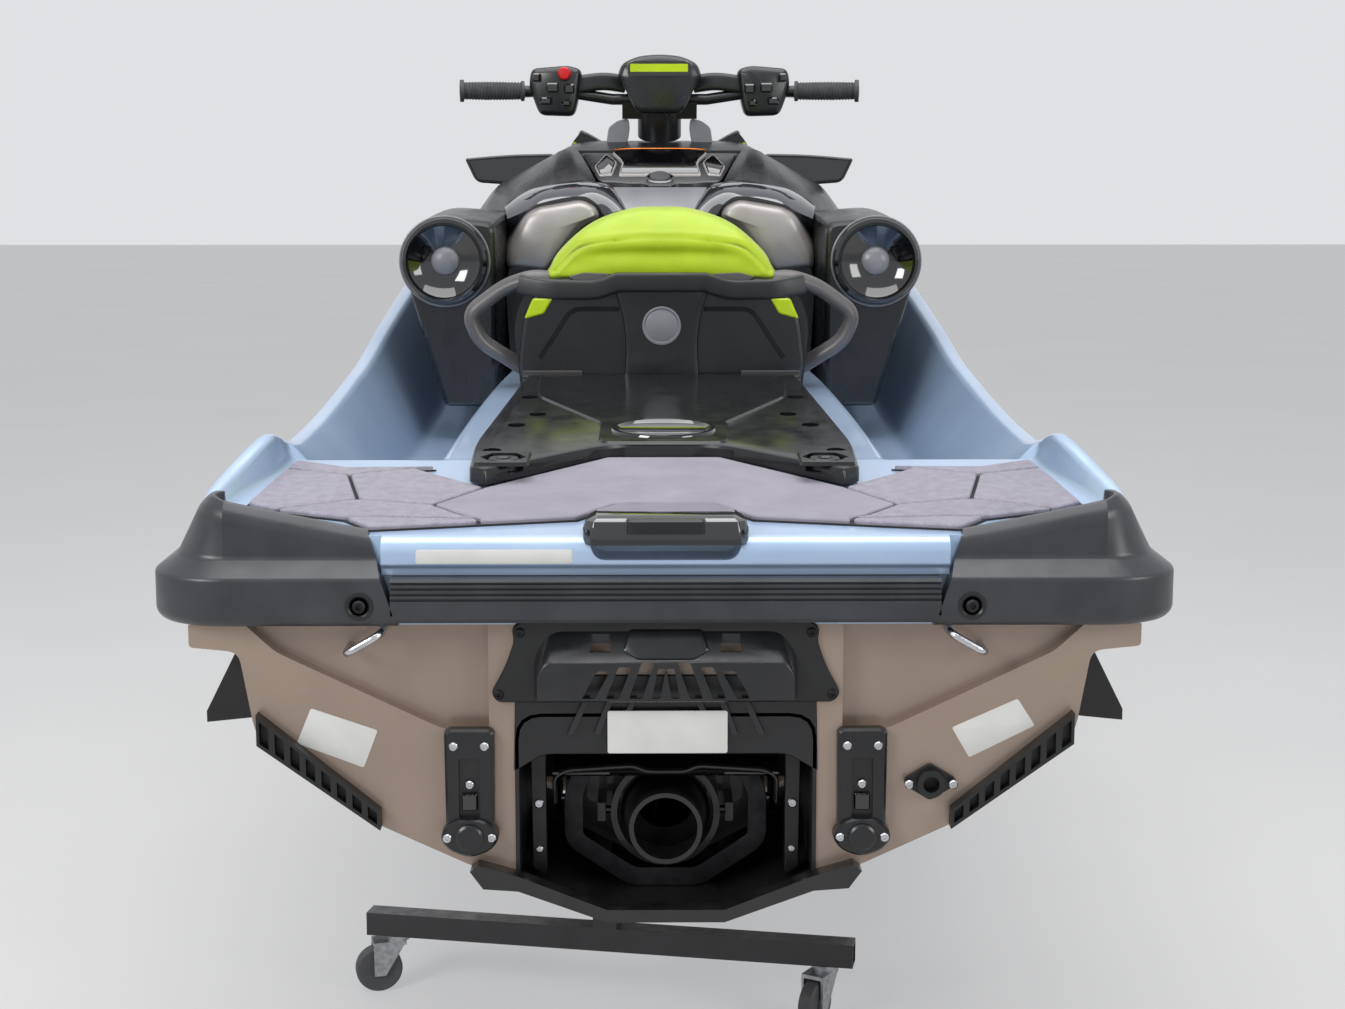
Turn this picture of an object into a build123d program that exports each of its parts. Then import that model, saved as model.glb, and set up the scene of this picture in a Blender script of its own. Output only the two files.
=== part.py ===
from build123d import *
from math import cos, radians, sin
import os

# Three-seat personal watercraft on its shop dolly, in millimetres.
# +Z is up, +Y points to the bow and +X to starboard.
# The origin is on the floor, under the middle of the craft.

# Craft: driving dimensions
CRAFT_LENGTH = 3450.0
CRAFT_BEAM = 1255.0
KEEL_HEIGHT = 415.0
WALL_GAP = 0.3
RUN_GAP = 6.0
STERN_Y = -CRAFT_LENGTH / 2
BOW_Y = CRAFT_LENGTH / 2
HALF_BEAM = CRAFT_BEAM / 2
BUMPER_DEPTH = 35.0
TRANSOM_Y = STERN_Y + BUMPER_DEPTH
HULL_BOW_Y = BOW_Y - 25.0

# Places that follow the stern or the bow. The cockpit keeps its place amidships.
PLATFORM_LENGTH = 415.0
WELL_START_Y = TRANSOM_Y + PLATFORM_LENGTH
CORNER_FRONT_Y = STERN_Y + 355.0
ANCHOR_Y = STERN_Y + 325.0
TUNNEL_FRONT_Y = STERN_Y + 475.0
VENTURI_END_Y = STERN_Y + 215.0
NOZZLE_PIVOT_Y = STERN_Y + 165.0
INTAKE_REAR_Y = STERN_Y + 705.0
INTAKE_FRONT_Y = STERN_Y + 1085.0
SPONSON_REAR_Y = STERN_Y + 85.0
HATCH_FRONT_Y = BOW_Y - 295.0
BOW_EYE_Y = BOW_Y - 85.0

# Hull sections from stern to bow, half breadths and heights above the keel datum.
# Columns: place along the hull (0 at the transom, 1 at the stem), keel rise,
# strake x, strake rise, chine x, chine rise, knuckle x, knuckle rise,
# topside x, topside rise, flange x, flange rise, sheer rise
HULL_SECTIONS = (
    (0.00, 0, 240, 77, 350, 128, 500, 236, 519, 347, 579, 353, 381),
    (0.23, -3, 240, 75, 400, 152, 525, 242, 545, 360, 594, 367, 391),
    (0.47, -3, 235, 72, 410, 175, 535, 265, 560, 385, 604, 393, 417),
    (0.67, 5, 195, 85, 365, 210, 490, 300, 540, 435, 585, 443, 467),
    (0.84, 63, 125, 150, 255, 275, 370, 365, 440, 495, 488, 503, 527),
    (0.94, 195, 50, 275, 120, 375, 200, 450, 270, 550, 320, 558, 582),
    (1.00, 430, 12, 445, 30, 485, 55, 515, 85, 570, 140, 578, 602),
)

# The upper transom is set in above a crease, outboard of the jet's cover
RECESS_DEPTH = 22.0
RECESS_OUTLINE = ((216, 800), (515, 800), (474, 762), (265, 662), (216, 662))

# Deck, side decks and foot wells.
# Columns: y, outer gunwale x, inner gunwale x, gunwale z, well outer x, well inner x,
# well floor z, pedestal edge x
PLATFORM_REAR_Z = 905.0
PLATFORM_FRONT_Z = 943.0
WELL_END_Y = 480.0
WELL_SECTIONS = (
    (WELL_START_Y, 545, 522, 968, 420, 318, 868, 292),
    (-1162, 540, 520, 955, 421, 320, 863, 286),
    (-458, 540, 515, 992, 433, 318, 842, 258),
    (-100, 536, 508, 1043, 440, 318, 846, 256),
    (201, 530, 500, 1087, 440, 328, 872, 274),
    (480, 515, 478, 1130, 440, 340, 905, 300),
)
# Columns: y, outer gunwale x, inner gunwale x, gunwale z, foot of its inner face x
PLATFORM_SECTIONS = (
    (TRANSOM_Y, 574, 570, 912, 560),
    (TRANSOM_Y + 104, 575, 560, 941, 546),
    (TRANSOM_Y + 190, 566, 548, 960, 534),
    (TRANSOM_Y + 329, 545, 524, 987, 514),
    (TRANSOM_Y + 390, 545, 522, 975, 511),
    (WELL_START_Y, 545, 522, 968, 510),
)
PLATFORM_SLOPE = (PLATFORM_FRONT_Z - PLATFORM_REAR_Z) / PLATFORM_LENGTH
PEDESTAL_SLOPE = 0.049
# The platform's rolled rear lip, in section: distance aft of the transom and z
LIP_SECTION = ((0, 870), (18, 872), (18, 894), (8, 905), (0, 905))
LIP_HALF_LENGTH = 342.0
LIP_NOTCH_HALF = 104.0
SEAT_BASE_Y = -635.0

# Bow deck above the sheer.
# Columns: y, shoulder x, shoulder z, crown x, crown z, ridge x, ridge z
BOW_SECTIONS = (
    (480, 515, 1130, 335, 1240, 130, 1300),
    (840, 468, 1116, 290, 1195, 110, 1240),
    (BOW_Y - 575, 385, 1090, 215, 1140, 80, 1168),
    (HATCH_FRONT_Y, 262, 1050, 130, 1085, 45, 1100),
    (BOW_Y - 125, 170, 1036, 80, 1055, 28, 1062),
    (HULL_BOW_Y, 118, 1024, 45, 1034, 15, 1038),
)
HATCH_REAR_Y = 500.0
HATCH_REAR_SEAT_Z = 1150.0
HATCH_FRONT_SEAT_Z = 1062.0
HATCH_HALF_WIDTH = 330.0
HATCH_WALL = 14.0
HATCH_PROUD = 1.0
HATCH_OPEN_DEG = 45.0
BIN_REAR_Y = 620.0
BIN_FRONT_Y = 1220.0
BIN_HALF_WIDTH = 170.0
BIN_FLOOR_Z = 860.0

# Engine bay
ENGINE_SIZE = (380.0, 640.0, 420.0)
ENGINE_CENTRE_Y = -90.0
ENGINE_FLOOR_Z = 535.0
ENGINE_BAY_CLEARANCE = 12.0

# Jet pump, on the centreline
SHAFT_Z = 524.0
TUNNEL_HALF_WIDTH = 185.0
TUNNEL_TOP_Z = 686.0
PUMP_BORE_R = 76.0
PUMP_WALL = 8.0
PUMP_FLANGE = 14.0
VENTURI_END_BORE_R = 40.0
IMPELLER_R = 74.5
IMPELLER_HUB_R = 30.0
IMPELLER_LENGTH = 70.0
IMPELLER_BLADES = 4
STATOR_VANES = 7
SHAFT_R = 14.0
NOZZLE_LENGTH = 84.0
NOZZLE_EXIT_R = 46.0
NOZZLE_INLET_R = 57.0
NOZZLE_WALL = 6.0
RING_INNER_R = 62.0
RING_OUTER_R = 70.0
RING_LENGTH = 30.0
PIVOT_PIN_R = 5.0
GATE_PIVOT_Z = 540.0
GATE_INNER_R = 113.0
GATE_OUTER_R = 121.0
GATE_HALF_WIDTH = 140.0
GATE_LOW_EDGE_DEG = 30.0
GATE_HIGH_EDGE_DEG = 92.0
# The pump's end plate and the ride plate's rim, right halves
END_PLATE_OUTLINE = ((96, 600), (130, 550), (130, 497), (41, 450))
RIDE_RIM_OUTLINE = ((72, 443), (181, 486), (230, 500), (240, 492), (224, 470), (181, 467), (72, 427))
RIDE_RIM_DEPTH = 26.0
RIDE_PLATE_THICKNESS = 4.5
RIDE_PLATE_OUTLINE = ((72, 427), (185, 469))
INTAKE_HALF_WIDTH = 88.0
GRATE_BARS = 4
GRATE_RISE = 32.0

# Seat
# Columns: y, foot x, foot z, waist x, waist z, shoulder x, shoulder z, top x, top z
SEAT_BASE_SECTIONS = (
    (-635, 238, 0, 248, 1077, 236, 1130, 188, 1160),
    (-400, 236, 0, 246, 1077, 232, 1126, 186, 1154),
    (-160, 215, 0, 222, 1070, 205, 1118, 150, 1146),
)
REAR_SEAT_SECTIONS = (
    (-622, 191, 1157, 164, 1192, 118, 1236, 50, 1256),
    (-560, 202, 1155, 170, 1196, 122, 1244, 50, 1269),
    (-330, 205, 1148, 172, 1188, 118, 1226, 50, 1246),
    (-262, 204, 1146, 168, 1176, 115, 1206, 50, 1218),
)
FRONT_SEAT_SECTIONS = (
    (-260, 204, 1144, 166, 1172, 112, 1200, 50, 1212),
    (-100, 180, 1132, 150, 1164, 104, 1206, 48, 1218),
    (-44, 150, 1120, 138, 1160, 98, 1218, 46, 1232),
)
# Grab handles at each side of the seat, along the middle of the tube
GRAB_PATH = ((150, -560, 1150), (262, -600, 1142), (322, -606, 1098), (308, -600, 1050), (225, -570, 1000))
GRAB_BENDS = (50, 24, 20)
GRAB_R = 15.0

# Console between the seat and the hood.
# Columns: y, foot x, foot z, flank x, flank z, shoulder x, shoulder z, top x, top z
CONSOLE_SECTIONS = (
    (-150, 284, 990, 292, 1130, 244, 1250, 150, 1268),
    (-40, 308, 1000, 316, 1146, 264, 1262, 130, 1298),
    (100, 360, 1020, 364, 1170, 298, 1290, 180, 1358),
    (235, 410, 1040, 400, 1190, 330, 1300, 160, 1388),
    (340, 430, 1050, 410, 1200, 340, 1290, 150, 1380),
    (480, 440, 1060, 400, 1190, 300, 1260, 130, 1318),
)
KNEE_PANEL_THICKNESS = 8.0
# The part of a knee panel that faces aft beside the seat
KNEE_REAR_OUTLINE = ((292, 1132), (248, 1256), (150, 1275), (112, 1245), (196, 1162))
# Speaker pods. Columns: y, inner x, bottom z, bottom outer x, side x, side z,
# shoulder x, shoulder z, top x, top z, inner top z
POD_SECTIONS = (
    (-300, 300, 905, 394, 474, 1182, 455, 1219, 396, 1247, 1238),
    (-100, 290, 905, 404, 480, 1190, 462, 1230, 402, 1260, 1252),
    (200, 300, 950, 410, 484, 1200, 465, 1232, 415, 1254, 1246),
    (430, 330, 1000, 410, 478, 1180, 455, 1206, 410, 1218, 1208),
)
SPEAKER_R = 73.0
SPEAKER_X = 390.0
SPEAKER_Z = 1169.0
SPEAKER_DEPTH = 14.0

# Glovebox lid
LID_REAR_Y = -36.0
LID_HINGE_Y = 128.0
LID_THICKNESS = 22.0
LID_REAR_HALF = 116.0
LID_FRONT_HALF = 158.0
LID_STRAIGHT = 28.0
LID_OPEN_DEG = 55.0
LID_GAP = 5.0
HINGE_BARREL_R = LID_GAP - 0.4
LID_BARREL_X = (60.0, 110.0)
HOOD_BARREL_HALF = 40.0
LID_CROWN = 6.0
GLOVEBOX_DEPTH = 120.0

# Steering
STEER_BASE_Y = 235.0
STEER_BASE_Z = 1398.0
STEER_TILT_DEG = 20.0
STEER_STOP_DEG = 25.0
NECK_R = 44.0
BAR_R = 11.0
BAR_HALF_LENGTH = 400.0
GRIP_R = 17.0
GRIP_LENGTH = 128.0
HOUSING_SIZE = (104.0, 62.0, 92.0)
HOUSING_X = 207.0
BAR_Z = 1484.0
POD_SIZE = (168.0, 110.0, 108.0)
POD_RISE = 18.0

# Mirrors
MIRROR_Y = 330.0
MIRROR_DEPTH = 46.0
MIRROR_OUTLINE = ((214, 1363), (404, 1353), (380, 1303), (268, 1293))

# Rub rail along the sheer and bumpers at the stern corners
RAIL_OUTSET = 22.0
RAIL_DROP = 8.0
RAIL_RISE = 30.0
NOSE_SHARE = 0.6
CORNER_LOW_Z = 799.0
CORNER_STEP_Z = 858.0
CORNER_LEDGE_Z = 878.0
CORNER_LEDGE = 28.0
CORNER_RADIUS = 95.0
CORNER_TOP_LIMIT_Z = 1020.0
# The corner's top plane: its height at one place, its rise outboard and its rise forward
CORNER_TOP_PLACE = (359.0, TRANSOM_Y, 910.0)
CORNER_TOP_RISE = (0.206, 0.117)
# The corner's slanted inner end: x at the bottom and x per height
CORNER_END_X = 322.0
CORNER_END_SLANT = 0.336
CORNER_RIM = (80.0, 46.0)

# Stern fittings
RAIL_HALF_LENGTH = 330.0
RAIL_LOW_Z = 804.0
RAIL_HEIGHT = 54.0
RAIL_RIBS = 4
# Boarding grip: half plan as x and distance ahead of the stern, and its section as distance and z
BOARDING_PLAN = ((88, 10), (100, 24), (100, 75), (62, 145))
BOARDING_SECTION = ((10, 893), (10, 930), (19, 941), (133, 941), (145, 931), (145, 880), (40, 880))
BOARDING_RECESS = ((-74, 18, 870), (74, 80, 920))
SPONSON_LENGTH = 560.0
SPONSON_OUTLINE = ((500, 750), (530, 755), (570, 676), (570, 662), (511, 668), (500, 672))
# The sponson's taper in plan: x, and distance behind its front
SPONSON_TAPER = ((580, 180), (518, -5))
CHINE_TAB_OUTLINE = ((497, 688), (497, 650), (349, 543), (349, 567))
CHINE_TAB_CELLS = 8
FITTING_X = 240.0
FITTING_WIDTH = 60.0
FITTING_HEIGHT = 134.0
FITTING_Z = 602.0
FITTING_FLANGE_Z = 534.0
FITTING_FLANGE = (76.0, 52.0)
FLUSH_X = 324.0
FLUSH_Z = 599.0
FLUSH_BORE_R = 10.0
# Jet cover: right half of its flange, then its box as y, half width and top z
SHROUD_OUTLINE = ((183, 799), (193, 771), (210, 705))
SHROUD_ROWS = ((6, 150, 794), (34, 132, 770))
SHROUD_FOOT_Z = 707.0
SHROUD_SLOTS = 8
TOW_HOOK_ENDS = ((343, 790), (385, 766))
TOW_HOOK_REACH = 30.0
TOW_ROD_R = 5.0
BOW_EYE_BORE_R = 10.0
BOW_EYE_Z = 745.0
ANCHOR_X = 214.0
ANCHOR_BORE_R = 9.0
ANCHOR_DEPTH = 20.0
ANCHOR_TOP = 27.0
ANCHOR_COLLAR_R = 20.0
CARGO_THICKNESS = 22.0
# Cargo deck: right half of its plan as x and y, up to the seat base
CARGO_PLAN = (
    (78, WELL_START_Y - 15),
    (234, WELL_START_Y - 195),
    (256, WELL_START_Y - 173),
    (262, WELL_START_Y),
    (225, SEAT_BASE_Y - WALL_GAP),
)
CARGO_RECESS_Y = -1180.0
MAT_THICKNESS = 7.0
MAT_GROOVE = 6.0
# Corners of the mat's panels, right half: x and distance ahead of the transom
MAT_POINTS = {
    "outer_rear": (530, 140), "outer_mid": (511, 327), "outer_front": (504, 379),
    "front": (428, 335), "front_inner": (308, 335), "strip_inner": (336, 327),
    "socket": (234, 218), "notch": (78, 391),
    "fork": (420, 290), "elbow": (391, 156), "knee": (293, 127), "toe": (250, 73),
    "rear_outer": (490, 105), "rear_step": (397, 66), "strip_step": (360, 68),
    "strip_end": (230, 58), "edge_outer": (361, 17), "edge_mid": (262, 35),
    "edge_inner": (229, 42), "arch_foot": (108, 65), "arch_top": (64, 130),
}
MAT_WINGS = (
    ("outer_mid", "outer_front", "front", "front_inner", "strip_inner", "fork"),
    ("outer_rear", "outer_mid", "fork", "elbow", "rear_outer"),
    ("fork", "strip_inner", "socket", "knee", "elbow"),
    ("rear_outer", "elbow", "knee", "toe", "strip_end", "strip_step", "rear_step"),
    ("rear_step", "strip_step", "strip_end", "edge_inner", "edge_mid", "edge_outer"),
)
MAT_CENTRE = ("notch", "socket", "knee", "toe", "strip_end", "edge_inner", "arch_foot", "arch_top")

# Dolly
DOLLY_YAW_DEG = -11.6
DOLLY_REAR_X = -90.0
DOLLY_REAR_Y = -905.0
DOLLY_WHEELBASE = 1150.0
TUBE = 38.0
BEAM_LENGTH = 800.0
BEAM_TOP_Z = 132.0
CRADLE_TOP_Z = 396.0
CRADLE_BAR_LENGTH = 620.0
BUNK_OFFSET = 232.0
BUNK_WIDTH = 90.0
BUNK_HEIGHT = 112.0
BUNK_OVERHANG = 150.0
CASTER_INSET = 47.0
CASTER_WHEEL_R = 38.0
CASTER_WHEEL_WIDTH = 24.0
CASTER_TRAIL = 32.0
CASTER_PLATE = 4.0
# Columns: place across the beam, place along the dolly, trail heading in degrees
CASTERS = (
    ("rear_left", -1, 0, 205.0),
    ("rear_right", 1, 0, 250.0),
    ("front_left", -1, 1, 160.0),
    ("front_right", 1, 1, 215.0),
)


def hull_y(place):
    """The y of a place from 0 at the transom to 1 at the stem."""
    return TRANSOM_Y + place * (HULL_BOW_Y - TRANSOM_Y)


HULL_TABLE = tuple((hull_y(row[0]), *(row[1:])) for row in HULL_SECTIONS)


def row_at(table, y):
    """The columns of a table at a y, on the straight line between its rows."""
    for low, high in zip(table, table[1:]):
        if y <= high[0]:
            share = (y - low[0]) / (high[0] - low[0])
            return [a + share * (b - a) for a, b in zip(low, high)]
    return list(table[-1])


def stations(start, end, *tables):
    """Every row's y between two ends, with the ends, in order."""
    inner = {row[0] for table in tables for row in table if start < row[0] < end}
    return sorted({start, end} | inner)


def face_at(y, half_outline):
    """A face across the craft from its right half's corners, foot to top."""
    right = [(x, y, z) for x, z in half_outline]
    left = [(-x, y, z) for x, z in reversed(half_outline) if x > 0]
    return make_face(Polyline(right + left, close=True))


def side_face(y, outline):
    """A face across one side only, from its corners."""
    return make_face(Polyline([(x, y, z) for x, z in outline], close=True))


def mirrored(shape):
    """The same shape on the port side."""
    return mirror(shape, about=Plane.YZ)


def box_between(low, high):
    """A box from its lowest and highest corners."""
    size = [b - a for a, b in zip(low, high)]
    centre = [(a + b) / 2 for a, b in zip(low, high)]
    return Pos(*centre) * Box(*size)


def rod(start, end, radius):
    """A round bar between two points."""
    axis = Vector(*end) - Vector(*start)
    plane = Plane(origin=start, z_dir=axis)
    return extrude(plane * Circle(radius), axis.length)


def keel_z(rise):
    return KEEL_HEIGHT + rise


def sheer(y):
    """Flange half breadth, flange height and sheer height of the hull at a y."""
    row = row_at(HULL_TABLE, y)
    return row[10], keel_z(row[11]), keel_z(row[12])


def hull_outline(y):
    row = row_at(HULL_TABLE, y)
    corners = [(0.0, keel_z(row[1]))]
    corners += [(row[i], keel_z(row[i + 1])) for i in range(2, 12, 2)]
    corners += [(row[10], keel_z(row[12]))]
    return corners


def hull_envelope():
    """The outside of the hull, before its tunnel and bays are cut."""
    ys = [row[0] for row in HULL_TABLE]
    return loft([face_at(y, hull_outline(y)) for y in ys], ruled=True)


def pedestal_z(y):
    """The height of the platform's floor, and ahead of it the pedestal's top."""
    if y < WELL_START_Y:
        return PLATFORM_FRONT_Z + PLATFORM_SLOPE * (y - WELL_START_Y)
    return PLATFORM_FRONT_Z + PEDESTAL_SLOPE * (min(y, SEAT_BASE_Y) - WELL_START_Y)


def platform_outline(y):
    flange_x, _, sheer_z = sheer(y)
    row = row_at(PLATFORM_SECTIONS, y)
    return [
        (flange_x, sheer_z),
        (row[1], row[3]),
        (row[2], row[3]),
        (row[4], pedestal_z(y)),
    ]


def well_outline(y):
    flange_x, _, sheer_z = sheer(y)
    row = row_at(WELL_SECTIONS, y)
    return [
        (flange_x, sheer_z),
        (row[1], row[3]),
        (row[2], row[3]),
        (row[4], row[6]),
        (row[5], row[6]),
        (row[7], pedestal_z(y)),
    ]


def bow_outline(y):
    flange_x, _, sheer_z = sheer(y)
    row = row_at(BOW_SECTIONS, y)
    return [(flange_x, sheer_z), (row[1], row[2]), (row[3], row[4]), (row[5], row[6])]


def bow_envelope():
    ys = stations(WELL_END_Y, HULL_BOW_Y, HULL_TABLE, BOW_SECTIONS)
    return loft([face_at(y, bow_outline(y)) for y in ys], ruled=True)


def engine_bay():
    width, length, height = ENGINE_SIZE
    low_y = ENGINE_CENTRE_Y - length / 2
    low = (-width / 2 - ENGINE_BAY_CLEARANCE, low_y - ENGINE_BAY_CLEARANCE, ENGINE_FLOOR_Z)
    high = (-low[0], low_y + length + ENGINE_BAY_CLEARANCE)
    return box_between(low, (*high, ENGINE_FLOOR_Z + height + ENGINE_BAY_CLEARANCE))


def storage_bin():
    """The luggage bin under the bow hatch."""
    low = (-BIN_HALF_WIDTH, BIN_REAR_Y, BIN_FLOOR_Z)
    return box_between(low, (BIN_HALF_WIDTH, BIN_FRONT_Y, HATCH_REAR_SEAT_Z + 150))


def intake_duct():
    """The water duct from the intake in the keel up to the pump."""
    neck_y = TUNNEL_FRONT_Y + 70
    mouth_z = KEEL_HEIGHT - 60
    corners = [
        (0, INTAKE_FRONT_Y, mouth_z),
        (0, INTAKE_FRONT_Y, KEEL_HEIGHT + 12),
        (0, neck_y, SHAFT_Z + PUMP_BORE_R - 6),
        (0, neck_y, SHAFT_Z - PUMP_BORE_R + 6),
        (0, INTAKE_REAR_Y, KEEL_HEIGHT + 10),
        (0, INTAKE_REAR_Y, mouth_z),
    ]
    profile = make_face(Polyline(corners, close=True))
    return extrude(profile, INTAKE_HALF_WIDTH - 10, both=True)


def pump_inlet():
    start = (0, TUNNEL_FRONT_Y + 70, SHAFT_Z)
    return rod(start, (0, TUNNEL_FRONT_Y - 1, SHAFT_Z), PUMP_BORE_R)


def make_hull(envelope):
    tunnel_low = (-TUNNEL_HALF_WIDTH, STERN_Y, KEEL_HEIGHT - 60)
    tunnel = box_between(tunnel_low, (TUNNEL_HALF_WIDTH, TUNNEL_FRONT_Y, TUNNEL_TOP_Z))
    shaft_front = ENGINE_CENTRE_Y - ENGINE_SIZE[1] / 2
    shaft_way = rod((0, TUNNEL_FRONT_Y, SHAFT_Z), (0, shaft_front, SHAFT_Z), SHAFT_R + RUN_GAP)
    hull = envelope - tunnel - intake_duct()
    recess = extrude(side_face(TRANSOM_Y - 1, RECESS_OUTLINE), RECESS_DEPTH + 1, dir=(0, 1, 0))
    hull = hull - recess - mirrored(recess)
    return hull - pump_inlet() - shaft_way - engine_bay() - storage_bin()


def hatch_seat():
    """Everything above the sloping rim that the bow hatch closes on."""
    clear_z = HATCH_REAR_SEAT_Z + 400
    corners = [
        (0, HATCH_REAR_Y, HATCH_REAR_SEAT_Z),
        (0, HATCH_FRONT_Y, HATCH_FRONT_SEAT_Z),
        (0, HATCH_FRONT_Y, clear_z),
        (0, HATCH_REAR_Y, clear_z),
    ]
    profile = make_face(Polyline(corners, close=True))
    return extrude(profile, HATCH_HALF_WIDTH, both=True)


def make_deck(bow):
    platform_ys = stations(TRANSOM_Y, WELL_START_Y, HULL_TABLE, PLATFORM_SECTIONS)
    platform = loft([face_at(y, platform_outline(y)) for y in platform_ys], ruled=True)
    well_ys = stations(WELL_START_Y, WELL_END_Y, HULL_TABLE, WELL_SECTIONS, ((SEAT_BASE_Y,),))
    wells = loft([face_at(y, well_outline(y)) for y in well_ys], ruled=True)
    corners = [(0, TRANSOM_Y - aft, z) for aft, z in LIP_SECTION]
    lip = extrude(make_face(Polyline(corners, close=True)), LIP_HALF_LENGTH, both=True)
    notch_low = (-LIP_NOTCH_HALF, STERN_Y, PLATFORM_REAR_Z - 50)
    lip -= box_between(notch_low, (LIP_NOTCH_HALF, TRANSOM_Y, PLATFORM_REAR_Z + 50))
    deck = platform + wells + (bow - hatch_seat()) + lip
    return deck - storage_bin() - engine_bay()


def hood_hinge():
    """The y and z of the bow hatch's hinge, on the ridge at its front edge."""
    y = HATCH_FRONT_Y - LID_GAP
    return y, row_at(BOW_SECTIONS, y)[6] + HATCH_PROUD


def make_bow_hatch(bow):
    """The hood over the storage bin: a shell cut from the bow's own outline."""
    gap = LID_GAP
    trim_low = (-HATCH_HALF_WIDTH + gap, HATCH_REAR_Y + gap, 0)
    trim = box_between(trim_low, (HATCH_HALF_WIDTH - gap, HATCH_FRONT_Y - gap, 2000))
    outside = Pos(0, 0, HATCH_PROUD) * (bow & hatch_seat()) & trim
    core_low = (-HATCH_HALF_WIDTH + 2 * HATCH_WALL, HATCH_REAR_Y + 2 * HATCH_WALL, 0)
    core_high = (HATCH_HALF_WIDTH - 2 * HATCH_WALL, HATCH_FRONT_Y - 80, 2000)
    core = Pos(0, 0, -HATCH_WALL) * bow & box_between(core_low, core_high)
    hinge_y, hinge_z = hood_hinge()
    barrel_end = (HOOD_BARREL_HALF, hinge_y, hinge_z)
    barrel = rod((-HOOD_BARREL_HALF, hinge_y, hinge_z), barrel_end, HINGE_BARREL_R)
    return outside - core + barrel


def rail_band(outset, low_drop, high_rise, nose_y=None):
    """A full-breadth slab that follows the sheer, from the corner bumpers to the bow."""
    faces = []
    for y in stations(CORNER_FRONT_Y, HULL_BOW_Y, HULL_TABLE):
        flange_x, flange_z, sheer_z = sheer(y)
        corners = [(flange_x + outset, flange_z - low_drop), (flange_x + outset, sheer_z + high_rise)]
        faces.append(face_at(y, corners))
    if nose_y is not None:
        flange_x, flange_z, sheer_z = sheer(HULL_BOW_Y)
        nose_half = flange_x * NOSE_SHARE
        corners = [(nose_half, flange_z - low_drop), (nose_half, sheer_z + high_rise)]
        faces.append(face_at(nose_y, corners))
    return loft(faces, ruled=True)


def make_rub_rail(envelope, bow, deck):
    outer = rail_band(RAIL_OUTSET, RAIL_DROP, RAIL_RISE, BOW_Y)
    inner = rail_band(0, RAIL_DROP + 20, RAIL_RISE + 20)
    return outer - inner - envelope - bow - deck


def corner_plan(inset, z):
    """The stern's rounded plan at a height, drawn in from the outermost line by an inset."""
    rear_y = STERN_Y + inset
    length = CORNER_FRONT_Y - rear_y
    outline = RectangleRounded(2 * (HALF_BEAM - inset), 2 * length, CORNER_RADIUS - inset)
    return Pos(0, CORNER_FRONT_Y, z) * outline


def corner_top():
    """Everything above the corner's sloping top plane."""
    x0, y0, z0 = CORNER_TOP_PLACE
    rise_x, rise_y = CORNER_TOP_RISE
    faces = []
    for y in (STERN_Y - 20, CORNER_FRONT_Y + 20):
        z_in, z_out = (z0 + rise_x * (x - x0) + rise_y * (y - y0) for x in (0, HALF_BEAM + 20))
        corners = [(0, z_in), (HALF_BEAM + 20, z_out)]
        corners += [(HALF_BEAM + 20, CORNER_TOP_LIMIT_Z + 60), (0, CORNER_TOP_LIMIT_Z + 60)]
        faces.append(side_face(y, corners))
    return loft(faces, ruled=True)


def make_bumper_corner(envelope, deck):
    """Two tiers with a sloped ledge between them, round one stern corner."""
    lower = extrude(corner_plan(0, CORNER_LOW_Z), CORNER_STEP_Z - CORNER_LOW_Z)
    lower = fillet(lower.edges().group_by(Axis.Z)[0], 10)
    ledge = loft([corner_plan(0, CORNER_STEP_Z), corner_plan(CORNER_LEDGE, CORNER_LEDGE_Z)])
    upper = extrude(corner_plan(CORNER_LEDGE, CORNER_LEDGE_Z), CORNER_TOP_LIMIT_Z - CORNER_LEDGE_Z)
    half_low = (0, STERN_Y - 5, CORNER_LOW_Z - 5)
    half = box_between(half_low, (HALF_BEAM + 5, CORNER_FRONT_Y, CORNER_TOP_LIMIT_Z + 5))
    corner = (lower + ledge + upper) & half
    corner -= corner_top()
    rim_x, rim_y = CORNER_RIM
    inner_low = (0, STERN_Y + rim_y, CORNER_STEP_Z)
    inner = box_between(inner_low, (HALF_BEAM - rim_x, CORNER_FRONT_Y + 5, CORNER_TOP_LIMIT_Z + 5))
    end_rows = (CORNER_LOW_Z - 5, CORNER_TOP_LIMIT_Z + 5)
    end_corners = [(CORNER_END_X + CORNER_END_SLANT * (z - CORNER_LOW_Z), z) for z in end_rows]
    end_corners = [(0, end_rows[0]), *end_corners, (0, end_rows[1])]
    centre_cut = extrude(side_face(STERN_Y - 5, end_corners), 400, dir=(0, 1, 0))
    return corner - centre_cut - inner - envelope - deck


def make_transom_rail(corner_right, corner_left):
    """The rail between the corners, with thin ribs along its upper half."""
    half = RAIL_HALF_LENGTH + 30
    rail = box_between((-half, STERN_Y, RAIL_LOW_Z), (half, TRANSOM_Y, RAIL_LOW_Z + RAIL_HEIGHT))
    pitch = RAIL_HEIGHT / 2 / RAIL_RIBS
    for step in range(RAIL_RIBS):
        z = RAIL_LOW_Z + RAIL_HEIGHT / 2 + step * pitch
        rail -= box_between((-half - 1, STERN_Y - 1, z), (half + 1, STERN_Y + 5, z + pitch / 2))
    return rail - corner_right - corner_left


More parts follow.
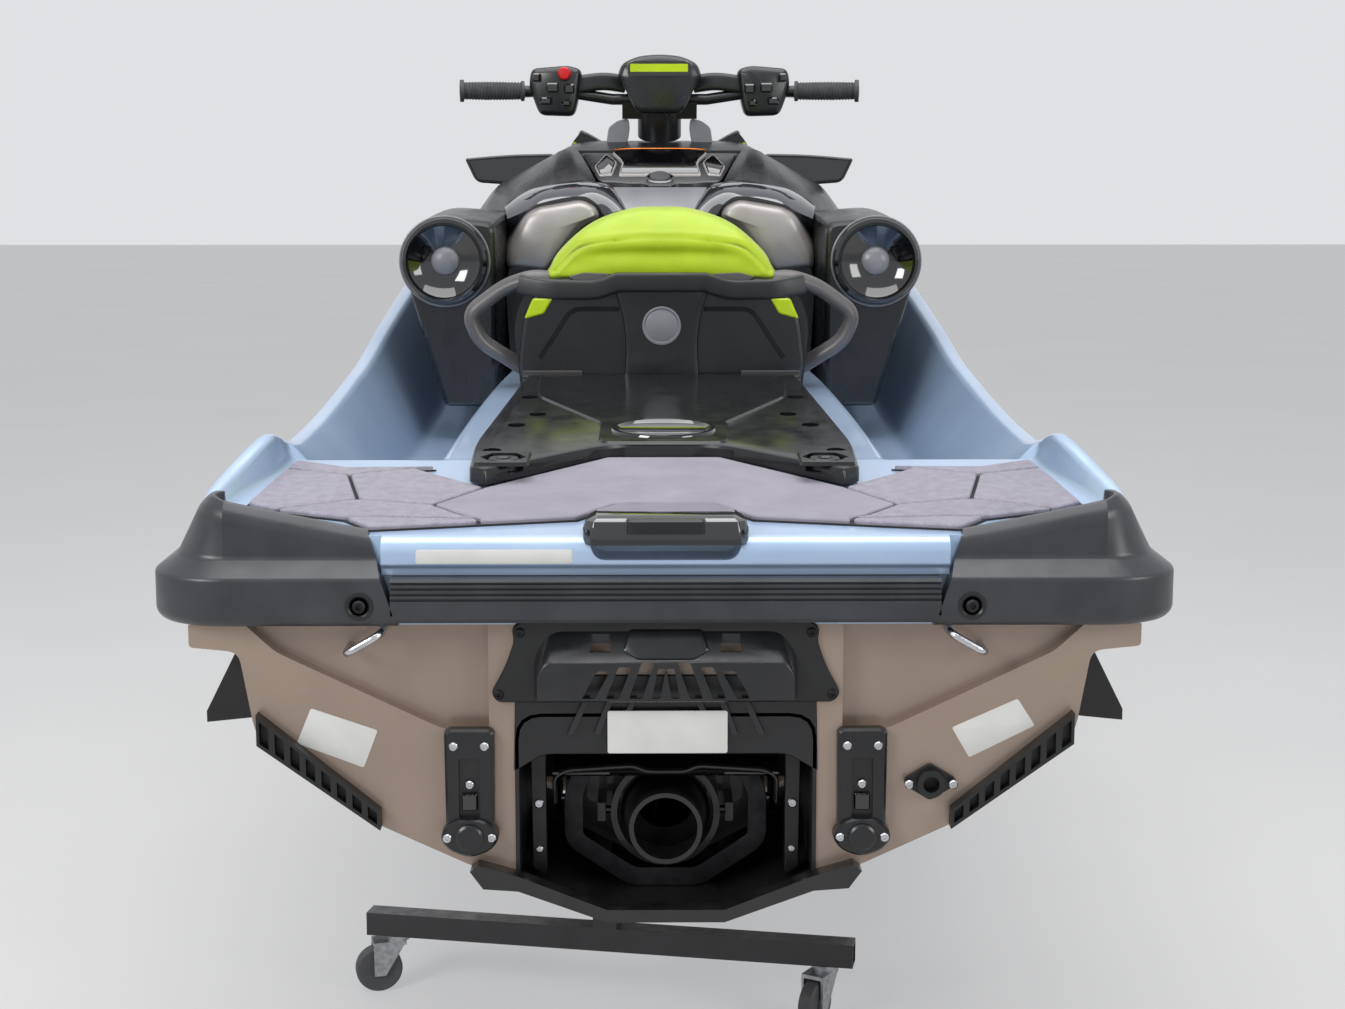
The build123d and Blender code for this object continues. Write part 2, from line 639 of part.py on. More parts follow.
def make_boarding_grip(deck):
    """The hooded fold of smoked plastic that a swimmer pulls on."""
    section = make_face(Polyline([(0, STERN_Y + ahead, z) for ahead, z in BOARDING_SECTION], close=True))
    right = [(x, STERN_Y + ahead, 0) for x, ahead in BOARDING_PLAN]
    left = [(-x, y, z) for x, y, z in reversed(right)]
    plan = extrude(make_face(Polyline(right + left, close=True)), CORNER_TOP_LIMIT_Z)
    low, high = ((x, STERN_Y + ahead, z) for x, ahead, z in BOARDING_RECESS)
    grip = extrude(section, BOARDING_PLAN[1][0], both=True) & plan
    return grip - box_between(low, high) - deck


def floor_slab(start, end, half_width, low, high):
    """A slab that follows the platform and the pedestal, between two heights above them."""
    faces = []
    for y in stations(start, end, ((WELL_START_Y,),)):
        z = pedestal_z(y)
        faces.append(face_at(y, [(half_width, z + low), (half_width, z + high)]))
    return loft(faces, ruled=True)


def make_mat():
    """Foam panels on the swim platform, each apart from the next by a groove."""
    def place(name):
        x, ahead = MAT_POINTS[name]
        return x, TRANSOM_Y + ahead, 0

    slab = floor_slab(TRANSOM_Y, WELL_START_Y, HALF_BEAM, 0, MAT_THICKNESS)
    right = [place(name) for name in MAT_CENTRE]
    left = [(-x, y, z) for x, y, z in reversed(right)]
    outlines = [right + left] + [[place(name) for name in wing] for wing in MAT_WINGS]
    solids = []
    for index, corners in enumerate(outlines):
        panel = offset(make_face(Polyline(corners, close=True)), -MAT_GROOVE / 2, kind=Kind.INTERSECTION)
        solid = extrude(panel, CORNER_TOP_LIMIT_Z) & slab
        solids.append(solid)
        if index:
            solids.append(mirrored(solid))
    return Compound(children=solids)


def make_cargo_deck():
    """The black cargo moulding behind the seat, with its two anchor sockets."""
    right = [(x, y, 0) for x, y in CARGO_PLAN]
    left = [(-x, y, z) for x, y, z in reversed(right)]
    plan = extrude(make_face(Polyline(right + left, close=True)), CORNER_TOP_LIMIT_Z)
    rear_y, front_y = CARGO_PLAN[1][1] - 5, CARGO_PLAN[-1][1]
    top = WALL_GAP + CARGO_THICKNESS
    deck = floor_slab(rear_y, front_y, HALF_BEAM, WALL_GAP, top) & plan
    anchor_z = pedestal_z(ANCHOR_Y)
    for side in (-1, 1):
        x = side * ANCHOR_X
        collar_top = (x, ANCHOR_Y, anchor_z + ANCHOR_TOP)
        deck += rod((x, ANCHOR_Y, anchor_z + CARGO_THICKNESS / 2), collar_top, ANCHOR_COLLAR_R)
        deck -= rod((x, ANCHOR_Y, anchor_z + ANCHOR_TOP - ANCHOR_DEPTH), collar_top, ANCHOR_BORE_R)
    recess_z = pedestal_z(CARGO_RECESS_Y) + CARGO_THICKNESS
    return deck - Pos(0, CARGO_RECESS_Y, recess_z) * extrude(Ellipse(64, 26), 8, both=True)


def loft_rows(table, foot_z=None):
    """A body through the rows of a table of four corners each."""
    faces = []
    for row in table:
        y = row[0]
        corners = [(row[i], row[i + 1]) for i in range(1, 9, 2)]
        if foot_z is not None:
            corners[0] = (row[1], foot_z(y))
        faces.append(face_at(y, corners))
    return loft(faces, ruled=True)


def make_seat_base():
    return loft_rows(SEAT_BASE_SECTIONS, lambda y: pedestal_z(y) + WALL_GAP)


def make_grab_handles(seat_base, rear_seat):
    path = FilletPolyline(GRAB_PATH, radius=GRAB_BENDS)
    section = Plane(origin=path @ 0, z_dir=path % 0) * Circle(GRAB_R)
    handle = sweep(section, path)
    handle = handle - seat_base - rear_seat
    return Compound(children=[handle, mirrored(handle)])


def make_knee_panels(console):
    """Light panels on the console's flanks, where the rider's knees rest."""
    rows = [row_at(CONSOLE_SECTIONS, y) for y in (-148, -40, 70)]
    faces = []
    for row in rows:
        grow = KNEE_PANEL_THICKNESS
        corners = [(row[3], row[4]), (row[3] + grow, row[4]), (row[5] + grow, row[6] + 4)]
        corners += [(row[5] - 60, row[6] + 16), (row[5] - 62, row[6] - 10)]
        faces.append(side_face(row[0], corners))
    rear_y = CONSOLE_SECTIONS[0][0]
    rear = extrude(side_face(rear_y - KNEE_PANEL_THICKNESS, KNEE_REAR_OUTLINE), 12, dir=(0, 1, 0))
    panel = loft(faces, ruled=True) + rear - console
    return Compound(children=[panel, mirrored(panel)])


def make_speaker_pod(deck, console, knee_panels):
    faces = []
    for row in POD_SECTIONS:
        y, inner, low = row[0], row[1], row[2]
        corners = [(inner, low), (row[3], low), (row[4], row[5]), (row[6], row[7])]
        corners += [(row[8], row[9]), (inner, row[10])]
        faces.append(side_face(y, corners))
    return loft(faces, ruled=True) - deck - console - knee_panels


def make_speaker():
    """A round speaker with a raised rim and a centre cap, facing aft."""
    profile = make_face(
        Polyline(
            [
                (0, 0),
                (SPEAKER_R, 0),
                (SPEAKER_R, SPEAKER_DEPTH),
                (SPEAKER_R - 10, SPEAKER_DEPTH + 4),
                (22, 6),
                (20, 12),
                (0, 14),
            ],
            close=True,
        )
    )
    disc = revolve(profile, Axis.Y)
    turned = Rotation(0, 0, 180) * disc
    return Pos(SPEAKER_X, POD_SECTIONS[0][0] - WALL_GAP, SPEAKER_Z) * turned


def lid_line_z(y):
    """The height of the console's top along the lid."""
    return row_at(CONSOLE_SECTIONS, y)[8]


def lid_prism(low_offset, high_offset, side_inset, end_inset):
    """A prism that follows the slope of the glovebox lid."""
    rear, front = LID_REAR_Y + end_inset, LID_HINGE_Y - end_inset
    rear_half, front_half = LID_REAR_HALF - side_inset, LID_FRONT_HALF - side_inset
    rows = ((rear, rear_half), (LID_HINGE_Y - LID_STRAIGHT, front_half), (front, front_half))
    faces = []
    for y, half in rows:
        z = lid_line_z(y)
        faces.append(face_at(y, [(half, z + low_offset), (half, z + high_offset)]))
    return loft(faces, ruled=True)


def steering_plane(distance):
    """A plane across the steering axis, at a distance up it from the console."""
    tilt = radians(STEER_TILT_DEG)
    axis = (0, -sin(tilt), cos(tilt))
    origin = (0, STEER_BASE_Y + axis[1] * distance, STEER_BASE_Z + axis[2] * distance)
    return Plane(origin=origin, x_dir=(1, 0, 0), z_dir=axis)


def make_console(front_seat, deck):
    body = loft_rows(CONSOLE_SECTIONS)
    boss = extrude(steering_plane(-60) * Circle(NECK_R + 14), 60)
    body += boss
    lid_space = lid_prism(-LID_THICKNESS - 1, 60, -LID_GAP, -LID_GAP)
    glovebox = lid_prism(-GLOVEBOX_DEPTH, 0, 22, 16)
    seat_low = (-172, -151, 900)
    seat_space = box_between(seat_low, (172, LID_REAR_Y - 10, 1300))
    return body - lid_space - glovebox - seat_space - front_seat - deck


def make_glovebox_lid():
    """The lid, hollow below, with a hinge barrel at each side of its front edge."""
    lid = lid_prism(-LID_THICKNESS, LID_CROWN, 0, 0)
    lid -= lid_prism(-LID_THICKNESS - 1, -6, 14, 14)
    hinge_z = lid_line_z(LID_HINGE_Y) + LID_CROWN
    for side in (-1, 1):
        start, end = ((side * x, LID_HINGE_Y, hinge_z) for x in LID_BARREL_X)
        lid += rod(start, end, HINGE_BARREL_R)
    return lid


def make_mirror(console):
    outline = side_face(MIRROR_Y - MIRROR_DEPTH / 2, MIRROR_OUTLINE)
    blade = extrude(outline, MIRROR_DEPTH, dir=(0, 1, 0))
    return blade - console


def make_handlebar():
    neck = extrude(steering_plane(WALL_GAP) * Circle(NECK_R), 62)
    clamp_plane = steering_plane(62)
    clamp = clamp_plane * Box(150, 56, 34)
    bar_y = STEER_BASE_Y - 30
    points = [(-BAR_HALF_LENGTH, bar_y - 28, BAR_Z + 2), (-200, bar_y, BAR_Z + 2)]
    points += [(-95, bar_y + 2, BAR_Z - 14), (95, bar_y + 2, BAR_Z - 14)]
    points += [(200, bar_y, BAR_Z + 2), (BAR_HALF_LENGTH, bar_y - 28, BAR_Z + 2)]
    path = FilletPolyline(points, radius=40)
    section = Plane(origin=path @ 0, z_dir=path % 0) * Circle(BAR_R)
    return neck + clamp + sweep(section, path)


def bar_point(x):
    """A point on the bar's centre outboard of its bend."""
    bar_y = STEER_BASE_Y - 30
    share = (abs(x) - 200) / (BAR_HALF_LENGTH - 200)
    return (x, bar_y - 28 * share, BAR_Z + 2)


def make_grips(handlebar):
    solids = []
    for side in (-1, 1):
        end = bar_point(side * (BAR_HALF_LENGTH - 1))
        start = bar_point(side * (BAR_HALF_LENGTH - GRIP_LENGTH))
        flange = bar_point(side * (BAR_HALF_LENGTH - 8))
        solids.append(rod(start, end, GRIP_R) + rod(flange, end, GRIP_R + 5) - handlebar)
    return Compound(children=solids)


def make_housings(handlebar):
    """Switch and throttle housings, each with its lever."""
    solids = []
    for side in (-1, 1):
        block = Pos(side * HOUSING_X, STEER_BASE_Y - 32, BAR_Z) * Box(*HOUSING_SIZE)
        block = fillet(block.edges(), 10)
        lever_start = (side * (HOUSING_X + 30), STEER_BASE_Y - 10, BAR_Z - 14)
        lever_end = (side * (HOUSING_X + 140), STEER_BASE_Y + 12, BAR_Z - 18)
        solids.append(block + rod(lever_start, lever_end, 6) - handlebar)
    return Compound(children=solids)


def make_display_pod(handlebar):
    width, depth, height = POD_SIZE
    block = Pos(0, STEER_BASE_Y - 45, BAR_Z + POD_RISE) * Box(width, depth, height)
    block = fillet(block.edges().filter_by(Axis.Y), 24)
    return max((block - handlebar).solids(), key=lambda solid: solid.volume)


def make_sponson(envelope):
    """A fin on the hull side that tapers into the topside at its front."""
    fin = extrude(side_face(SPONSON_REAR_Y, SPONSON_OUTLINE), SPONSON_LENGTH, dir=(0, 1, 0))
    front_y = SPONSON_REAR_Y + SPONSON_LENGTH
    taper = [(x, front_y - back) for x, back in SPONSON_TAPER]
    taper += [(HALF_BEAM, taper[1][1]), (HALF_BEAM, taper[0][1])]
    nose = make_face(Polyline([(x, y, 590) for x, y in taper], close=True))
    return fin - extrude(nose, 200, dir=(0, 0, 1)) - envelope


def make_chine_tab():
    """A wedge tab under each chine at the transom, ribbed by a row of open cells."""
    tab = extrude(side_face(TRANSOM_Y - 20, CHINE_TAB_OUTLINE), 20, dir=(0, 1, 0))
    (top_x, top_z), (_, low_z), (end_x, end_low), (_, end_top) = CHINE_TAB_OUTLINE
    pitch = (top_x - end_x) / CHINE_TAB_CELLS
    for step in range(CHINE_TAB_CELLS):
        corners = []
        for share, high in ((0.2, False), (0.8, False), (0.8, True), (0.2, True)):
            along = (step + share) / CHINE_TAB_CELLS
            low = end_low + (low_z - end_low) * along + 5
            top = end_top + (top_z - end_top) * along - 5
            corners.append((end_x + (step + share) * pitch, top if high else low))
        tab -= extrude(side_face(TRANSOM_Y - 21, corners), 14, dir=(0, 1, 0))
    return tab


def make_drain_fitting():
    """A plate on the transom with a ridged post, and the drain plug on its flange below."""
    x, z = FITTING_X, FITTING_Z
    plate = Pos(x, TRANSOM_Y - 5, z) * Box(FITTING_WIDTH, 10, FITTING_HEIGHT)
    plate = fillet(plate.edges().filter_by(Axis.Y), 10)
    post = Pos(x, TRANSOM_Y - 14, z + 10) * Box(30, 10, 100)
    width, height = FITTING_FLANGE
    flange_z = FITTING_FLANGE_Z
    corners = [(x - width / 2, flange_z), (x, flange_z - height / 2)]
    corners += [(x + width / 2, flange_z), (x, flange_z + height / 2)]
    flange = extrude(side_face(TRANSOM_Y - 14, corners), 14, dir=(0, 1, 0))
    flange = fillet(flange.edges().filter_by(Axis.Y), 8)
    plug = rod((x, TRANSOM_Y - 10, flange_z), (x, TRANSOM_Y - 24, flange_z), 14)
    return plate + post + flange + plug


def make_flush_port():
    arms = [(FLUSH_X - 38, FLUSH_Z), (FLUSH_X, FLUSH_Z + 23), (FLUSH_X + 38, FLUSH_Z)]
    arms += [(FLUSH_X, FLUSH_Z - 23)]
    plate = extrude(side_face(TRANSOM_Y - 8, arms), 8, dir=(0, 1, 0))
    plate = fillet(plate.edges().filter_by(Axis.Y), 7)
    collar = rod((FLUSH_X, TRANSOM_Y, FLUSH_Z), (FLUSH_X, TRANSOM_Y - 20, FLUSH_Z), 17)
    bore_end = (FLUSH_X, TRANSOM_Y - 0.5, FLUSH_Z)
    bore = rod((FLUSH_X, TRANSOM_Y - 21, FLUSH_Z), bore_end, FLUSH_BORE_R)
    return plate + collar - bore


def make_tow_hooks():
    """Two U-bolts on the stern."""
    solids = []
    base_y = TRANSOM_Y + RECESS_DEPTH
    loop_y = TRANSOM_Y - TOW_HOOK_REACH
    for side in (-1, 1):
        (x_in, z_in), (x_out, z_out) = TOW_HOOK_ENDS
        points = [(side * x_in, base_y, z_in), (side * x_in, loop_y, z_in)]
        points += [(side * x_out, loop_y, z_out), (side * x_out, base_y, z_out)]
        path = FilletPolyline(points, radius=12)
        section = Plane(origin=path @ 0, z_dir=path % 0) * Circle(TOW_ROD_R)
        solids.append(sweep(section, path))
    return solids


def make_bow_eye(envelope):
    y = BOW_EYE_Y
    corners = [(-6, BOW_EYE_Z - 22), (6, BOW_EYE_Z - 22), (6, BOW_EYE_Z + 22), (-6, BOW_EYE_Z + 22)]
    tab = extrude(side_face(y - 40, corners), 75, dir=(0, 1, 0))
    hole = rod((-10, y + 14, BOW_EYE_Z), (10, y + 14, BOW_EYE_Z), BOW_EYE_BORE_R)
    return tab - envelope - hole


def make_shroud():
    """The vented cover over the jet, with its windows and fanned slots."""
    right = list(SHROUD_OUTLINE)
    left = [(-x, z) for x, z in reversed(right)]
    shroud = extrude(side_face(TRANSOM_Y - 6, right + left), 6, dir=(0, 1, 0))
    faces = []
    for aft, half, top in SHROUD_ROWS:
        corners = [(-half, top), (half, top), (half + 18, SHROUD_FOOT_Z), (-half - 18, SHROUD_FOOT_Z)]
        faces.append(side_face(TRANSOM_Y - aft, corners))
    shroud += loft(faces, ruled=True)
    middle = (SHROUD_SLOTS - 1) / 2
    for step in range(SHROUD_SLOTS):
        x = 30 * (step - middle)
        lean = 2 * (step - middle)
        slot = [(x - 5, 746), (x + 5, 746), (x + 6 + lean, 714), (x - 6 + lean, 714)]
        shroud -= extrude(side_face(STERN_Y - 5, slot), 30, dir=(0, 1, 0))
    for side in (-1, 1):
        xs = sorted((side * 76, side * 108))
        window = box_between((xs[0], STERN_Y - 5, 757), (xs[1], TRANSOM_Y - 14, 800))
        shroud -= window
    return shroud


def make_ride_plate():
    """The plate that closes the tunnel below the pump, with a thicker rim across the stern."""
    right = list(RIDE_RIM_OUTLINE)
    left = [(-x, z) for x, z in reversed(right)]
    rim = extrude(side_face(TRANSOM_Y - RIDE_RIM_DEPTH, right + left), RIDE_RIM_DEPTH, dir=(0, 1, 0))
    low = [(x, z) for x, z in RIDE_PLATE_OUTLINE]
    high = [(x, z + RIDE_PLATE_THICKNESS) for x, z in reversed(RIDE_PLATE_OUTLINE)]
    half = low + high
    outline = half + [(-x, z) for x, z in reversed(half)]
    length = TUNNEL_FRONT_Y - PUMP_FLANGE - TRANSOM_Y
    return rim + extrude(side_face(TRANSOM_Y, outline), length, dir=(0, 1, 0))


def make_intake_grate(hull):
    length = INTAKE_FRONT_Y - INTAKE_REAR_Y
    centre_y = (INTAKE_FRONT_Y + INTAKE_REAR_Y) / 2
    frame = Pos(0, centre_y, KEEL_HEIGHT + GRATE_RISE) * Box(2 * INTAKE_HALF_WIDTH - 2, length - 4, 10)
    spacing = (2 * INTAKE_HALF_WIDTH - 26) / GRATE_BARS
    for step in range(GRATE_BARS):
        x = -INTAKE_HALF_WIDTH + 13 + spacing * (step + 0.5)
        frame -= Pos(x, centre_y, KEEL_HEIGHT + GRATE_RISE) * Box(spacing - 9, length - 60, 12)
    return frame - hull


def make_pump_housing():
    wall = PUMP_BORE_R + PUMP_WALL
    hub_y = TUNNEL_FRONT_Y - 142
    vane_y = TUNNEL_FRONT_Y - 120
    profile = [
        (PUMP_BORE_R, TUNNEL_FRONT_Y),
        (wall + PUMP_FLANGE, TUNNEL_FRONT_Y),
        (wall + PUMP_FLANGE, TUNNEL_FRONT_Y - 12),
        (wall, TUNNEL_FRONT_Y - 12),
        (wall, hub_y - 8),
        (VENTURI_END_BORE_R + 6, VENTURI_END_Y),
        (VENTURI_END_BORE_R, VENTURI_END_Y),
        (PUMP_BORE_R, hub_y - 8),
    ]
    shell_face = make_face(Polyline([(r, y, 0) for r, y in profile], close=True))
    shell = revolve(shell_face, Axis.Y)
    hub_front, hub_end = TUNNEL_FRONT_Y - 92, TUNNEL_FRONT_Y - 220
    hub_profile = [(0, hub_front), (IMPELLER_HUB_R, hub_front), (IMPELLER_HUB_R, hub_y - 3)]
    hub_profile += [(0, hub_end)]
    hub = revolve(make_face(Polyline([(r, y, 0) for r, y in hub_profile], close=True)), Axis.Y)
    vane_size = (PUMP_BORE_R - IMPELLER_HUB_R + 4, 46, 5)
    vane = Pos((IMPELLER_HUB_R + PUMP_BORE_R) / 2, vane_y, 0) * Box(*vane_size)
    for step in range(STATOR_VANES):
        hub += Rotation(0, 360 * step / STATOR_VANES, 0) * vane
    pump = Pos(0, 0, SHAFT_Z) * (shell + hub)
    right = list(END_PLATE_OUTLINE)
    left = [(-x, z) for x, z in reversed(right)]
    plate = extrude(side_face(VENTURI_END_Y, right + left), 14, dir=(0, 1, 0))
    step_y = VENTURI_END_Y + 10
    plate -= rod((0, step_y, SHAFT_Z), (0, step_y + 20, SHAFT_Z), VENTURI_END_BORE_R + 4)
    plate -= rod((0, VENTURI_END_Y - 2, SHAFT_Z), (0, step_y + 10, SHAFT_Z), VENTURI_END_BORE_R)
    pump += plate
    for side in (-1, 1):
        ring_arm_low = (side * 82 - 5, NOZZLE_PIVOT_Y - 12, SHAFT_Z - 12)
        ring_arm = box_between(ring_arm_low, (side * 82 + 5, step_y, SHAFT_Z + 12))
        gate_arm_low = (side * 118 - 5, NOZZLE_PIVOT_Y - 12, GATE_PIVOT_Z - 14)
        gate_arm = box_between(gate_arm_low, (side * 118 + 5, step_y, GATE_PIVOT_Z + 14))
        pump += ring_arm
        pump += gate_arm
    return pump


def make_impeller():
    front_y = TUNNEL_FRONT_Y - 8
    hub = rod((0, front_y, 0), (0, front_y - IMPELLER_LENGTH, 0), IMPELLER_HUB_R)
    reach = IMPELLER_R - IMPELLER_HUB_R + 4
    blade = Pos(IMPELLER_R - reach / 2, 0, 0) * Rotation(38, 0, 0) * Box(reach, 64, 5)
    rim = rod((0, 60, 0), (0, -60, 0), IMPELLER_R)
    blade = Pos(0, front_y - IMPELLER_LENGTH / 2, 0) * (blade & rim)
    for step in range(IMPELLER_BLADES):
        hub += Rotation(0, 360 * step / IMPELLER_BLADES, 0) * blade
    shaft_front = ENGINE_CENTRE_Y - ENGINE_SIZE[1] / 2 - WALL_GAP
    shaft = rod((0, front_y, 0), (0, shaft_front, 0), SHAFT_R)
    return Pos(0, 0, SHAFT_Z) * (hub + shaft)


def make_trim_ring():
    tube = rod((0, NOZZLE_PIVOT_Y - RING_LENGTH / 2, SHAFT_Z),
               (0, NOZZLE_PIVOT_Y + RING_LENGTH / 2, SHAFT_Z), RING_OUTER_R)
    tube -= rod((0, NOZZLE_PIVOT_Y - 40, SHAFT_Z), (0, NOZZLE_PIVOT_Y + 40, SHAFT_Z), RING_INNER_R)
    for side in (-1, 1):
        start = (side * (RING_OUTER_R - 3), NOZZLE_PIVOT_Y, SHAFT_Z)
        tube += rod(start, (side * 76.7, NOZZLE_PIVOT_Y, SHAFT_Z), PIVOT_PIN_R)
    return tube


def make_nozzle():
    front_y = NOZZLE_PIVOT_Y + 4
    exit_y = NOZZLE_PIVOT_Y - NOZZLE_LENGTH
    profile = [
        (NOZZLE_INLET_R - NOZZLE_WALL, front_y),
        (NOZZLE_INLET_R, front_y),
        (NOZZLE_INLET_R, front_y - 16),
        (NOZZLE_EXIT_R, exit_y + 24),
        (NOZZLE_EXIT_R, exit_y),
        (NOZZLE_EXIT_R - NOZZLE_WALL, exit_y),
        (NOZZLE_EXIT_R - NOZZLE_WALL, exit_y + 24),
    ]
    nozzle = revolve(make_face(Polyline([(r, y, 0) for r, y in profile], close=True)), Axis.Y)
    for side in (-1, 1):
        start = (0, NOZZLE_PIVOT_Y, side * (NOZZLE_INLET_R - 4))
        nozzle += rod(start, (0, NOZZLE_PIVOT_Y, side * (RING_INNER_R - 0.5)), PIVOT_PIN_R)
    return Pos(0, 0, SHAFT_Z) * nozzle


def gate_point(radius, angle_deg):
    angle = radians(angle_deg)
    return (NOZZLE_PIVOT_Y - radius * cos(angle), GATE_PIVOT_Z + radius * sin(angle))


def make_reverse_gate():
    """The bucket that swings down behind the nozzle, on its two side arms."""
    low, high = GATE_LOW_EDGE_DEG, GATE_HIGH_EDGE_DEG
    middle = (low + high) / 2
    corner = {key: (0, *gate_point(*key)) for key in (
        (GATE_INNER_R, low), (GATE_INNER_R, middle), (GATE_INNER_R, high),
        (GATE_OUTER_R, low), (GATE_OUTER_R, middle), (GATE_OUTER_R, high))}
    outline = [
        ThreePointArc(corner[GATE_OUTER_R, low], corner[GATE_OUTER_R, middle],
                      corner[GATE_OUTER_R, high]),
        Line(corner[GATE_OUTER_R, high], corner[GATE_INNER_R, high]),
        ThreePointArc(corner[GATE_INNER_R, high], corner[GATE_INNER_R, middle],
                      corner[GATE_INNER_R, low]),
        Line(corner[GATE_INNER_R, low], corner[GATE_OUTER_R, low]),
    ]
    bucket = extrude(make_face(outline), GATE_HALF_WIDTH, both=True)
    hub = (NOZZLE_PIVOT_Y, GATE_PIVOT_Z)
    low_in, high_in = gate_point(GATE_OUTER_R, low), gate_point(GATE_OUTER_R, high)
    arm_corners = [(hub[0] - 14, hub[1] - 14), low_in, high_in, (hub[0] + 14, hub[1] + 4)]
    arm_face = make_face(Polyline([(0, y, z) for y, z in arm_corners], close=True))
    window = make_face(Polyline([(0, y, z) for y, z in (
        gate_point(40, low + 16), gate_point(GATE_INNER_R - 14, low + 10),
        gate_point(GATE_INNER_R - 14, high - 18), gate_point(44, high - 24))], close=True))
    gate = bucket
    for side in (-1, 1):
        arm = extrude(arm_face, 8, dir=(1, 0, 0)) - extrude(window, 8, dir=(1, 0, 0))
        start_x = GATE_HALF_WIDTH - 8 if side > 0 else -GATE_HALF_WIDTH
        pin_x = side * (GATE_HALF_WIDTH - 8)
        pin = rod((pin_x, *hub), (side * 123.3, *hub), PIVOT_PIN_R)
        gate += Pos(start_x, 0, 0) * arm
        gate += pin
    return gate


def make_engine():
    width, length, height = ENGINE_SIZE
    low = (-width / 2, ENGINE_CENTRE_Y - length / 2, ENGINE_FLOOR_Z)
    return box_between(low, (width / 2, ENGINE_CENTRE_Y + length / 2, ENGINE_FLOOR_Z + height))


def dolly_frame_place():
    """The dolly's own frame: x along its beams, y along its spine, from the rear beam."""
    return Pos(DOLLY_REAR_X, DOLLY_REAR_Y, 0) * Rotation(0, 0, DOLLY_YAW_DEG)


def make_dolly_frame():
    beam_z = BEAM_TOP_Z - TUBE / 2
    spine = Pos(0, DOLLY_WHEELBASE / 2, beam_z) * Box(TUBE, DOLLY_WHEELBASE - TUBE, TUBE)
    frame = spine
    for y in (0, DOLLY_WHEELBASE):
        beam = Pos(0, y, beam_z) * Box(BEAM_LENGTH, TUBE, TUBE)
        for side in (-1, 1):
            end_x = side * (BEAM_LENGTH / 2 - 20)
            beam -= Pos(end_x, y, beam_z) * Box(40.1, TUBE - 6, TUBE - 6)
        post_height = CRADLE_TOP_Z - TUBE - BEAM_TOP_Z
        post = Pos(0, y, BEAM_TOP_Z + post_height / 2) * Box(TUBE, TUBE, post_height)
        bar = Pos(0, y, CRADLE_TOP_Z - TUBE / 2) * Box(CRADLE_BAR_LENGTH, TUBE, TUBE)
        frame = frame + beam + post + bar
    return dolly_frame_place() * frame


def make_bunks(envelope):
    length = DOLLY_WHEELBASE + 2 * BUNK_OVERHANG
    solids = []
    for side in (-1, 1):
        centre = (side * BUNK_OFFSET, DOLLY_WHEELBASE / 2, CRADLE_TOP_Z + BUNK_HEIGHT / 2)
        board = Pos(*centre) * Box(BUNK_WIDTH, length, BUNK_HEIGHT)
        board = dolly_frame_place() * board - envelope
        solids += [max(board.solids(), key=lambda solid: -solid.center().Z)]
    return Compound(children=solids)


def caster_place(across, along, heading_deg):
    x = across * (BEAM_LENGTH / 2 - CASTER_INSET)
    return dolly_frame_place() * Pos(x, along * DOLLY_WHEELBASE, 0) * Rotation(0, 0, heading_deg)


def make_caster_fork():
    """Swivel plate, crown and two cheeks, trailing along local x."""
    top_z = BEAM_TOP_Z - TUBE - WALL_GAP
    plate = Pos(0, 0, top_z - 8) * extrude(Circle(20), 8)
    gap = CASTER_WHEEL_WIDTH / 2 + 3
    crown_low = (-12, -gap - CASTER_PLATE, top_z - 14)
    crown = box_between(crown_low, (CASTER_TRAIL + 10, gap + CASTER_PLATE, top_z - 8))
    fork = plate + crown
    for side in (-1, 1):
        cheek_corners = [(-12, top_z - 8), (CASTER_TRAIL + 10, top_z - 8)]
        cheek_corners += [(CASTER_TRAIL + 9, CASTER_WHEEL_R - 9), (CASTER_TRAIL - 9, CASTER_WHEEL_R - 9)]
        y = gap if side > 0 else -gap - CASTER_PLATE
        face = make_face(Polyline([(x, y, z) for x, z in cheek_corners], close=True))
        fork += extrude(face, CASTER_PLATE, dir=(0, 1, 0))
    axle = rod((CASTER_TRAIL, -gap - 3, CASTER_WHEEL_R), (CASTER_TRAIL, gap + 3, CASTER_WHEEL_R), 5)
    return fork + axle


def make_caster_wheel():
    half = CASTER_WHEEL_WIDTH / 2
    tread = rod((0, -half, 0), (0, half, 0), CASTER_WHEEL_R)
    tread = fillet(tread.edges(), 5)
    hub = rod((0, -half - 2, 0), (0, half + 2, 0), 13)
    bore = rod((0, -half - 3, 0), (0, half + 3, 0), 5 + WALL_GAP)
    return Pos(CASTER_TRAIL, 0, CASTER_WHEEL_R) * (tread + hub - bore)


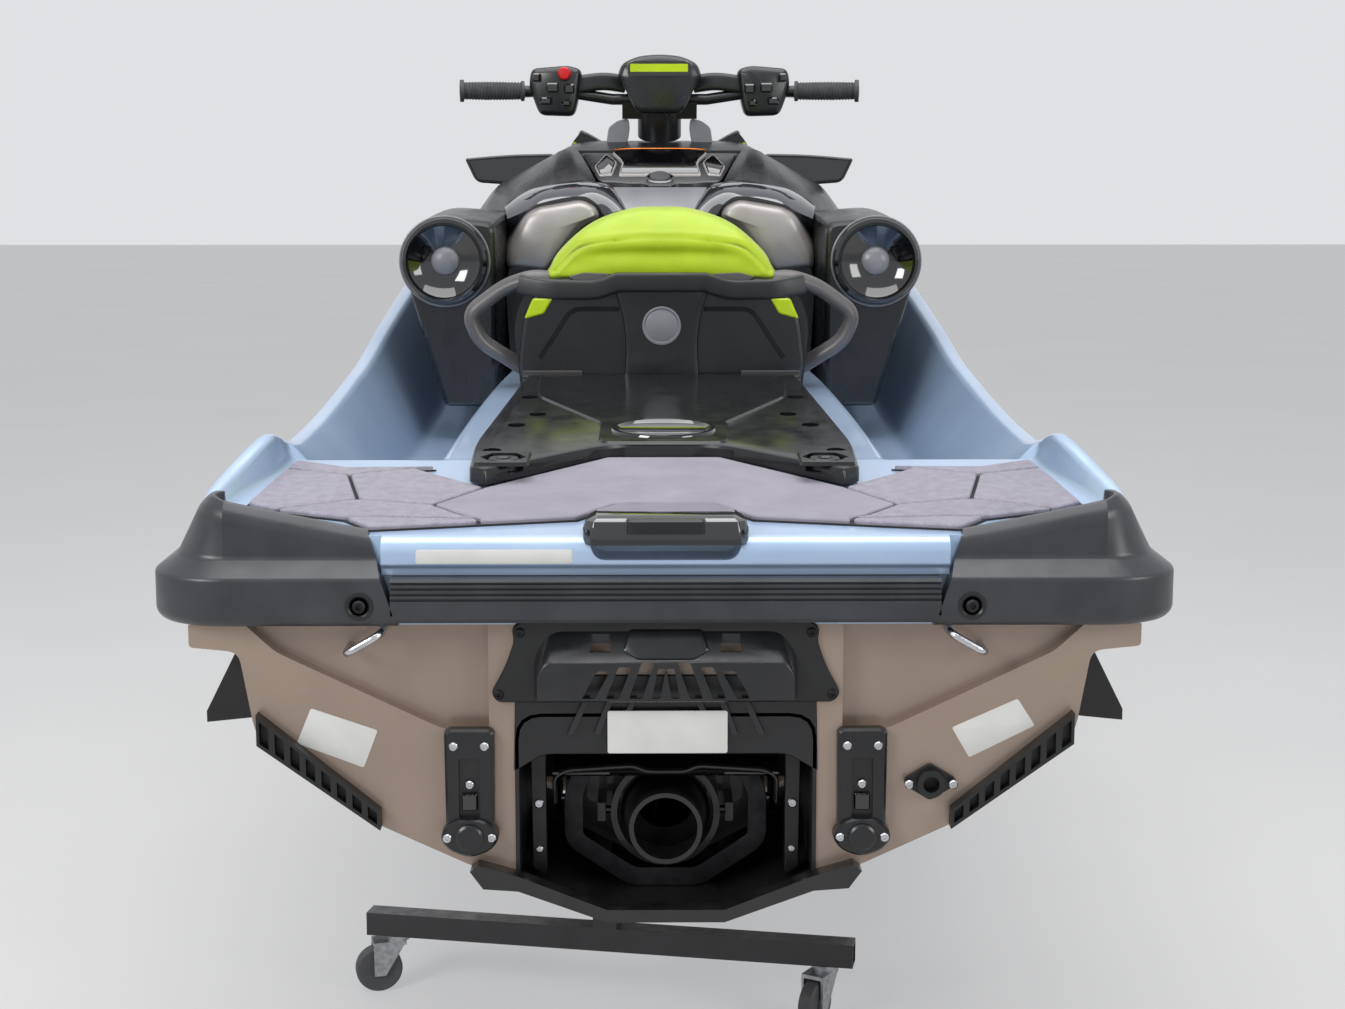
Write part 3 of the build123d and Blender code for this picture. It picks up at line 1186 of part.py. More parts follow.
def build():
    parts = {}
    envelope = hull_envelope()
    bow = bow_envelope()
    parts["hull"] = make_hull(envelope)
    deck = make_deck(bow)
    parts["deck"] = deck
    parts["rub_rail"] = make_rub_rail(envelope, bow, deck)
    corner = make_bumper_corner(envelope, deck)
    parts["bumper_corner_right"] = corner
    parts["bumper_corner_left"] = mirrored(corner)
    parts["transom_rail"] = make_transom_rail(corner, parts["bumper_corner_left"])
    parts["boarding_grip"] = make_boarding_grip(deck)
    parts["deck_mat"] = make_mat()
    parts["cargo_deck"] = make_cargo_deck()
    seat_base = make_seat_base()
    rear_seat = loft_rows(REAR_SEAT_SECTIONS) - seat_base
    front_seat = loft_rows(FRONT_SEAT_SECTIONS) - seat_base
    parts["seat_base"] = seat_base
    parts["seat_rear"] = rear_seat
    parts["seat_front"] = front_seat
    parts["grab_handles"] = make_grab_handles(seat_base, rear_seat)
    console = make_console(front_seat, deck)
    console -= seat_base
    parts["console"] = console
    parts["glovebox_lid"] = make_glovebox_lid()
    knees = make_knee_panels(console)
    parts["knee_panels"] = knees
    pod = make_speaker_pod(deck, console, knees)
    parts["speaker_pods"] = Compound(children=[pod, mirrored(pod)])
    speaker = make_speaker()
    parts["speakers"] = Compound(children=[speaker, mirrored(speaker)])
    mirror_blade = make_mirror(console)
    parts["mirrors"] = Compound(children=[mirror_blade, mirrored(mirror_blade)])
    parts["bow_hatch"] = make_bow_hatch(bow)
    handlebar = make_handlebar()
    parts["handlebar"] = handlebar
    parts["grips"] = make_grips(handlebar)
    parts["control_housings"] = make_housings(handlebar)
    parts["display_pod"] = make_display_pod(handlebar)
    sponson = make_sponson(envelope)
    parts["sponsons"] = Compound(children=[sponson, mirrored(sponson)])
    tab = make_chine_tab()
    parts["chine_tabs"] = Compound(children=[tab, mirrored(tab)])
    fitting = make_drain_fitting()
    parts["drain_fittings"] = Compound(children=[fitting, mirrored(fitting)])
    parts["flush_port"] = make_flush_port()
    parts["jet_shroud"] = make_shroud()
    parts["tow_hooks"] = Compound(children=make_tow_hooks())
    parts["bow_eye"] = make_bow_eye(envelope)
    parts["ride_plate"] = make_ride_plate()
    parts["intake_grate"] = make_intake_grate(parts["hull"])
    parts["pump_housing"] = make_pump_housing()
    parts["impeller"] = make_impeller()
    parts["trim_ring"] = make_trim_ring()
    parts["steering_nozzle"] = make_nozzle()
    parts["reverse_gate"] = make_reverse_gate()
    parts["engine"] = make_engine()
    parts["dolly_frame"] = make_dolly_frame()
    parts["dolly_bunks"] = make_bunks(envelope)
    for name, across, along, heading in CASTERS:
        place = caster_place(across, along, heading)
        parts[f"caster_fork_{name}"] = place * make_caster_fork()
        parts[f"caster_wheel_{name}"] = place * make_caster_wheel()
    return parts


os.makedirs("parts", exist_ok=True)
for node, shape in build().items():
    export_step(shape, f"parts/{node}.step")
    print(f"{node:26s} solids {len(shape.solids())}  volume {shape.volume / 1e6:8.2f} L")
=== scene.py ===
# %% [markdown]
# A personal watercraft on its shop dolly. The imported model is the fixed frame: it
# holds every real piece at its real place. This script dresses it: smooth painted
# skins, padded seat, foam mats, moulded plastics and metal, a floor, lamps, a camera.
# Lengths are in millimetres, as in the frame's own source, and turned to metres when
# a mesh is made. x points to starboard, y to the bow and z up.
# %% Load the frame
import math

import bmesh
import bpy
import numpy as np
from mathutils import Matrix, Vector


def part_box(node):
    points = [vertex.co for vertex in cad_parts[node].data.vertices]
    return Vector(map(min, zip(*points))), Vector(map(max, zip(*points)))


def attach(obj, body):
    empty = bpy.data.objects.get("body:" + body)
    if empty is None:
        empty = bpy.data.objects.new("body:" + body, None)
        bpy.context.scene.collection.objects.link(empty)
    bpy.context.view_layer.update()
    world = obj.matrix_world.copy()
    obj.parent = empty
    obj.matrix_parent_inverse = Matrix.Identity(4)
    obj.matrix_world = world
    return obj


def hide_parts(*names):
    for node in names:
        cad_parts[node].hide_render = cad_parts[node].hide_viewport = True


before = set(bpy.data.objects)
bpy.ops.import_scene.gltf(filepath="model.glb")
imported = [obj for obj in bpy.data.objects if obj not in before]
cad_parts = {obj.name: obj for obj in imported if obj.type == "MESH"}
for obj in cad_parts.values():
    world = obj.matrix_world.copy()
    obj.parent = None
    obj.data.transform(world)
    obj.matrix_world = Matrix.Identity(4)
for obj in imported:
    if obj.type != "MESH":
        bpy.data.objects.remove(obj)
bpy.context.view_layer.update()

MM = 0.001
CRAFT = "craft"

# %% [markdown]
# The photograph was taken from behind, a little above the handlebar, looking down
# nine degrees. The lens follows from the image: its focal length is 2200 pixels on
# a frame 1345 pixels wide, and a Blender sensor is 36 mm wide.
# %% Camera
IMAGE_WIDTH_PX = 1345
FOCAL_PX = 2200
SENSOR_MM = 36.0
CAMERA_PLACE = (-0.017, -4.305, 1.357)  # in metres, as Blender's cameras and lamps are
CAMERA_PITCH_DEG = 9.0
CAMERA_YAW_DEG = 0.55


def place_camera():
    """A camera that looks along y, turned down by its pitch and right by its yaw."""
    data = bpy.data.cameras.new("photo_camera")
    data.sensor_width = SENSOR_MM
    data.lens = SENSOR_MM * FOCAL_PX / IMAGE_WIDTH_PX
    camera = bpy.data.objects.new("photo_camera", data)
    camera.location = CAMERA_PLACE
    pitch, yaw = math.radians(90 - CAMERA_PITCH_DEG), math.radians(-CAMERA_YAW_DEG)
    camera.rotation_euler = (pitch, 0, yaw)
    bpy.context.scene.collection.objects.link(camera)
    bpy.context.scene.camera = camera
    return camera


camera = place_camera()
print("lens", round(camera.data.lens, 2), "mm")

# %% [markdown]
# Colours are sRGB hex values, as a paint shop reads them off a screen, turned to the
# linear values that shaders work in. One small function adds a node with its values
# and links, so that a finish reads as a short recipe.
# %% Colours and nodes


def linear(hex_colour):
    """Linear RGBA of an sRGB hex colour.

    Each channel c is c / 12.92 below 0.04045, and above it
    ((c + 0.055) / 1.055) to the power 2.4.
    """
    raw = np.array([int(hex_colour[i : i + 2], 16) for i in (1, 3, 5)]) / 255
    value = np.where(raw <= 0.04045, raw / 12.92, ((raw + 0.055) / 1.055) ** 2.4)
    return (*value.tolist(), 1.0)


def add(tree, kind, values=None, links=None, **settings):
    """A new shader node: its settings, its socket values and its links."""
    node = tree.nodes.new("ShaderNode" + kind)
    for key, value in settings.items():
        setattr(node, key, value)
    for key, value in (values or {}).items():
        node.inputs[key].default_value = value
    for key, (source, output) in (links or {}).items():
        tree.links.new(source.outputs[output], node.inputs[key])
    return node


def start_material(name, roughness, metallic=0.0, **sockets):
    """A material, its tree, its shader and the link that feeds Object coordinates."""
    material = bpy.data.materials.new(name)
    material.use_nodes = True
    tree = material.node_tree
    shader = tree.nodes["Principled BSDF"]
    shader.inputs["Roughness"].default_value = roughness
    shader.inputs["Metallic"].default_value = metallic
    for key, value in sockets.items():
        shader.inputs[key.replace("_", " ")].default_value = value
    return material, tree, shader, {"Vector": (add(tree, "TexCoord"), "Object")}


print("mid grey in linear values", [round(channel, 3) for channel in linear("#808080")])


# %% [markdown]
# No real surface has one flat colour or one gloss. Three layers give every finish its
# life: a colour that drifts, a roughness that drifts, and a fine relief. The scale of
# each comes from a real size, because one over that size is the pattern's scale.
# %% What every finish shares
MIDDLE_NOISE = (0.3, 0.7)  # nearly all of a noise pattern's values lie between these
GRAIN_STRENGTH = 0.6


def mottle(tree, shader, where, size_mm, dark, light):
    """Colour that drifts between two close shades over a real distance."""
    noise = add(tree, "TexNoise", {"Scale": 1 / (size_mm * MM), "Detail": 5.0}, where)
    ramp = add(tree, "ValToRGB", links={"Fac": (noise, "Fac")})
    for element, place, colour in zip(ramp.color_ramp.elements, MIDDLE_NOISE, (dark, light)):
        element.position = place
        element.color = linear(colour)
    tree.links.new(ramp.outputs["Color"], shader.inputs["Base Color"])
    return ramp


def roughen(tree, shader, where, size_mm, low, high):
    """Roughness that drifts between two values, as handled or moulded surfaces do."""
    noise = add(tree, "TexNoise", {"Scale": 1 / (size_mm * MM), "Detail": 4.0}, where)
    start, end = MIDDLE_NOISE
    limits = {"From Min": start, "From Max": end, "To Min": low, "To Max": high}
    spread = add(tree, "MapRange", limits, {"Value": (noise, "Fac")})
    tree.links.new(spread.outputs["Result"], shader.inputs["Roughness"])


def grain(tree, shader, where, size_mm, depth_mm, cells=False):
    """Fine relief: noise for a moulded grain, cells for leather or a carpet's tufts."""
    kind, height = ("TexVoronoi", "Distance") if cells else ("TexNoise", "Fac")
    texture = add(tree, kind, {"Scale": 1 / (size_mm * MM)}, where)
    relief = {"Strength": GRAIN_STRENGTH, "Distance": depth_mm * MM}
    bump = add(tree, "Bump", relief, {"Height": (texture, height)})
    tree.links.new(bump.outputs["Normal"], shader.inputs["Normal"])


print("a pattern of 60 mm has the scale", round(1 / (60 * MM), 1))


# %% [markdown]
# Metallic gelcoat is coloured resin with fine flake under a clear layer. The flake
# shows as a sparkle in the roughness, and the clear layer as a coat with a faint
# ripple. A plain metal would lose its colour at grazing angles.
# %% Painted hull and deck
FLAKE_MM = 1.6  # real flake is a tenth of this: it is drawn coarser, or it wouldn't show
FLAKE_ROUGHNESS = (0.30, 0.46)
PEEL_MM, PEEL_DEPTH_MM, PEEL_STRENGTH = 22, 0.4, 0.15


def metallic_gelcoat(name, dark, light):
    """Sprayed gelcoat: soft metallic body under a clear, glossy coat."""
    material, tree, shader, where = start_material(
        name, 0.38, metallic=0.45, Coat_Weight=0.7, Coat_Roughness=0.08
    )
    mottle(tree, shader, where, 180, dark, light)
    flake = add(tree, "TexVoronoi", {"Scale": 1 / (FLAKE_MM * MM)}, where)
    low, high = FLAKE_ROUGHNESS
    limits = {"To Min": low, "To Max": high}
    spread = add(tree, "MapRange", limits, {"Value": (flake, "Color")})
    tree.links.new(spread.outputs["Result"], shader.inputs["Roughness"])
    peel = add(tree, "TexNoise", {"Scale": 1 / (PEEL_MM * MM)}, where)
    relief = {"Strength": PEEL_STRENGTH, "Distance": PEEL_DEPTH_MM * MM}
    bump = add(tree, "Bump", relief, {"Height": (peel, "Fac")})
    tree.links.new(bump.outputs["Normal"], shader.inputs["Coat Normal"])
    return material


# The topsides are a warm taupe, and the deck a pale blue that takes the light well
hull_paint = metallic_gelcoat("metallic_gelcoat_taupe", "#8f7d70", "#9c8a7c")
deck_paint = metallic_gelcoat("metallic_gelcoat_ice_blue", "#a3bad8", "#b1c7e2")
print("paints", hull_paint.name, deck_paint.name)

# %% [markdown]
# Moulded plastic copies its steel mould, which is etched where the part should look
# dull and polished where it should shine. So one recipe serves most of the trim: two
# close shades, a range of roughness, a grain and its depth.
# %% Moulded plastics


def moulded_plastic(name, dark, light, low, high, grain_mm=1.0, depth_mm=0.05):
    """Injection-moulded plastic: even colour, fine spark-eroded grain."""
    material, tree, shader, where = start_material(name, high)
    mottle(tree, shader, where, 60, dark, light)
    roughen(tree, shader, where, 35, low, high)
    grain(tree, shader, where, grain_mm, depth_mm)
    return material


def gloss_plastic(name, dark, light):
    """Piano-gloss moulding: almost a mirror, with faint sink waves 40 mm apart."""
    material, tree, shader, where = start_material(
        name, 0.06, Coat_Weight=1.0, Coat_Roughness=0.03
    )
    mottle(tree, shader, where, 90, dark, light)
    roughen(tree, shader, where, 60, 0.05, 0.12)
    grain(tree, shader, where, 40, 0.15)
    return material


# Soft bumper plastic: charcoal, with a broad grey highlight along its edges
bumper_plastic = moulded_plastic("moulded_tpo_charcoal", "#2b2c30", "#37383d", 0.28, 0.40)
# Cheap structural plastic inside the jet's opening: black and dull, so it recedes
black_plastic = moulded_plastic("moulded_pp_black", "#0e0f10", "#151617", 0.34, 0.5)
# Satin trim: the light slides over it without a mirror image
satin_black = moulded_plastic("moulded_abs_satin_black", "#121315", "#191a1c", 0.24, 0.34)
satin_dark = moulded_plastic("moulded_abs_dark_grey", "#191a1d", "#222326", 0.22, 0.32)
satin_grey = moulded_plastic("moulded_abs_silver_grey", "#6e6f74", "#7c7d82", 0.28, 0.4)
warm_grey = moulded_plastic("moulded_abs_warm_grey", "#504d4d", "#5c5959", 0.30, 0.42)
# The cargo deck's mould is polished, so its corners carry sharp, bright lines
cargo_plastic = moulded_plastic(
    "moulded_pp_polished", "#121315", "#1a1b1d", 0.14, 0.26, 2.0, 0.04
)
# Signal colours, even and saturated
lime_plastic = moulded_plastic("moulded_abs_lime", "#a0ba06", "#aec80c", 0.30, 0.42)
red_plastic = moulded_plastic("moulded_abs_red", "#b80f12", "#d4191a", 0.28, 0.38)
# Mirror-like trim: it shows the lamps as clear shapes
gloss_black = gloss_plastic("gloss_acrylic_black", "#060607", "#0b0b0d")
gloss_graphite = gloss_plastic("gloss_lacquer_graphite", "#23262e", "#2c2f38")
smoke_plastic = gloss_plastic("smoked_polycarbonate", "#101114", "#1a1b1f")
# Printed film, here blank: pale and even
label_film = moulded_plastic("polyester_label_film", "#c9c9c6", "#d6d6d3", 0.3, 0.4, 3.0, 0.02)
# Rubber and tread: rough enough to have no highlight of their own
grip_rubber = moulded_plastic("moulded_grip_rubber", "#2a2b2e", "#36373b", 0.55, 0.7)
tyre_rubber = moulded_plastic("polyurethane_tread", "#3a3b3d", "#4b4c4e", 0.5, 0.7)
print("materials", len(bpy.data.materials))

# %% [markdown]
# The knee panels are satin lacquer with a fine flake, so they read as light grey
# with a soft, broad highlight rather than as a mirror.
# %% Satin lacquer


def satin_silver():
    """Sprayed satin lacquer on a moulded panel, with a grain of 1.2 mm."""
    material, tree, shader, where = start_material(
        "satin_lacquer_silver", 0.4, metallic=0.35, Coat_Weight=0.2, Coat_Roughness=0.3
    )
    mottle(tree, shader, where, 120, "#97928f", "#a6a19f")
    roughen(tree, shader, where, 25, 0.32, 0.42)
    grain(tree, shader, where, 1.2, 0.06)
    return material


silver_lacquer = satin_silver()
print("lacquer", silver_lacquer.name)

# %% [markdown]
# The deck is covered with EVA foam, pressed with small diamonds for grip. Modelled,
# they would cost a hundred thousand faces. As relief in the material they cost none.
# %% Deck foam
DIAMOND_MM = 7  # the real pitch is 5 mm: it is drawn coarser, or it would blur
DIAMOND_DEPTH_MM, DIAMOND_STRENGTH = 1.2, 0.8
WAVE_PERIOD = 0.314  # a wave texture of scale 1 repeats every pi / 10


def embossed_foam(name, dark, light):
    """Closed-cell EVA deck foam with a pressed diamond texture.

    Two triangle waves cross at right angles on a map turned 45 degrees, and the
    smaller of the two gives the ridges of the diamonds.
    """
    material, tree, shader, where = start_material(name, 0.85)
    shader.inputs["Specular IOR Level"].default_value = 0.25
    mottle(tree, shader, where, 14, dark, light)
    turned = add(tree, "Mapping", {"Rotation": (0, 0, math.radians(45))}, where)
    ridge = add(tree, "Math", operation="MINIMUM")
    scale = {"Scale": WAVE_PERIOD / (DIAMOND_MM * MM)}
    on_turned = {"Vector": (turned, "Vector")}
    for index, direction in enumerate(("X", "Y")):
        wave = add(
            tree, "TexWave", scale, on_turned, bands_direction=direction, wave_profile="TRI"
        )
        tree.links.new(wave.outputs["Fac"], ridge.inputs[index])
    relief = {"Strength": DIAMOND_STRENGTH, "Distance": DIAMOND_DEPTH_MM * MM}
    bump = add(tree, "Bump", relief, {"Height": (ridge, "Value")})
    tree.links.new(bump.outputs["Normal"], shader.inputs["Normal"])
    return material


mat_foam = embossed_foam("eva_foam_diamond", "#8d8994", "#9b97a2")
# Brushed foam has no diamonds, only the torn cells of its face
mat_smooth = moulded_plastic("eva_foam_brushed", "#85818c", "#918d98", 0.75, 0.9, 3.0, 0.3)
# The grooves are cut through the grey face into a dark core
mat_edge = moulded_plastic("eva_foam_dark_core", "#1b1b1e", "#242428", 0.8, 0.9)
print("foams", mat_foam.name, mat_smooth.name, mat_edge.name)

# %% [markdown]
# The seats are cloth coated with soft plastic and rolled with a leather grain. The
# bottom of a welded seam gets painted shade. An attribute of the mesh says where it is.
# %% Marine vinyl
LEATHER_MM, LEATHER_DEPTH_MM = 2.4, 0.25
# A near-black olive, painted as shade at the bottom of a welded seam
SEAM_SHADE_COLOUR = "#1c1f0a"


def marine_vinyl(name, dark, light, low, high):
    """Coated fabric with an embossed leather grain about 2 mm across.

    The mesh's "seam" attribute, 1 along a welded seam, paints shade into the colour there.
    """
    material, tree, shader, where = start_material(name, high, Sheen_Weight=0.1)
    ramp = mottle(tree, shader, where, 70, dark, light)
    seam = add(tree, "Attribute", attribute_name="seam")
    # Sockets 6 and 7 are a colour Mix node's two colours, and output 2 is its result
    links = {"Factor": (seam, "Fac"), 6: (ramp, "Color")}
    # Painted shade: the vinyl's colour is mixed towards the near-black along the seam's bottom
    darker = add(tree, "Mix", None, links, data_type="RGBA")
    darker.inputs[7].default_value = linear(SEAM_SHADE_COLOUR)
    tree.links.new(darker.outputs[2], shader.inputs["Base Color"])
    roughen(tree, shader, where, 30, low, high)
    grain(tree, shader, where, LEATHER_MM, LEATHER_DEPTH_MM, cells=True)
    return material


seat_lime = marine_vinyl("marine_vinyl_lime", "#98b204", "#a6c00a", 0.38, 0.5)
seat_black = marine_vinyl("marine_vinyl_black", "#17181b", "#202125", 0.34, 0.46)
print("vinyls", seat_lime.name, seat_black.name)

# %% [markdown]
# Metals: stainless rod is polished and drawn, zinc plate on the casters is duller
# with a blotchy grain, and the pump is dark cast alloy or black enamel. The dolly is
# brushed with a roller in black enamel, and its bunks are covered with marine carpet.
# %% Metals, enamel and carpet


def bare_metal(name, dark, light, low, high, blotch_mm=20):
    """Uncoated metal: fully metallic, its shades and polish in blotches."""
    material, tree, shader, where = start_material(name, high, metallic=1.0)
    mottle(tree, shader, where, blotch_mm, dark, light)
    roughen(tree, shader, where, 12, low, high)
    grain(tree, shader, where, 1.5, 0.05)
    return material


def enamel(name, dark, light):
    """Black enamel: a dull body, a thin coat and the dimples of a roller, 3 mm apart."""
    material, tree, shader, where = start_material(name, 0.35, Coat_Weight=0.3)
    mottle(tree, shader, where, 45, dark, light)
    roughen(tree, shader, where, 18, 0.28, 0.5)
    grain(tree, shader, where, 3.0, 0.15)
    return material


def carpet():
    """Needled carpet: tufts 3 mm across and 2 mm deep that catch light at their tips."""
    material, tree, shader, where = start_material("marine_carpet", 0.95, Sheen_Weight=0.4)
    mottle(tree, shader, where, 5, "#131315", "#232327")
    grain(tree, shader, where, 3.0, 2.0, cells=True)
    return material


# Bright, clear reflections
stainless = bare_metal("polished_stainless", "#b9b9bc", "#cfcfd2", 0.16, 0.28)
# One thin warm line on the lid
copper = bare_metal("copper_foil", "#b5632c", "#cf7a3e", 0.2, 0.3)
# Milky grey with spangles 8 mm across
zinc = bare_metal("zinc_plate", "#8f9093", "#b2b3b6", 0.34, 0.5, 8)
# Sand-cast: dark, with a broken highlight
dark_alloy = bare_metal("cast_alloy_dark", "#2c2c2e", "#3a3a3c", 0.42, 0.6)
# Baked on the pump's castings, so that they stay in the shade of their opening
pump_black = enamel("baked_enamel_pump_black", "#0c0c0d", "#161617")
dolly_enamel = enamel("rolled_enamel_black", "#101113", "#1c1d20")
bunk_carpet = carpet()
print("materials", len(bpy.data.materials))

# %% [markdown]
# Most of this craft is moulded skin, and a moulded skin is a section carried along
# the hull. It could be sculpted or lofted from curves. A table is easier to read and
# to change: it gives the corners of the section at a few stations, and between the
# stations the corners follow smooth curves, all worked out as arrays.
# %% Sections from a table


def smooth_rows(table, ys):
    """The columns of a table at new ys, on monotone cubic curves through its rows.

    The tangent at a row is the harmonic mean of the slopes on its two sides, or zero
    where they differ in sign, and a cubic Hermite curve joins the rows.
    """
    rows = np.asarray(table, float)
    x, v = rows[:, 0], rows[:, 1:]
    slope = np.diff(v, axis=0) / np.diff(x)[:, None]
    tangent = np.zeros_like(v)
    tangent[0], tangent[-1] = slope[0], slope[-1]
    before, after = slope[:-1], slope[1:]
    same = before * after > 0
    total = np.where(same, before + after, 1.0)
    tangent[1:-1] = np.where(same, 2 * before * after / total, 0.0)
    ys = np.clip(np.asarray(ys, float), x[0], x[-1])
    low = np.clip(np.searchsorted(x, ys, side="right") - 1, 0, len(x) - 2)
    span = (x[low + 1] - x[low])[:, None]
    t = (ys - x[low])[:, None] / span
    ease = t * t * (3 - 2 * t)
    return (
        (1 - ease) * v[low]
        + ease * v[low + 1]
        + span * t * (1 - t) ** 2 * tangent[low]
        - span * t * t * (1 - t) * tangent[low + 1]
    )


def rings_at(ys, outline):
    """Outlines (rows, points, 2) of x and z set at their ys."""
    y = np.broadcast_to(np.asarray(ys, float)[:, None], outline.shape[:2])
    return np.stack([outline[..., 0], y, outline[..., 1]], axis=-1)


print("halfway between 0 and 1 a smooth row is", smooth_rows([(0, 0), (1, 1)], [0.5])[0])

# %% [markdown]
# A mould has no sharp corner, because the plastic or the resin wouldn't fill it. So
# every corner of an outline is rounded, and an edge that is rolled over is the same
# outline drawn in by a distance and rounded again.
# %% Rounded outlines
EDGE_SHARE = 0.45  # of its shorter edge is the most that a rounded corner takes
NARROWEST_SHARE = 0.3  # keeps the corner of a very acute point from running away


def rounded(corners, radii, steps=4):
    """Closed outlines with their corners rounded.

    corners is (rows, corners, 2). Each corner turns into a quadratic Bezier curve
    that leaves its first edge and meets its second one radius from the corner, or
    45% along the shorter edge if that is less.
    """
    before = np.roll(corners, 1, axis=1) - corners
    after = np.roll(corners, -1, axis=1) - corners
    before_length = np.linalg.norm(before, axis=-1, keepdims=True) + 1e-9
    after_length = np.linalg.norm(after, axis=-1, keepdims=True) + 1e-9
    limit = EDGE_SHARE * np.minimum(before_length, after_length)
    reach = np.minimum(np.asarray(radii, float)[None, :, None], limit)
    start = (corners + before / before_length * reach)[:, :, None]
    end = (corners + after / after_length * reach)[:, :, None]
    t = np.linspace(0, 1, steps + 1)[None, None, :, None]
    curve = (1 - t) ** 2 * start + 2 * t * (1 - t) * corners[:, :, None] + t**2 * end
    return curve.reshape(len(corners), -1, 2)


def round_one(corners, radii=6.0, steps=4):
    """One closed outline with its corners rounded, by one radius or one each."""
    corners = np.asarray(corners, float)
    return rounded(corners[None], np.broadcast_to(radii, len(corners)), steps)[0]


def inset(corners, distance):
    """A closed outline drawn in by a distance.

    A corner moves along the sum of its two edges' inward normals, by the distance
    over one plus the cosine between the normals.
    """
    corners = np.asarray(corners, float)
    following = np.roll(corners, -1, axis=0)
    ahead = following - corners
    ahead /= np.linalg.norm(ahead, axis=1, keepdims=True) + 1e-9
    area = np.sum(corners[:, 0] * following[:, 1] - following[:, 0] * corners[:, 1])
    normal = np.column_stack([-ahead[:, 1], ahead[:, 0]]) * np.sign(area)
    behind = np.roll(normal, 1, axis=0)
    share = 1 + np.sum(normal * behind, axis=1, keepdims=True)
    return corners + distance * (normal + behind) / np.maximum(share, NARROWEST_SHARE)


def drawn(corners, radii, distance):
    """A closed outline drawn in by a distance and then rounded, so it can't fold."""
    radii = np.broadcast_to(radii, len(corners)) - distance
    return round_one(inset(corners, distance), np.maximum(radii, 0.5))


def circle(radius, sides=20):
    """A circle's points, from the positive first axis."""
    angle = np.linspace(0, 2 * np.pi, sides, endpoint=False)
    return radius * np.column_stack([np.cos(angle), np.sin(angle)])


print("a rounded square has", len(round_one([(0, 0), (9, 0), (9, 9), (0, 9)], 2)), "points")

# %% [markdown]
# The craft is the same to port and starboard, so only its right half is written down.
# An outline across the centre line is completed by its mirror image, and a piece that
# stands at one side gets a twin.
# %% Both sides


def two_sided(half):
    """A closed outline from its right half: corners at x = 0 aren't repeated."""
    keep = [i for i in range(half.shape[1]) if abs(half[0, i, 0]) > 1e-6]
    left = half[:, keep[::-1]] * np.array([-1.0, 1.0])
    return np.concatenate([half, left], axis=1)


def both_radii(radii, has_centre=False):
    """The radii of a whole outline from those of its right half."""
    inner = radii[1:] if has_centre else radii
    return list(radii) + list(inner[::-1])


def both_sides(half):
    """A whole outline from its right half, foot to top, as (x, z) or (x, y) pairs."""
    half = np.asarray(half, float)
    return np.concatenate([half, half[::-1] * np.array([-1.0, 1.0])])


def mirror_part(part):
    """The port twin of a part: its points with x negated, and the same faces."""
    points, faces = part
    return np.asarray(points) * np.array([-1.0, 1.0, 1.0]), faces


def pair(*parts):
    """Parts and their twins on the port side."""
    return [*parts, *map(mirror_part, parts)]


print("a half outline of 3 corners gives", len(both_sides([(1, 0), (2, 1), (1, 2)])))

# %% [markdown]
# Rings of points are joined by quads and capped, so each part is a closed shell.
# There are five ways to carry a profile: across the craft, along it, upwards in
# layers, along a bent path and round an axis. They make nearly everything here.
# %% Carried profiles


def skin(rings):
    """Points and faces of rings (rows, points, 3) joined in order, ends capped."""
    rows, columns = rings.shape[:2]
    row, column = np.meshgrid(np.arange(rows - 1), np.arange(columns), indexing="ij")
    near, far, after = row * columns, (row + 1) * columns, (column + 1) % columns
    quads = np.stack([near + column, near + after, far + after, far + column], axis=-1)
    faces = quads.reshape(-1, 4).tolist()
    faces.append(list(range(columns))[::-1])
    faces.append(list(range((rows - 1) * columns, rows * columns)))
    return rings.reshape(-1, 3), faces


def across(outline, y0, y1):
    """An x-z outline carried straight from one y to another."""
    outline = np.asarray(outline, float)
    return skin(rings_at([y0, y1], np.stack([outline, outline])))


def lengthwise(outline, x0, x1):
    """A y-z outline carried straight from one x to another."""
    outline = np.asarray(outline, float)
    x = np.array([[x0], [x1]]) * np.ones(len(outline))
    y, z = (np.broadcast_to(outline[:, i], x.shape) for i in (0, 1))
    return skin(np.stack([x, y, z], axis=-1))


def stacked(*layers):
    """A body of x-y outlines, each with its own heights, joined bottom to top."""
    rings = [np.column_stack([o, np.broadcast_to(z, len(o))]) for o, z in layers]
    return skin(np.stack(rings))


def box_part(low, high):
    """A box as a skin of two rings."""
    (x0, y0, z0), (x1, y1, z1) = low, high
    return across([[x0, z0], [x1, z0], [x1, z1], [x0, z1]], y0, y1)


def bent(points, radii, steps=6):
    """An open path whose inner corners are turned to quadratic curves."""
    points = np.asarray(points, float)
    middle = points[1:-1]
    before, after = points[:-2] - middle, points[2:] - middle
    lengths = [np.linalg.norm(v, axis=1, keepdims=True) for v in (before, after)]
    reach = np.broadcast_to(radii, len(middle)).reshape(-1, 1)
    reach = np.minimum(reach, EDGE_SHARE * np.minimum(*lengths))
    start = (middle + before / lengths[0] * reach)[:, None]
    end = (middle + after / lengths[1] * reach)[:, None]
    t = np.linspace(0, 1, steps + 1)[None, :, None]
    curve = (1 - t) ** 2 * start + 2 * t * (1 - t) * middle[:, None] + t**2 * end
    return np.concatenate([points[:1], curve.reshape(-1, points.shape[1]), points[-1:]])


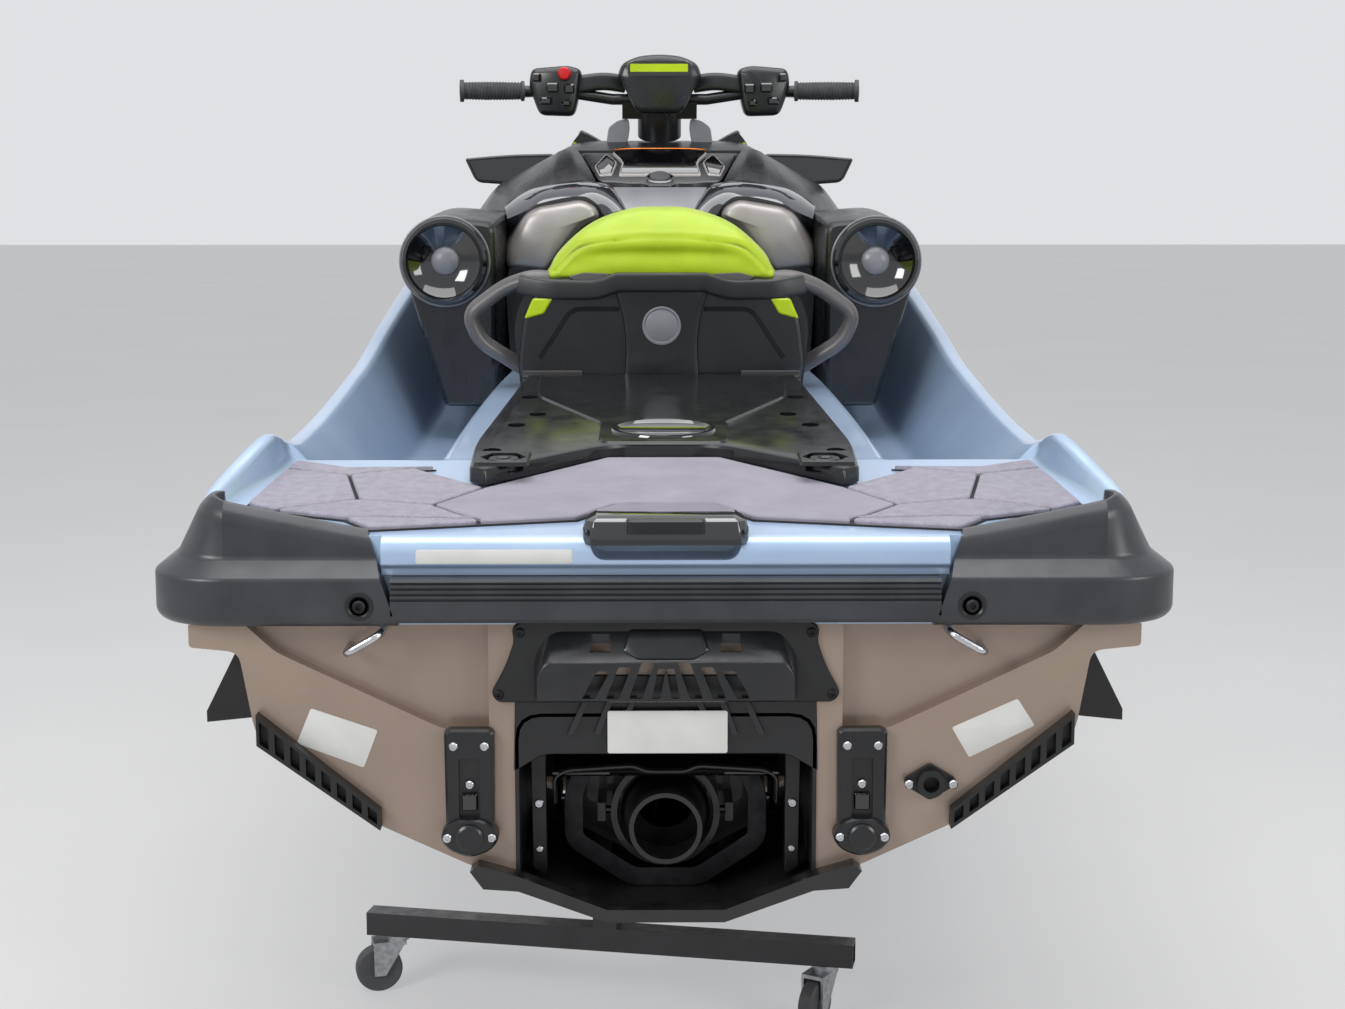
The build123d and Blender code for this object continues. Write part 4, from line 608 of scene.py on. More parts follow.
def sweep(path, section, up=(0, 0, 1)):
    """A section carried along a path, level with an up direction.

    A ring lies across the path. Its first direction is the path's tangent crossed
    with up, and its second is that direction crossed with the tangent.
    """
    path = np.asarray(path, float)
    step = np.diff(path, axis=0)
    step /= np.linalg.norm(step, axis=1, keepdims=True)
    tangent = np.concatenate([step[:1], step[:-1] + step[1:], step[-1:]])
    tangent /= np.linalg.norm(tangent, axis=1, keepdims=True)
    side = np.cross(tangent, np.asarray(up, float))
    side /= np.linalg.norm(side, axis=1, keepdims=True)
    rise = np.cross(side, tangent)
    section = np.asarray(section, float)
    section = np.broadcast_to(section, (len(path), *section.shape[-2:]))
    along_side, along_rise = section[..., :1] * side[:, None], section[..., 1:] * rise[:, None]
    return skin(path[:, None] + along_side + along_rise)


def lathe(profile, place, axis="Y", sides=40):
    """A profile of radius and distance turned round an upright or a level axis.

    A point at radius r and angle a lies r cos a to the side and r sin a across, and
    its distance is measured along the axis, Y or Z, from the place.
    """
    profile = np.asarray(profile, float)
    angle = np.linspace(0, 2 * np.pi, sides, endpoint=False)
    u, v = profile[:, :1] * np.cos(angle), profile[:, :1] * np.sin(angle)
    along_axis = profile[:, 1:] * np.ones(sides)
    order = (u, along_axis, v) if axis == "Y" else (u, v, along_axis)
    return skin(np.stack(order, axis=-1) + np.asarray(place, float))


def screw(place, radius):
    """A button-head screw with a socket, its head standing out astern."""
    r = radius
    profile = [(r, 0), (r, -0.3 * r), (0.75 * r, -0.55 * r), (0.45 * r, -0.6 * r)]
    profile += [(0.42 * r, -0.2 * r), (0.05, -0.2 * r)]
    return lathe(profile, place, sides=18)


print("a tube of two rings has", len(skin(np.zeros((2, 8, 3)))[1]), "faces")

# %% [markdown]
# A mesh is filled from arrays in one call, and its faces are turned outwards. A
# finished piece rides on the body that carries it, takes the finish that it is given
# and stands for the frame's nodes that it replaces. A bevel softens the edges, which is
# what catches the light.
# %% Make a piece from arrays
SHARP_DEG = 34  # an edge that turns by more than this is shaded as an edge
CUT_SHARP_DEG = 30
BEVEL_OVER_DEG = 30


def mesh_points(mesh):
    """A mesh's points in metres, as an array of three columns."""
    points = np.empty(len(mesh.vertices) * 3)
    mesh.vertices.foreach_get("co", points)
    return points.reshape(-1, 3)


def set_points(mesh, points):
    """Moves a mesh's points to new places in metres."""
    mesh.vertices.foreach_set("co", points.ravel())
    mesh.update()


def mesh_object(name, parts, material, sharp_deg=SHARP_DEG):
    """One object from (points, faces) parts, in millimetres, with its faces outwards."""
    points, faces, start = [], [], 0
    for part_points, part_faces in parts:
        points.append(np.asarray(part_points, float))
        faces += [[start + index for index in face] for face in part_faces]
        start += len(part_points)
    mesh = bpy.data.meshes.new(name)
    mesh.from_pydata((np.concatenate(points) * MM).tolist(), [], faces)
    build = bmesh.new()
    build.from_mesh(mesh)
    bmesh.ops.recalc_face_normals(build, faces=build.faces)
    build.to_mesh(mesh)
    build.free()
    mesh.materials.append(material)
    mesh.polygons.foreach_set("use_smooth", np.ones(len(mesh.polygons), bool))
    mesh.set_sharp_from_angle(angle=math.radians(sharp_deg))
    piece = bpy.data.objects.new(name, mesh)
    bpy.context.scene.collection.objects.link(piece)
    return piece


def make_piece(
    name, parts, material, slot, *nodes, body=CRAFT, sharp_deg=SHARP_DEG, bevel_mm=0.0
):
    """A piece on its body, with its material and the nodes that it stands for; slot is not
    used.
    """
    piece = mesh_object(name, parts, material, sharp_deg)
    if bevel_mm:
        bevel = piece.modifiers.new("edge", "BEVEL")
        bevel.width = bevel_mm * MM
        bevel.segments = 2
        bevel.limit_method = "ANGLE"
        bevel.angle_limit = math.radians(BEVEL_OVER_DEG)
        bevel.harden_normals = True
    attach(piece, body)
    if nodes:
        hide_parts(*nodes)
    size = np.ptp(mesh_points(piece.data), axis=0) / MM
    print(name, "is", *size.round().astype(int), "mm, for", *(nodes or ["no node"]))
    return piece


def carve(piece, parts, operation="DIFFERENCE", overlapping=False):
    """Cuts closed parts out of a piece, or keeps what they share, and keeps the result.

    A piece whose own shells overlap is told so, because the solver has to merge them.
    """
    tool = mesh_object("carving_tool", parts, piece.data.materials[0])
    modifier = piece.modifiers.new("carve", "BOOLEAN")
    modifier.operation = operation
    modifier.solver = "EXACT"
    modifier.use_self = overlapping
    modifier.object = tool
    keep_modified(piece, modifier)
    piece.data.set_sharp_from_angle(angle=math.radians(CUT_SHARP_DEG))
    bpy.data.objects.remove(tool)
    print(piece.name, "has", len(piece.data.polygons), "faces after the cut")


def keep_modified(piece, modifier):
    """Gives a piece the mesh that its modifiers make of it, and removes the modifier."""
    graph = bpy.context.evaluated_depsgraph_get()
    result = bpy.data.meshes.new_from_object(piece.evaluated_get(graph))
    piece.modifiers.remove(modifier)
    piece.data = result


print("body of the craft's own pieces:", CRAFT)

# %% [markdown]
# The hull is a deep V with strakes, a hard chine and a flat flange at the top where
# the deck is bonded on. The real one is laid up in a mould from bow to stern, so a
# table of sections fits it better than boxes or a sculpted block would. The table has
# the same stations as the frame's hull.
# %% Hull
STERN_Y = -1725.0
TRANSOM_Y, HULL_BOW_Y = -1690.0, 1700.0
KEEL_Z = 415.0
# Columns: share of the length, keel, then x and rise of strake, chine, knuckle,
# topside and flange, and the sheer's rise
HULL_SECTIONS = np.array(
    [
        (0.00, 0, 240, 77, 350, 128, 500, 236, 519, 347, 579, 353, 381),
        (0.23, -3, 240, 75, 400, 152, 525, 242, 545, 360, 594, 367, 391),
        (0.47, -3, 235, 72, 410, 175, 535, 265, 560, 385, 604, 393, 417),
        (0.67, 5, 195, 85, 365, 210, 490, 300, 540, 435, 585, 443, 467),
        (0.84, 63, 125, 150, 255, 275, 370, 365, 440, 495, 488, 503, 527),
        (0.94, 195, 50, 275, 120, 375, 200, 450, 270, 550, 320, 558, 582),
        (1.00, 430, 12, 445, 30, 485, 55, 515, 85, 570, 140, 578, 602),
    ]
)
hull_table = HULL_SECTIONS.copy()
hull_table[:, 0] = TRANSOM_Y + hull_table[:, 0] * (HULL_BOW_Y - TRANSOM_Y)
HULL_RADII = (14, 8, 7, 26, 14, 5, 2)
RECESS_OUTLINE = ((216, 800), (515, 800), (474, 762), (265, 662), (216, 662))
RECESS_DEPTH = 22.0


def hull_half(ys):
    """The right half of the hull's sections, from the keel to the sheer."""
    row = smooth_rows(hull_table, ys)
    zero = np.zeros(len(row))
    xs = [zero, row[:, 1], row[:, 3], row[:, 5], row[:, 7], row[:, 9], row[:, 9]]
    zs = [row[:, 0], row[:, 2], row[:, 4], row[:, 6], row[:, 8], row[:, 10], row[:, 11]]
    return np.stack([np.stack(xs, 1), KEEL_Z + np.stack(zs, 1)], axis=-1)


def sheer(ys):
    """Flange half breadth, flange height and sheer height at each y."""
    half = hull_half(ys)
    return half[:, 5, 0], half[:, 5, 1], half[:, 6, 1]


hull_ys = np.linspace(TRANSOM_Y, HULL_BOW_Y, 72)
hull_rings = rounded(two_sided(hull_half(hull_ys)), both_radii(HULL_RADII, True))
hull = make_piece(
    "hull_skin", [skin(rings_at(hull_ys, hull_rings))], hull_paint, "hull_gelcoat", "hull"
)

# %% [markdown]
# The jet's tunnel, the duct ahead of it and a recess at each side of the transom are
# cut with closed blocks, because a table of sections can't hold a hole.
# %% Openings in the hull
TUNNEL_HALF, TUNNEL_TOP_Z, TUNNEL_FRONT_Y = 185.0, 686.0, -1250.0
tunnel_outline = round_one(
    [
        (-TUNNEL_HALF, 350), (TUNNEL_HALF, 350), (TUNNEL_HALF, TUNNEL_TOP_Z),
        (-TUNNEL_HALF, TUNNEL_TOP_Z),
    ],
    (0, 0, 34, 34),
)
carve(hull, [across(tunnel_outline, STERN_Y, TUNNEL_FRONT_Y)])
duct_outline = [
    [-640, 350], [-640, 430], [-1180, 594], [-1180, 454], [-1020, 425], [-1020, 350]
]
carve(hull, [lengthwise(duct_outline, -78, 78)])
recess = across(
    round_one(RECESS_OUTLINE, (0, 0, 10, 24, 0)), TRANSOM_Y - 5, TRANSOM_Y + RECESS_DEPTH
)
carve(hull, pair(recess))

# %% [markdown]
# The deck is one moulding: a broad gunwale at each side, a sloping swim platform at
# the stern, then two deep foot wells beside the seat's pedestal. It could be two
# pieces that meet. One table holds both, because the well drops away from the platform
# within two centimetres, and so no seam can open between them.
# %% Deck
WELL_START_Y, SEAT_BASE_Y, WELL_END_Y = -1275.0, -635.0, 480.0
PLATFORM_REAR_Z, PLATFORM_FRONT_Z = 905.0, 943.0
PEDESTAL_SLOPE = 0.049
# Columns: y, gunwale's outer x, its z, inner x, foot x and z, well's inner x and z,
# pedestal's edge x and z
DECK_SECTIONS = (
    (-1690, 528, 912, 524, 518, 905, 318, 905, 292, 905),
    (-1670, 558, 917, 551, 541, 906.8, 318, 906.8, 292, 906.8),
    (-1650, 572, 923, 562, 552, 908.7, 318, 908.7, 292, 908.7),
    (-1586, 575, 941, 560, 546, 914.5, 318, 914.5, 292, 914.5),
    (-1500, 566, 960, 548, 534, 922.4, 318, 922.4, 292, 922.4),
    (-1361, 545, 987, 524, 514, 935.1, 318, 935.1, 292, 935.1),
    (-1300, 545, 975, 522, 511, 940.7, 326, 940.7, 308, 940.7),
    (-1288, 545, 971, 522, 511, 941.8, 326, 941.8, 308, 941.8),
    (-1266, 545, 967, 522, 424, 868, 326, 868, 308, 943.5),
    (-1162, 540, 955, 520, 421, 863, 325, 863, 306, 948.6),
    (-458, 540, 992, 515, 433, 842, 320, 842, 278, 974.4),
    (-100, 536, 1043, 508, 440, 846, 320, 846, 268, 974.4),
    (201, 530, 1087, 500, 440, 872, 328, 872, 274, 974.4),
    (480, 515, 1130, 478, 440, 905, 340, 905, 300, 974.4),
)
DECK_RADII = (2, 18, 12, 16, 26, 14)


def floor_z(ys):
    """Height of the platform's floor, and ahead of it of the pedestal's top."""
    ys = np.asarray(ys, float)
    platform_slope = (PLATFORM_FRONT_Z - PLATFORM_REAR_Z) / (WELL_START_Y - TRANSOM_Y)
    platform = PLATFORM_FRONT_Z + platform_slope * (ys - WELL_START_Y)
    pedestal = PLATFORM_FRONT_Z + PEDESTAL_SLOPE * (np.minimum(ys, SEAT_BASE_Y) - WELL_START_Y)
    return np.where(ys < WELL_START_Y, platform, pedestal)


def deck_half(ys):
    """The right half of the deck's sections, from the sheer in to the pedestal."""
    row = smooth_rows(DECK_SECTIONS, ys)
    flange_x, _, sheer_z = sheer(ys)
    xs = [flange_x, row[:, 0], row[:, 2], row[:, 3], row[:, 5], row[:, 7]]
    zs = [sheer_z, row[:, 1], row[:, 1], row[:, 4], row[:, 6], row[:, 8]]
    return np.stack([np.stack(xs, 1), np.stack(zs, 1)], axis=-1)


deck_ys = np.concatenate(
    [np.linspace(-1690, -1292, 26), np.linspace(-1288, -1264, 9), np.linspace(-1250, 480, 56)]
)
deck_rings = rounded(two_sided(deck_half(deck_ys)), both_radii(DECK_RADII))
deck = make_piece(
    "deck_skin", [skin(rings_at(deck_ys, deck_rings))], deck_paint, "deck_gelcoat", "deck"
)

# %% [markdown]
# The platform ends in a rolled lip. It is the same all the way across, so its side
# profile is carried along x, and a finger cup is cut into it.
# %% Rear lip
LIP_SECTION = (
    (-1688, 858), (-1701, 858), (-1702, 868), (-1708, 872), (-1708, 892), (-1701, 903)
)
LIP_SECTION += ((-1688, 905.5),)
LIP_HALF = 342.0
lip_outline = round_one(LIP_SECTION, (0, 2, 3, 4, 12, 10, 0))
lip = make_piece(
    "deck_rear_lip", [lengthwise(lip_outline, -LIP_HALF, LIP_HALF)], deck_paint, "deck_gelcoat",
    "deck",
)
cup_outline = round_one([(-86, 878), (86, 878), (100, 930), (-100, 930)], (14, 14, 2, 2))
carve(lip, [across(cup_outline, STERN_Y, TRANSOM_Y + 5)])
carve(deck, [across(cup_outline, TRANSOM_Y - 3, TRANSOM_Y + 44)])

# %% [markdown]
# Ahead of the cockpit the deck closes over the hull, and a hood covers the front
# storage bin. The hood is the bow's own skin, cut out along its rim with a gap, so
# the two surfaces run on into each other, and its underside is hollow.
# %% Bow and hood
BIN_LOW, BIN_HIGH = (-170, 620, 860), (170, 1220, 1400)
HATCH_HALF, HATCH_GAP = 330.0, 5.0
HATCH_RIM = ((500, 1150), (1430, 1062))
# Columns: y, shoulder x and z, crown x and z, ridge x and z
BOW_SECTIONS = (
    (480, 515, 1130, 335, 1240, 130, 1300),
    (840, 468, 1116, 290, 1195, 110, 1240),
    (1150, 385, 1090, 215, 1140, 80, 1168),
    (1430, 262, 1050, 130, 1085, 45, 1100),
    (1600, 170, 1036, 80, 1055, 28, 1062),
    (1700, 118, 1024, 45, 1034, 15, 1038),
)


def bow_rings(ys, lift=0.0):
    """The bow's sections: sheer, shoulder, crown and ridge, with a lift in height."""
    row = smooth_rows(BOW_SECTIONS, ys)
    flange_x, _, sheer_z = sheer(ys)
    xs = [flange_x, row[:, 0], row[:, 2], row[:, 4]]
    zs = [sheer_z, row[:, 1] + lift, row[:, 3] + lift, row[:, 5] + lift]
    half = np.stack([np.stack(xs, 1), np.stack(zs, 1)], axis=-1)
    return rings_at(ys, rounded(two_sided(half), both_radii((2, 40, 60, 30))))


def hatch_block(gap):
    """The space above the hood's rim, drawn in by a gap."""
    (rear_y, rear_z), (front_y, front_z) = HATCH_RIM
    corners = [(rear_y + gap, rear_z), (front_y - gap, front_z), (front_y - gap, 1500)]
    corners += [(rear_y + gap, 1500)]
    return lengthwise(corners, -HATCH_HALF + gap, HATCH_HALF - gap)


print("the hood covers y", HATCH_RIM[0][0], "to", HATCH_RIM[1][0])

# %% [markdown]
# Both start as the whole bow. The bow loses the block above the rim, and the hood
# keeps what it shares with a slightly smaller one. A core of its shape hollows it.
# %% Cut the hood out of the bow
bow_ys = np.linspace(WELL_END_Y, HULL_BOW_Y, 44)
bow = make_piece("bow_skin", [skin(bow_rings(bow_ys))], deck_paint, "deck_gelcoat", "deck")
carve(bow, [hatch_block(0)])
carve(bow, [box_part(BIN_LOW, BIN_HIGH)])
hood = make_piece(
    "bow_hood", [skin(bow_rings(bow_ys, 1.0))], deck_paint, "deck_gelcoat", "bow_hatch",
    body="hood",
)
carve(hood, [hatch_block(HATCH_GAP)], "INTERSECT")
core_ys = np.linspace(530, 1350, 20)
core_row = smooth_rows(BOW_SECTIONS, core_ys)
core_half = np.stack(
    [
        np.stack([np.full(20, 300.0), np.minimum(core_row[:, 2], 290), core_row[:, 4]], 1),
        np.stack([np.full(20, 1000.0), core_row[:, 3] - 34, core_row[:, 5] - 16], 1),
    ],
    axis=-1,
)
carve(hood, [skin(rings_at(core_ys, two_sided(core_half)))])

# %% [markdown]
# A soft rail covers the joint between hull and deck. The real one is extruded and
# bent on, so a section is swept up one side, round the nose and back.
# %% Rub rail
CORNER_FRONT_Y = -1370.0
rail_ys = np.linspace(CORNER_FRONT_Y, 1690, 60)
rail_x, rail_low, rail_high = sheer(rail_ys)
rail_side = np.column_stack([rail_x, rail_ys, (rail_low + rail_high) / 2 + 11])
nose = [(112, 1699), (84, 1703), (40, 1704), (-40, 1704), (-84, 1703), (-112, 1699)]
nose = np.column_stack([nose, np.full(len(nose), rail_side[-1, 2])])
rail_path = np.concatenate([rail_side, nose, rail_side[::-1] * np.array([-1.0, 1.0, 1.0])])
RAIL_SECTION = (
    (-3, -31), (15, -31), (22, -22), (22, -2), (14, 4), (14, 12), (20, 18), (12, 32), (-3, 32)
)
rail_section = round_one(RAIL_SECTION, (0, 6, 6, 3, 3, 3, 4, 6, 0))
make_piece(
    "rub_rail_skin", [sweep(rail_path, rail_section)], bumper_plastic, "bumper_plastic",
    "rub_rail",
)

# %% [markdown]
# Each stern corner is a two-tier bumper. Its section is carried round the corner of
# the plan: a straight run, a quarter circle and another run. The inner end is slanted,
# so the first run is sheared, and the top follows one sloping plane. The upper tier
# leans in at the side and ends just past the corner, where the gunwale shows.
# %% Corner bumpers
HALF_BEAM = 627.5
CORNER_RADIUS = 95.0
CORNER_LOW_Z, CORNER_STEP_Z, CORNER_LEDGE_Z, CORNER_LEDGE = 799.0, 858.0, 878.0, 28.0
CORNER_END_X, CORNER_END_SLANT = 322.0, 0.336
CORNER_RUNS = (8, 14, 16)
CORNER_LEAN, CORNER_TOP_Z = 30.0, 951.0
UPPER_TIER_END = (-1626.0, -1608.0)


def corner_top(x, y):
    """The sloping top plane, which rises outboard and forward up to a flat end.

    Past the corner it falls to the ledge along a smooth step.
    """
    start, end = UPPER_TIER_END
    fall = np.clip((y - start) / (end - start), 0, 1)
    fall = fall * fall * (3 - 2 * fall)
    plane = 910 + 0.206 * (x - 359) + 0.117 * (y - TRANSOM_Y)
    plane = np.minimum(plane, CORNER_TOP_Z)
    return plane + fall * (CORNER_LEDGE_Z + 15 - plane)


def corner_rings():
    """Rings of the corner's section: place on the plan, plus inset along its normal."""
    centre_x, centre_y = HALF_BEAM - CORNER_RADIUS, STERN_Y + CORNER_RADIUS
    first, arc, last = CORNER_RUNS
    angle = np.radians(np.linspace(-90, 0, arc))
    run = np.linspace(0, 1, last)[1:] ** 2
    inner_x = CORNER_END_X + CORNER_END_SLANT * (CORNER_TOP_Z - 30 - CORNER_LOW_Z)
    x = [
        np.linspace(inner_x, centre_x, first), centre_x + CORNER_RADIUS * np.cos(angle),
        np.full(last - 1, HALF_BEAM),
    ]
    y = [np.full(first, STERN_Y), centre_y + CORNER_RADIUS * np.sin(angle)]
    y += [centre_y + run * (CORNER_FRONT_Y - centre_y)]
    normal_x = [np.zeros(first), -np.cos(angle), -np.ones(last - 1)]
    normal_y = [np.ones(first), -np.sin(angle), np.zeros(last - 1)]
    x, y, nx, ny = (np.concatenate(part)[:, None] for part in (x, y, normal_x, normal_y))
    lean = CORNER_LEAN * np.clip(-nx, 0, 1)
    rim = 46 + 40 * np.clip(-nx, 0, 1)
    zero = np.zeros_like(rim)
    shoulder = CORNER_LEDGE + lean
    insets = [rim, zero + 8, zero, zero, zero + CORNER_LEDGE, shoulder, shoulder + 14, rim, rim]
    insets = np.concatenate(insets, axis=1)
    top = corner_top(x + nx * insets, y + ny * insets)
    lows = [CORNER_LOW_Z, CORNER_LOW_Z, CORNER_LOW_Z + 9, CORNER_STEP_Z, CORNER_LEDGE_Z]
    heights = np.concatenate(
        [zero + z for z in lows] + [top[:, 5:6] - 13, top[:, 6:8], zero + 870], axis=1
    )
    outline = rounded(np.stack([insets, heights], axis=-1), (1, 6, 6, 4, 5, 10, 8, 3, 1))
    ring_x, ring_y, ring_z = x + nx * outline[..., 0], y + ny * outline[..., 0], outline[..., 1]
    start_x = CORNER_END_X + CORNER_END_SLANT * (ring_z[:first] - CORNER_LOW_Z)
    share = np.linspace(0, 1, first)[:, None]
    ring_x[:first] = start_x + share * (centre_x - start_x)
    return np.stack([ring_x, ring_y, ring_z], axis=-1)


print("corner rings", corner_rings().shape)

# %% [markdown]
# The port bumper is a mirror image, but a piece of its own, because each one stands
# for its own node. A bolt sits in a turned cup near the inner end.
# %% Bumpers and their bolts
corner = skin(corner_rings())
for side, part in (("right", corner), ("left", mirror_part(corner))):
    make_piece(
        "corner_bumper_" + side, [part], bumper_plastic, "bumper_plastic",
        "bumper_corner_" + side,
    )
BOLT_X, BOLT_Z = 367.0, 825.0
bolt_cup = lathe(
    [(17, 0), (17, -1.2), (13, -1.6), (10, 0.6), (0.1, 0.6)], (BOLT_X, STERN_Y, BOLT_Z)
)
make_piece("corner_bolt_cups", pair(bolt_cup), satin_black, "bumper_plastic")
make_piece("corner_bolts", pair(screw((BOLT_X, STERN_Y, BOLT_Z), 8)), dark_alloy, "stainless")

# %% [markdown]
# Between the corners a rail crosses the stern. Its ribs are moulded in, so one side
# profile with all its grooves is carried straight across.
# %% Ribbed stern rail
RAIL_LOW_Z, RAIL_HEIGHT, RAIL_RIBS = 804.0, 54.0, 4


def rail_profile():
    """Side profile: a flat face below, and above it ribs with grooves between them."""
    pitch = RAIL_HEIGHT / 2 / RAIL_RIBS
    points = [(TRANSOM_Y + 1, RAIL_LOW_Z), (STERN_Y + 4, RAIL_LOW_Z), (STERN_Y, RAIL_LOW_Z + 5)]
    points += [(STERN_Y, RAIL_LOW_Z + RAIL_HEIGHT / 2)]
    for rib in range(RAIL_RIBS):
        z = RAIL_LOW_Z + RAIL_HEIGHT / 2 + rib * pitch
        points += [
            (STERN_Y + 4, z + 0.5), (STERN_Y + 4, z + 2.6), (STERN_Y, z + 3.2),
            (STERN_Y, z + pitch),
        ]
    points[-1] = (STERN_Y + 3, RAIL_LOW_Z + RAIL_HEIGHT)
    return points + [(TRANSOM_Y + 1, RAIL_LOW_Z + RAIL_HEIGHT)]


make_piece(
    "stern_rail_ribbed", [lengthwise(rail_profile(), -330, 330)], bumper_plastic,
    "bumper_plastic", "transom_rail",
)

# %% [markdown]
# The boarding grip is a hood of smoked plastic over the finger cup. It is built up
# in layers of an outline that is drawn in towards the top, and then hollowed.
# %% Boarding grip
GRIP_PLAN = ((-88, -1715), (88, -1715), (100, -1701), (100, -1650), (62, -1580), (-62, -1580))
GRIP_PLAN += ((-100, -1650), (-100, -1701))
GRIP_RADII = (4, 4, 6, 14, 12, 12, 14, 6)
grip_layers = [
    (drawn(GRIP_PLAN, GRIP_RADII, d), z) for d, z in ((0, 897), (0, 915), (4, 925), (16, 931))
]
grip = make_piece(
    "boarding_grip_hood", [stacked(*grip_layers)], smoke_plastic, "gloss_black", "boarding_grip"
)
hollow = round_one([(-74, 870), (74, 870), (74, 916), (-74, 916)], (2, 2, 10, 10))
carve(grip, [across(hollow, -1707, -1645)])
BAR_PLAN = ((-46, -1719), (46, -1719), (52, -1690), (40, -1682), (-40, -1682), (-52, -1690))
bar_layers = [(drawn(BAR_PLAN, 5, d), z) for d, z in ((0, 911), (0, 926), (3, 929))]
make_piece("boarding_grip_bar", [stacked(*bar_layers)], satin_black, "gloss_black")

# %% [markdown]
# The swim platform is covered with foam panels that are cut apart by grooves, and the
# groove shows the dark core. So a thin dark sheet has the whole outline, and each
# panel stands on it, drawn in by half a groove, with its top edge rolled over.
# %% Platform mat
# Corners of the panels, right half: x and distance ahead of the transom
MAT_POINTS = {
    "outer_rear": (530, 140), "outer_mid": (511, 327), "outer_front": (504, 379),
    "front": (428, 335), "front_inner": (308, 335), "strip_inner": (336, 327),
    "socket": (234, 218), "notch": (78, 391),
    "fork": (420, 290), "elbow": (391, 156), "knee": (293, 127), "toe": (250, 73),
    "rear_outer": (490, 105), "rear_step": (397, 66), "strip_step": (360, 68),
    "strip_end": (230, 58), "edge_outer": (361, 17), "edge_mid": (262, 35),
    "edge_inner": (229, 42), "arch_foot": (108, 65), "arch_top": (64, 130),
}
MAT_WINGS = (
    ("outer_mid", "outer_front", "front", "front_inner", "strip_inner", "fork"),
    ("outer_rear", "outer_mid", "fork", "elbow", "rear_outer"),
    ("fork", "strip_inner", "socket", "knee", "elbow"),
    ("rear_outer", "elbow", "knee", "toe", "strip_end", "strip_step", "rear_step"),
    ("rear_step", "strip_step", "strip_end", "edge_inner", "edge_mid", "edge_outer"),
)
MAT_CENTRE = (
    "notch", "socket", "knee", "toe", "strip_end", "edge_inner", "arch_foot", "arch_top"
)
MAT_GROOVE, MAT_THICKNESS = 5.0, 7.0
print("mat panels", 1 + 2 * len(MAT_WINGS))

# %% [markdown]
# A panel is cut from sheet and glued down on the floor's slope, so it is three
# layers of one outline. The five of the right wing have twins.
# %% Foam panels


def mat_corners(names):
    """The x and y of named corners, from their distances ahead of the transom."""
    return np.array([MAT_POINTS[name] for name in names], float) + np.array([0, TRANSOM_Y])


def foam_panel(corners):
    """A panel on the sloping floor: three outlines, drawn in towards the top."""
    layers = []
    for drawn_in, height in ((0, 0.4), (0, MAT_THICKNESS - 1.6), (1.6, MAT_THICKNESS)):
        outline = drawn(corners, 7, MAT_GROOVE / 2 + drawn_in)
        layers.append((outline, floor_z(outline[:, 1]) + height))
    return stacked(*layers)


def mat_core(corners):
    """The dark sheet below a panel, up to the middle of the grooves."""
    return stacked(
        (corners, floor_z(corners[:, 1]) + 0.1), (corners, floor_z(corners[:, 1]) + 2.2)
    )


centre_corners = both_sides(mat_corners(MAT_CENTRE))
wing_corners = [mat_corners(names) for names in MAT_WINGS]
make_piece(
    "platform_mat_panels", pair(*[foam_panel(corners) for corners in wing_corners]), mat_foam,
    "mat_foam", "deck_mat",
)
make_piece(
    "platform_mat_centre", [foam_panel(centre_corners)], mat_smooth, "mat_foam", "deck_mat"
)
core_parts = [mat_core(centre_corners), *pair(*[mat_core(corners) for corners in wing_corners])]
make_piece("platform_mat_core", core_parts, mat_edge, "mat_foam", "deck_mat")

# %% [markdown]
# The cargo deck is a glossy plate that slopes with the pedestal, so its layers take
# their heights from it. Hexagonal sockets, a finger slot and drain slots are cut.
# %% Cargo deck
CARGO_PLAN = ((78, -1290), (234, -1470), (256, -1448), (262, -1275), (225, -637))
CARGO_THICKNESS = 22.0
BADGE_Y, BADGE_R = -1187.0, 75.0
ANCHOR_X, ANCHOR_Y = 214.0, -1400.0
EDGE_SLOTS = ((208, -877), (187, -1040), (213, -1135), (234, -1338))


def on_pedestal(outline, height):
    """An x-y outline with its heights above the pedestal's sloping top."""
    pedestal = PLATFORM_FRONT_Z + PEDESTAL_SLOPE * (np.asarray(outline)[:, 1] - WELL_START_Y)
    return outline, pedestal + height


def pedestal_block(outline, low, high):
    """A block over an outline, between two heights above the pedestal."""
    return stacked(on_pedestal(outline, low), on_pedestal(outline, high))


CARGO_RADII = both_radii((40, 3, 8, 60, 12))
CARGO_LAYERS = (
    (0, 0.4), (0, CARGO_THICKNESS - 5), (2, CARGO_THICKNESS - 1.5), (6, CARGO_THICKNESS)
)
cargo_layers = [
    on_pedestal(drawn(both_sides(CARGO_PLAN), CARGO_RADII, d), z) for d, z in CARGO_LAYERS
]
cargo = make_piece(
    "cargo_deck_plate", [stacked(*cargo_layers)], cargo_plastic, "gloss_black", "cargo_deck"
)
slot_outline = circle(1.0, 20) * (13, 17)
cuts = [pedestal_block(slot_outline + place, 14, 40) for place in EDGE_SLOTS]
sweep_x = np.linspace(-72, 72, 15)
slot_arc = np.column_stack([sweep_x, -1344 + 14 * (sweep_x / 72) ** 2])
finger_slot = np.concatenate([slot_arc, slot_arc[::-1] + (0, 17)])
hexagon = circle(1.0, 6) * (31, 34) + (ANCHOR_X, ANCHOR_Y - 8)
carve(
    cargo, [*pair(*cuts, pedestal_block(hexagon, 8, 40)), pedestal_block(finger_slot, 12, 40)]
)

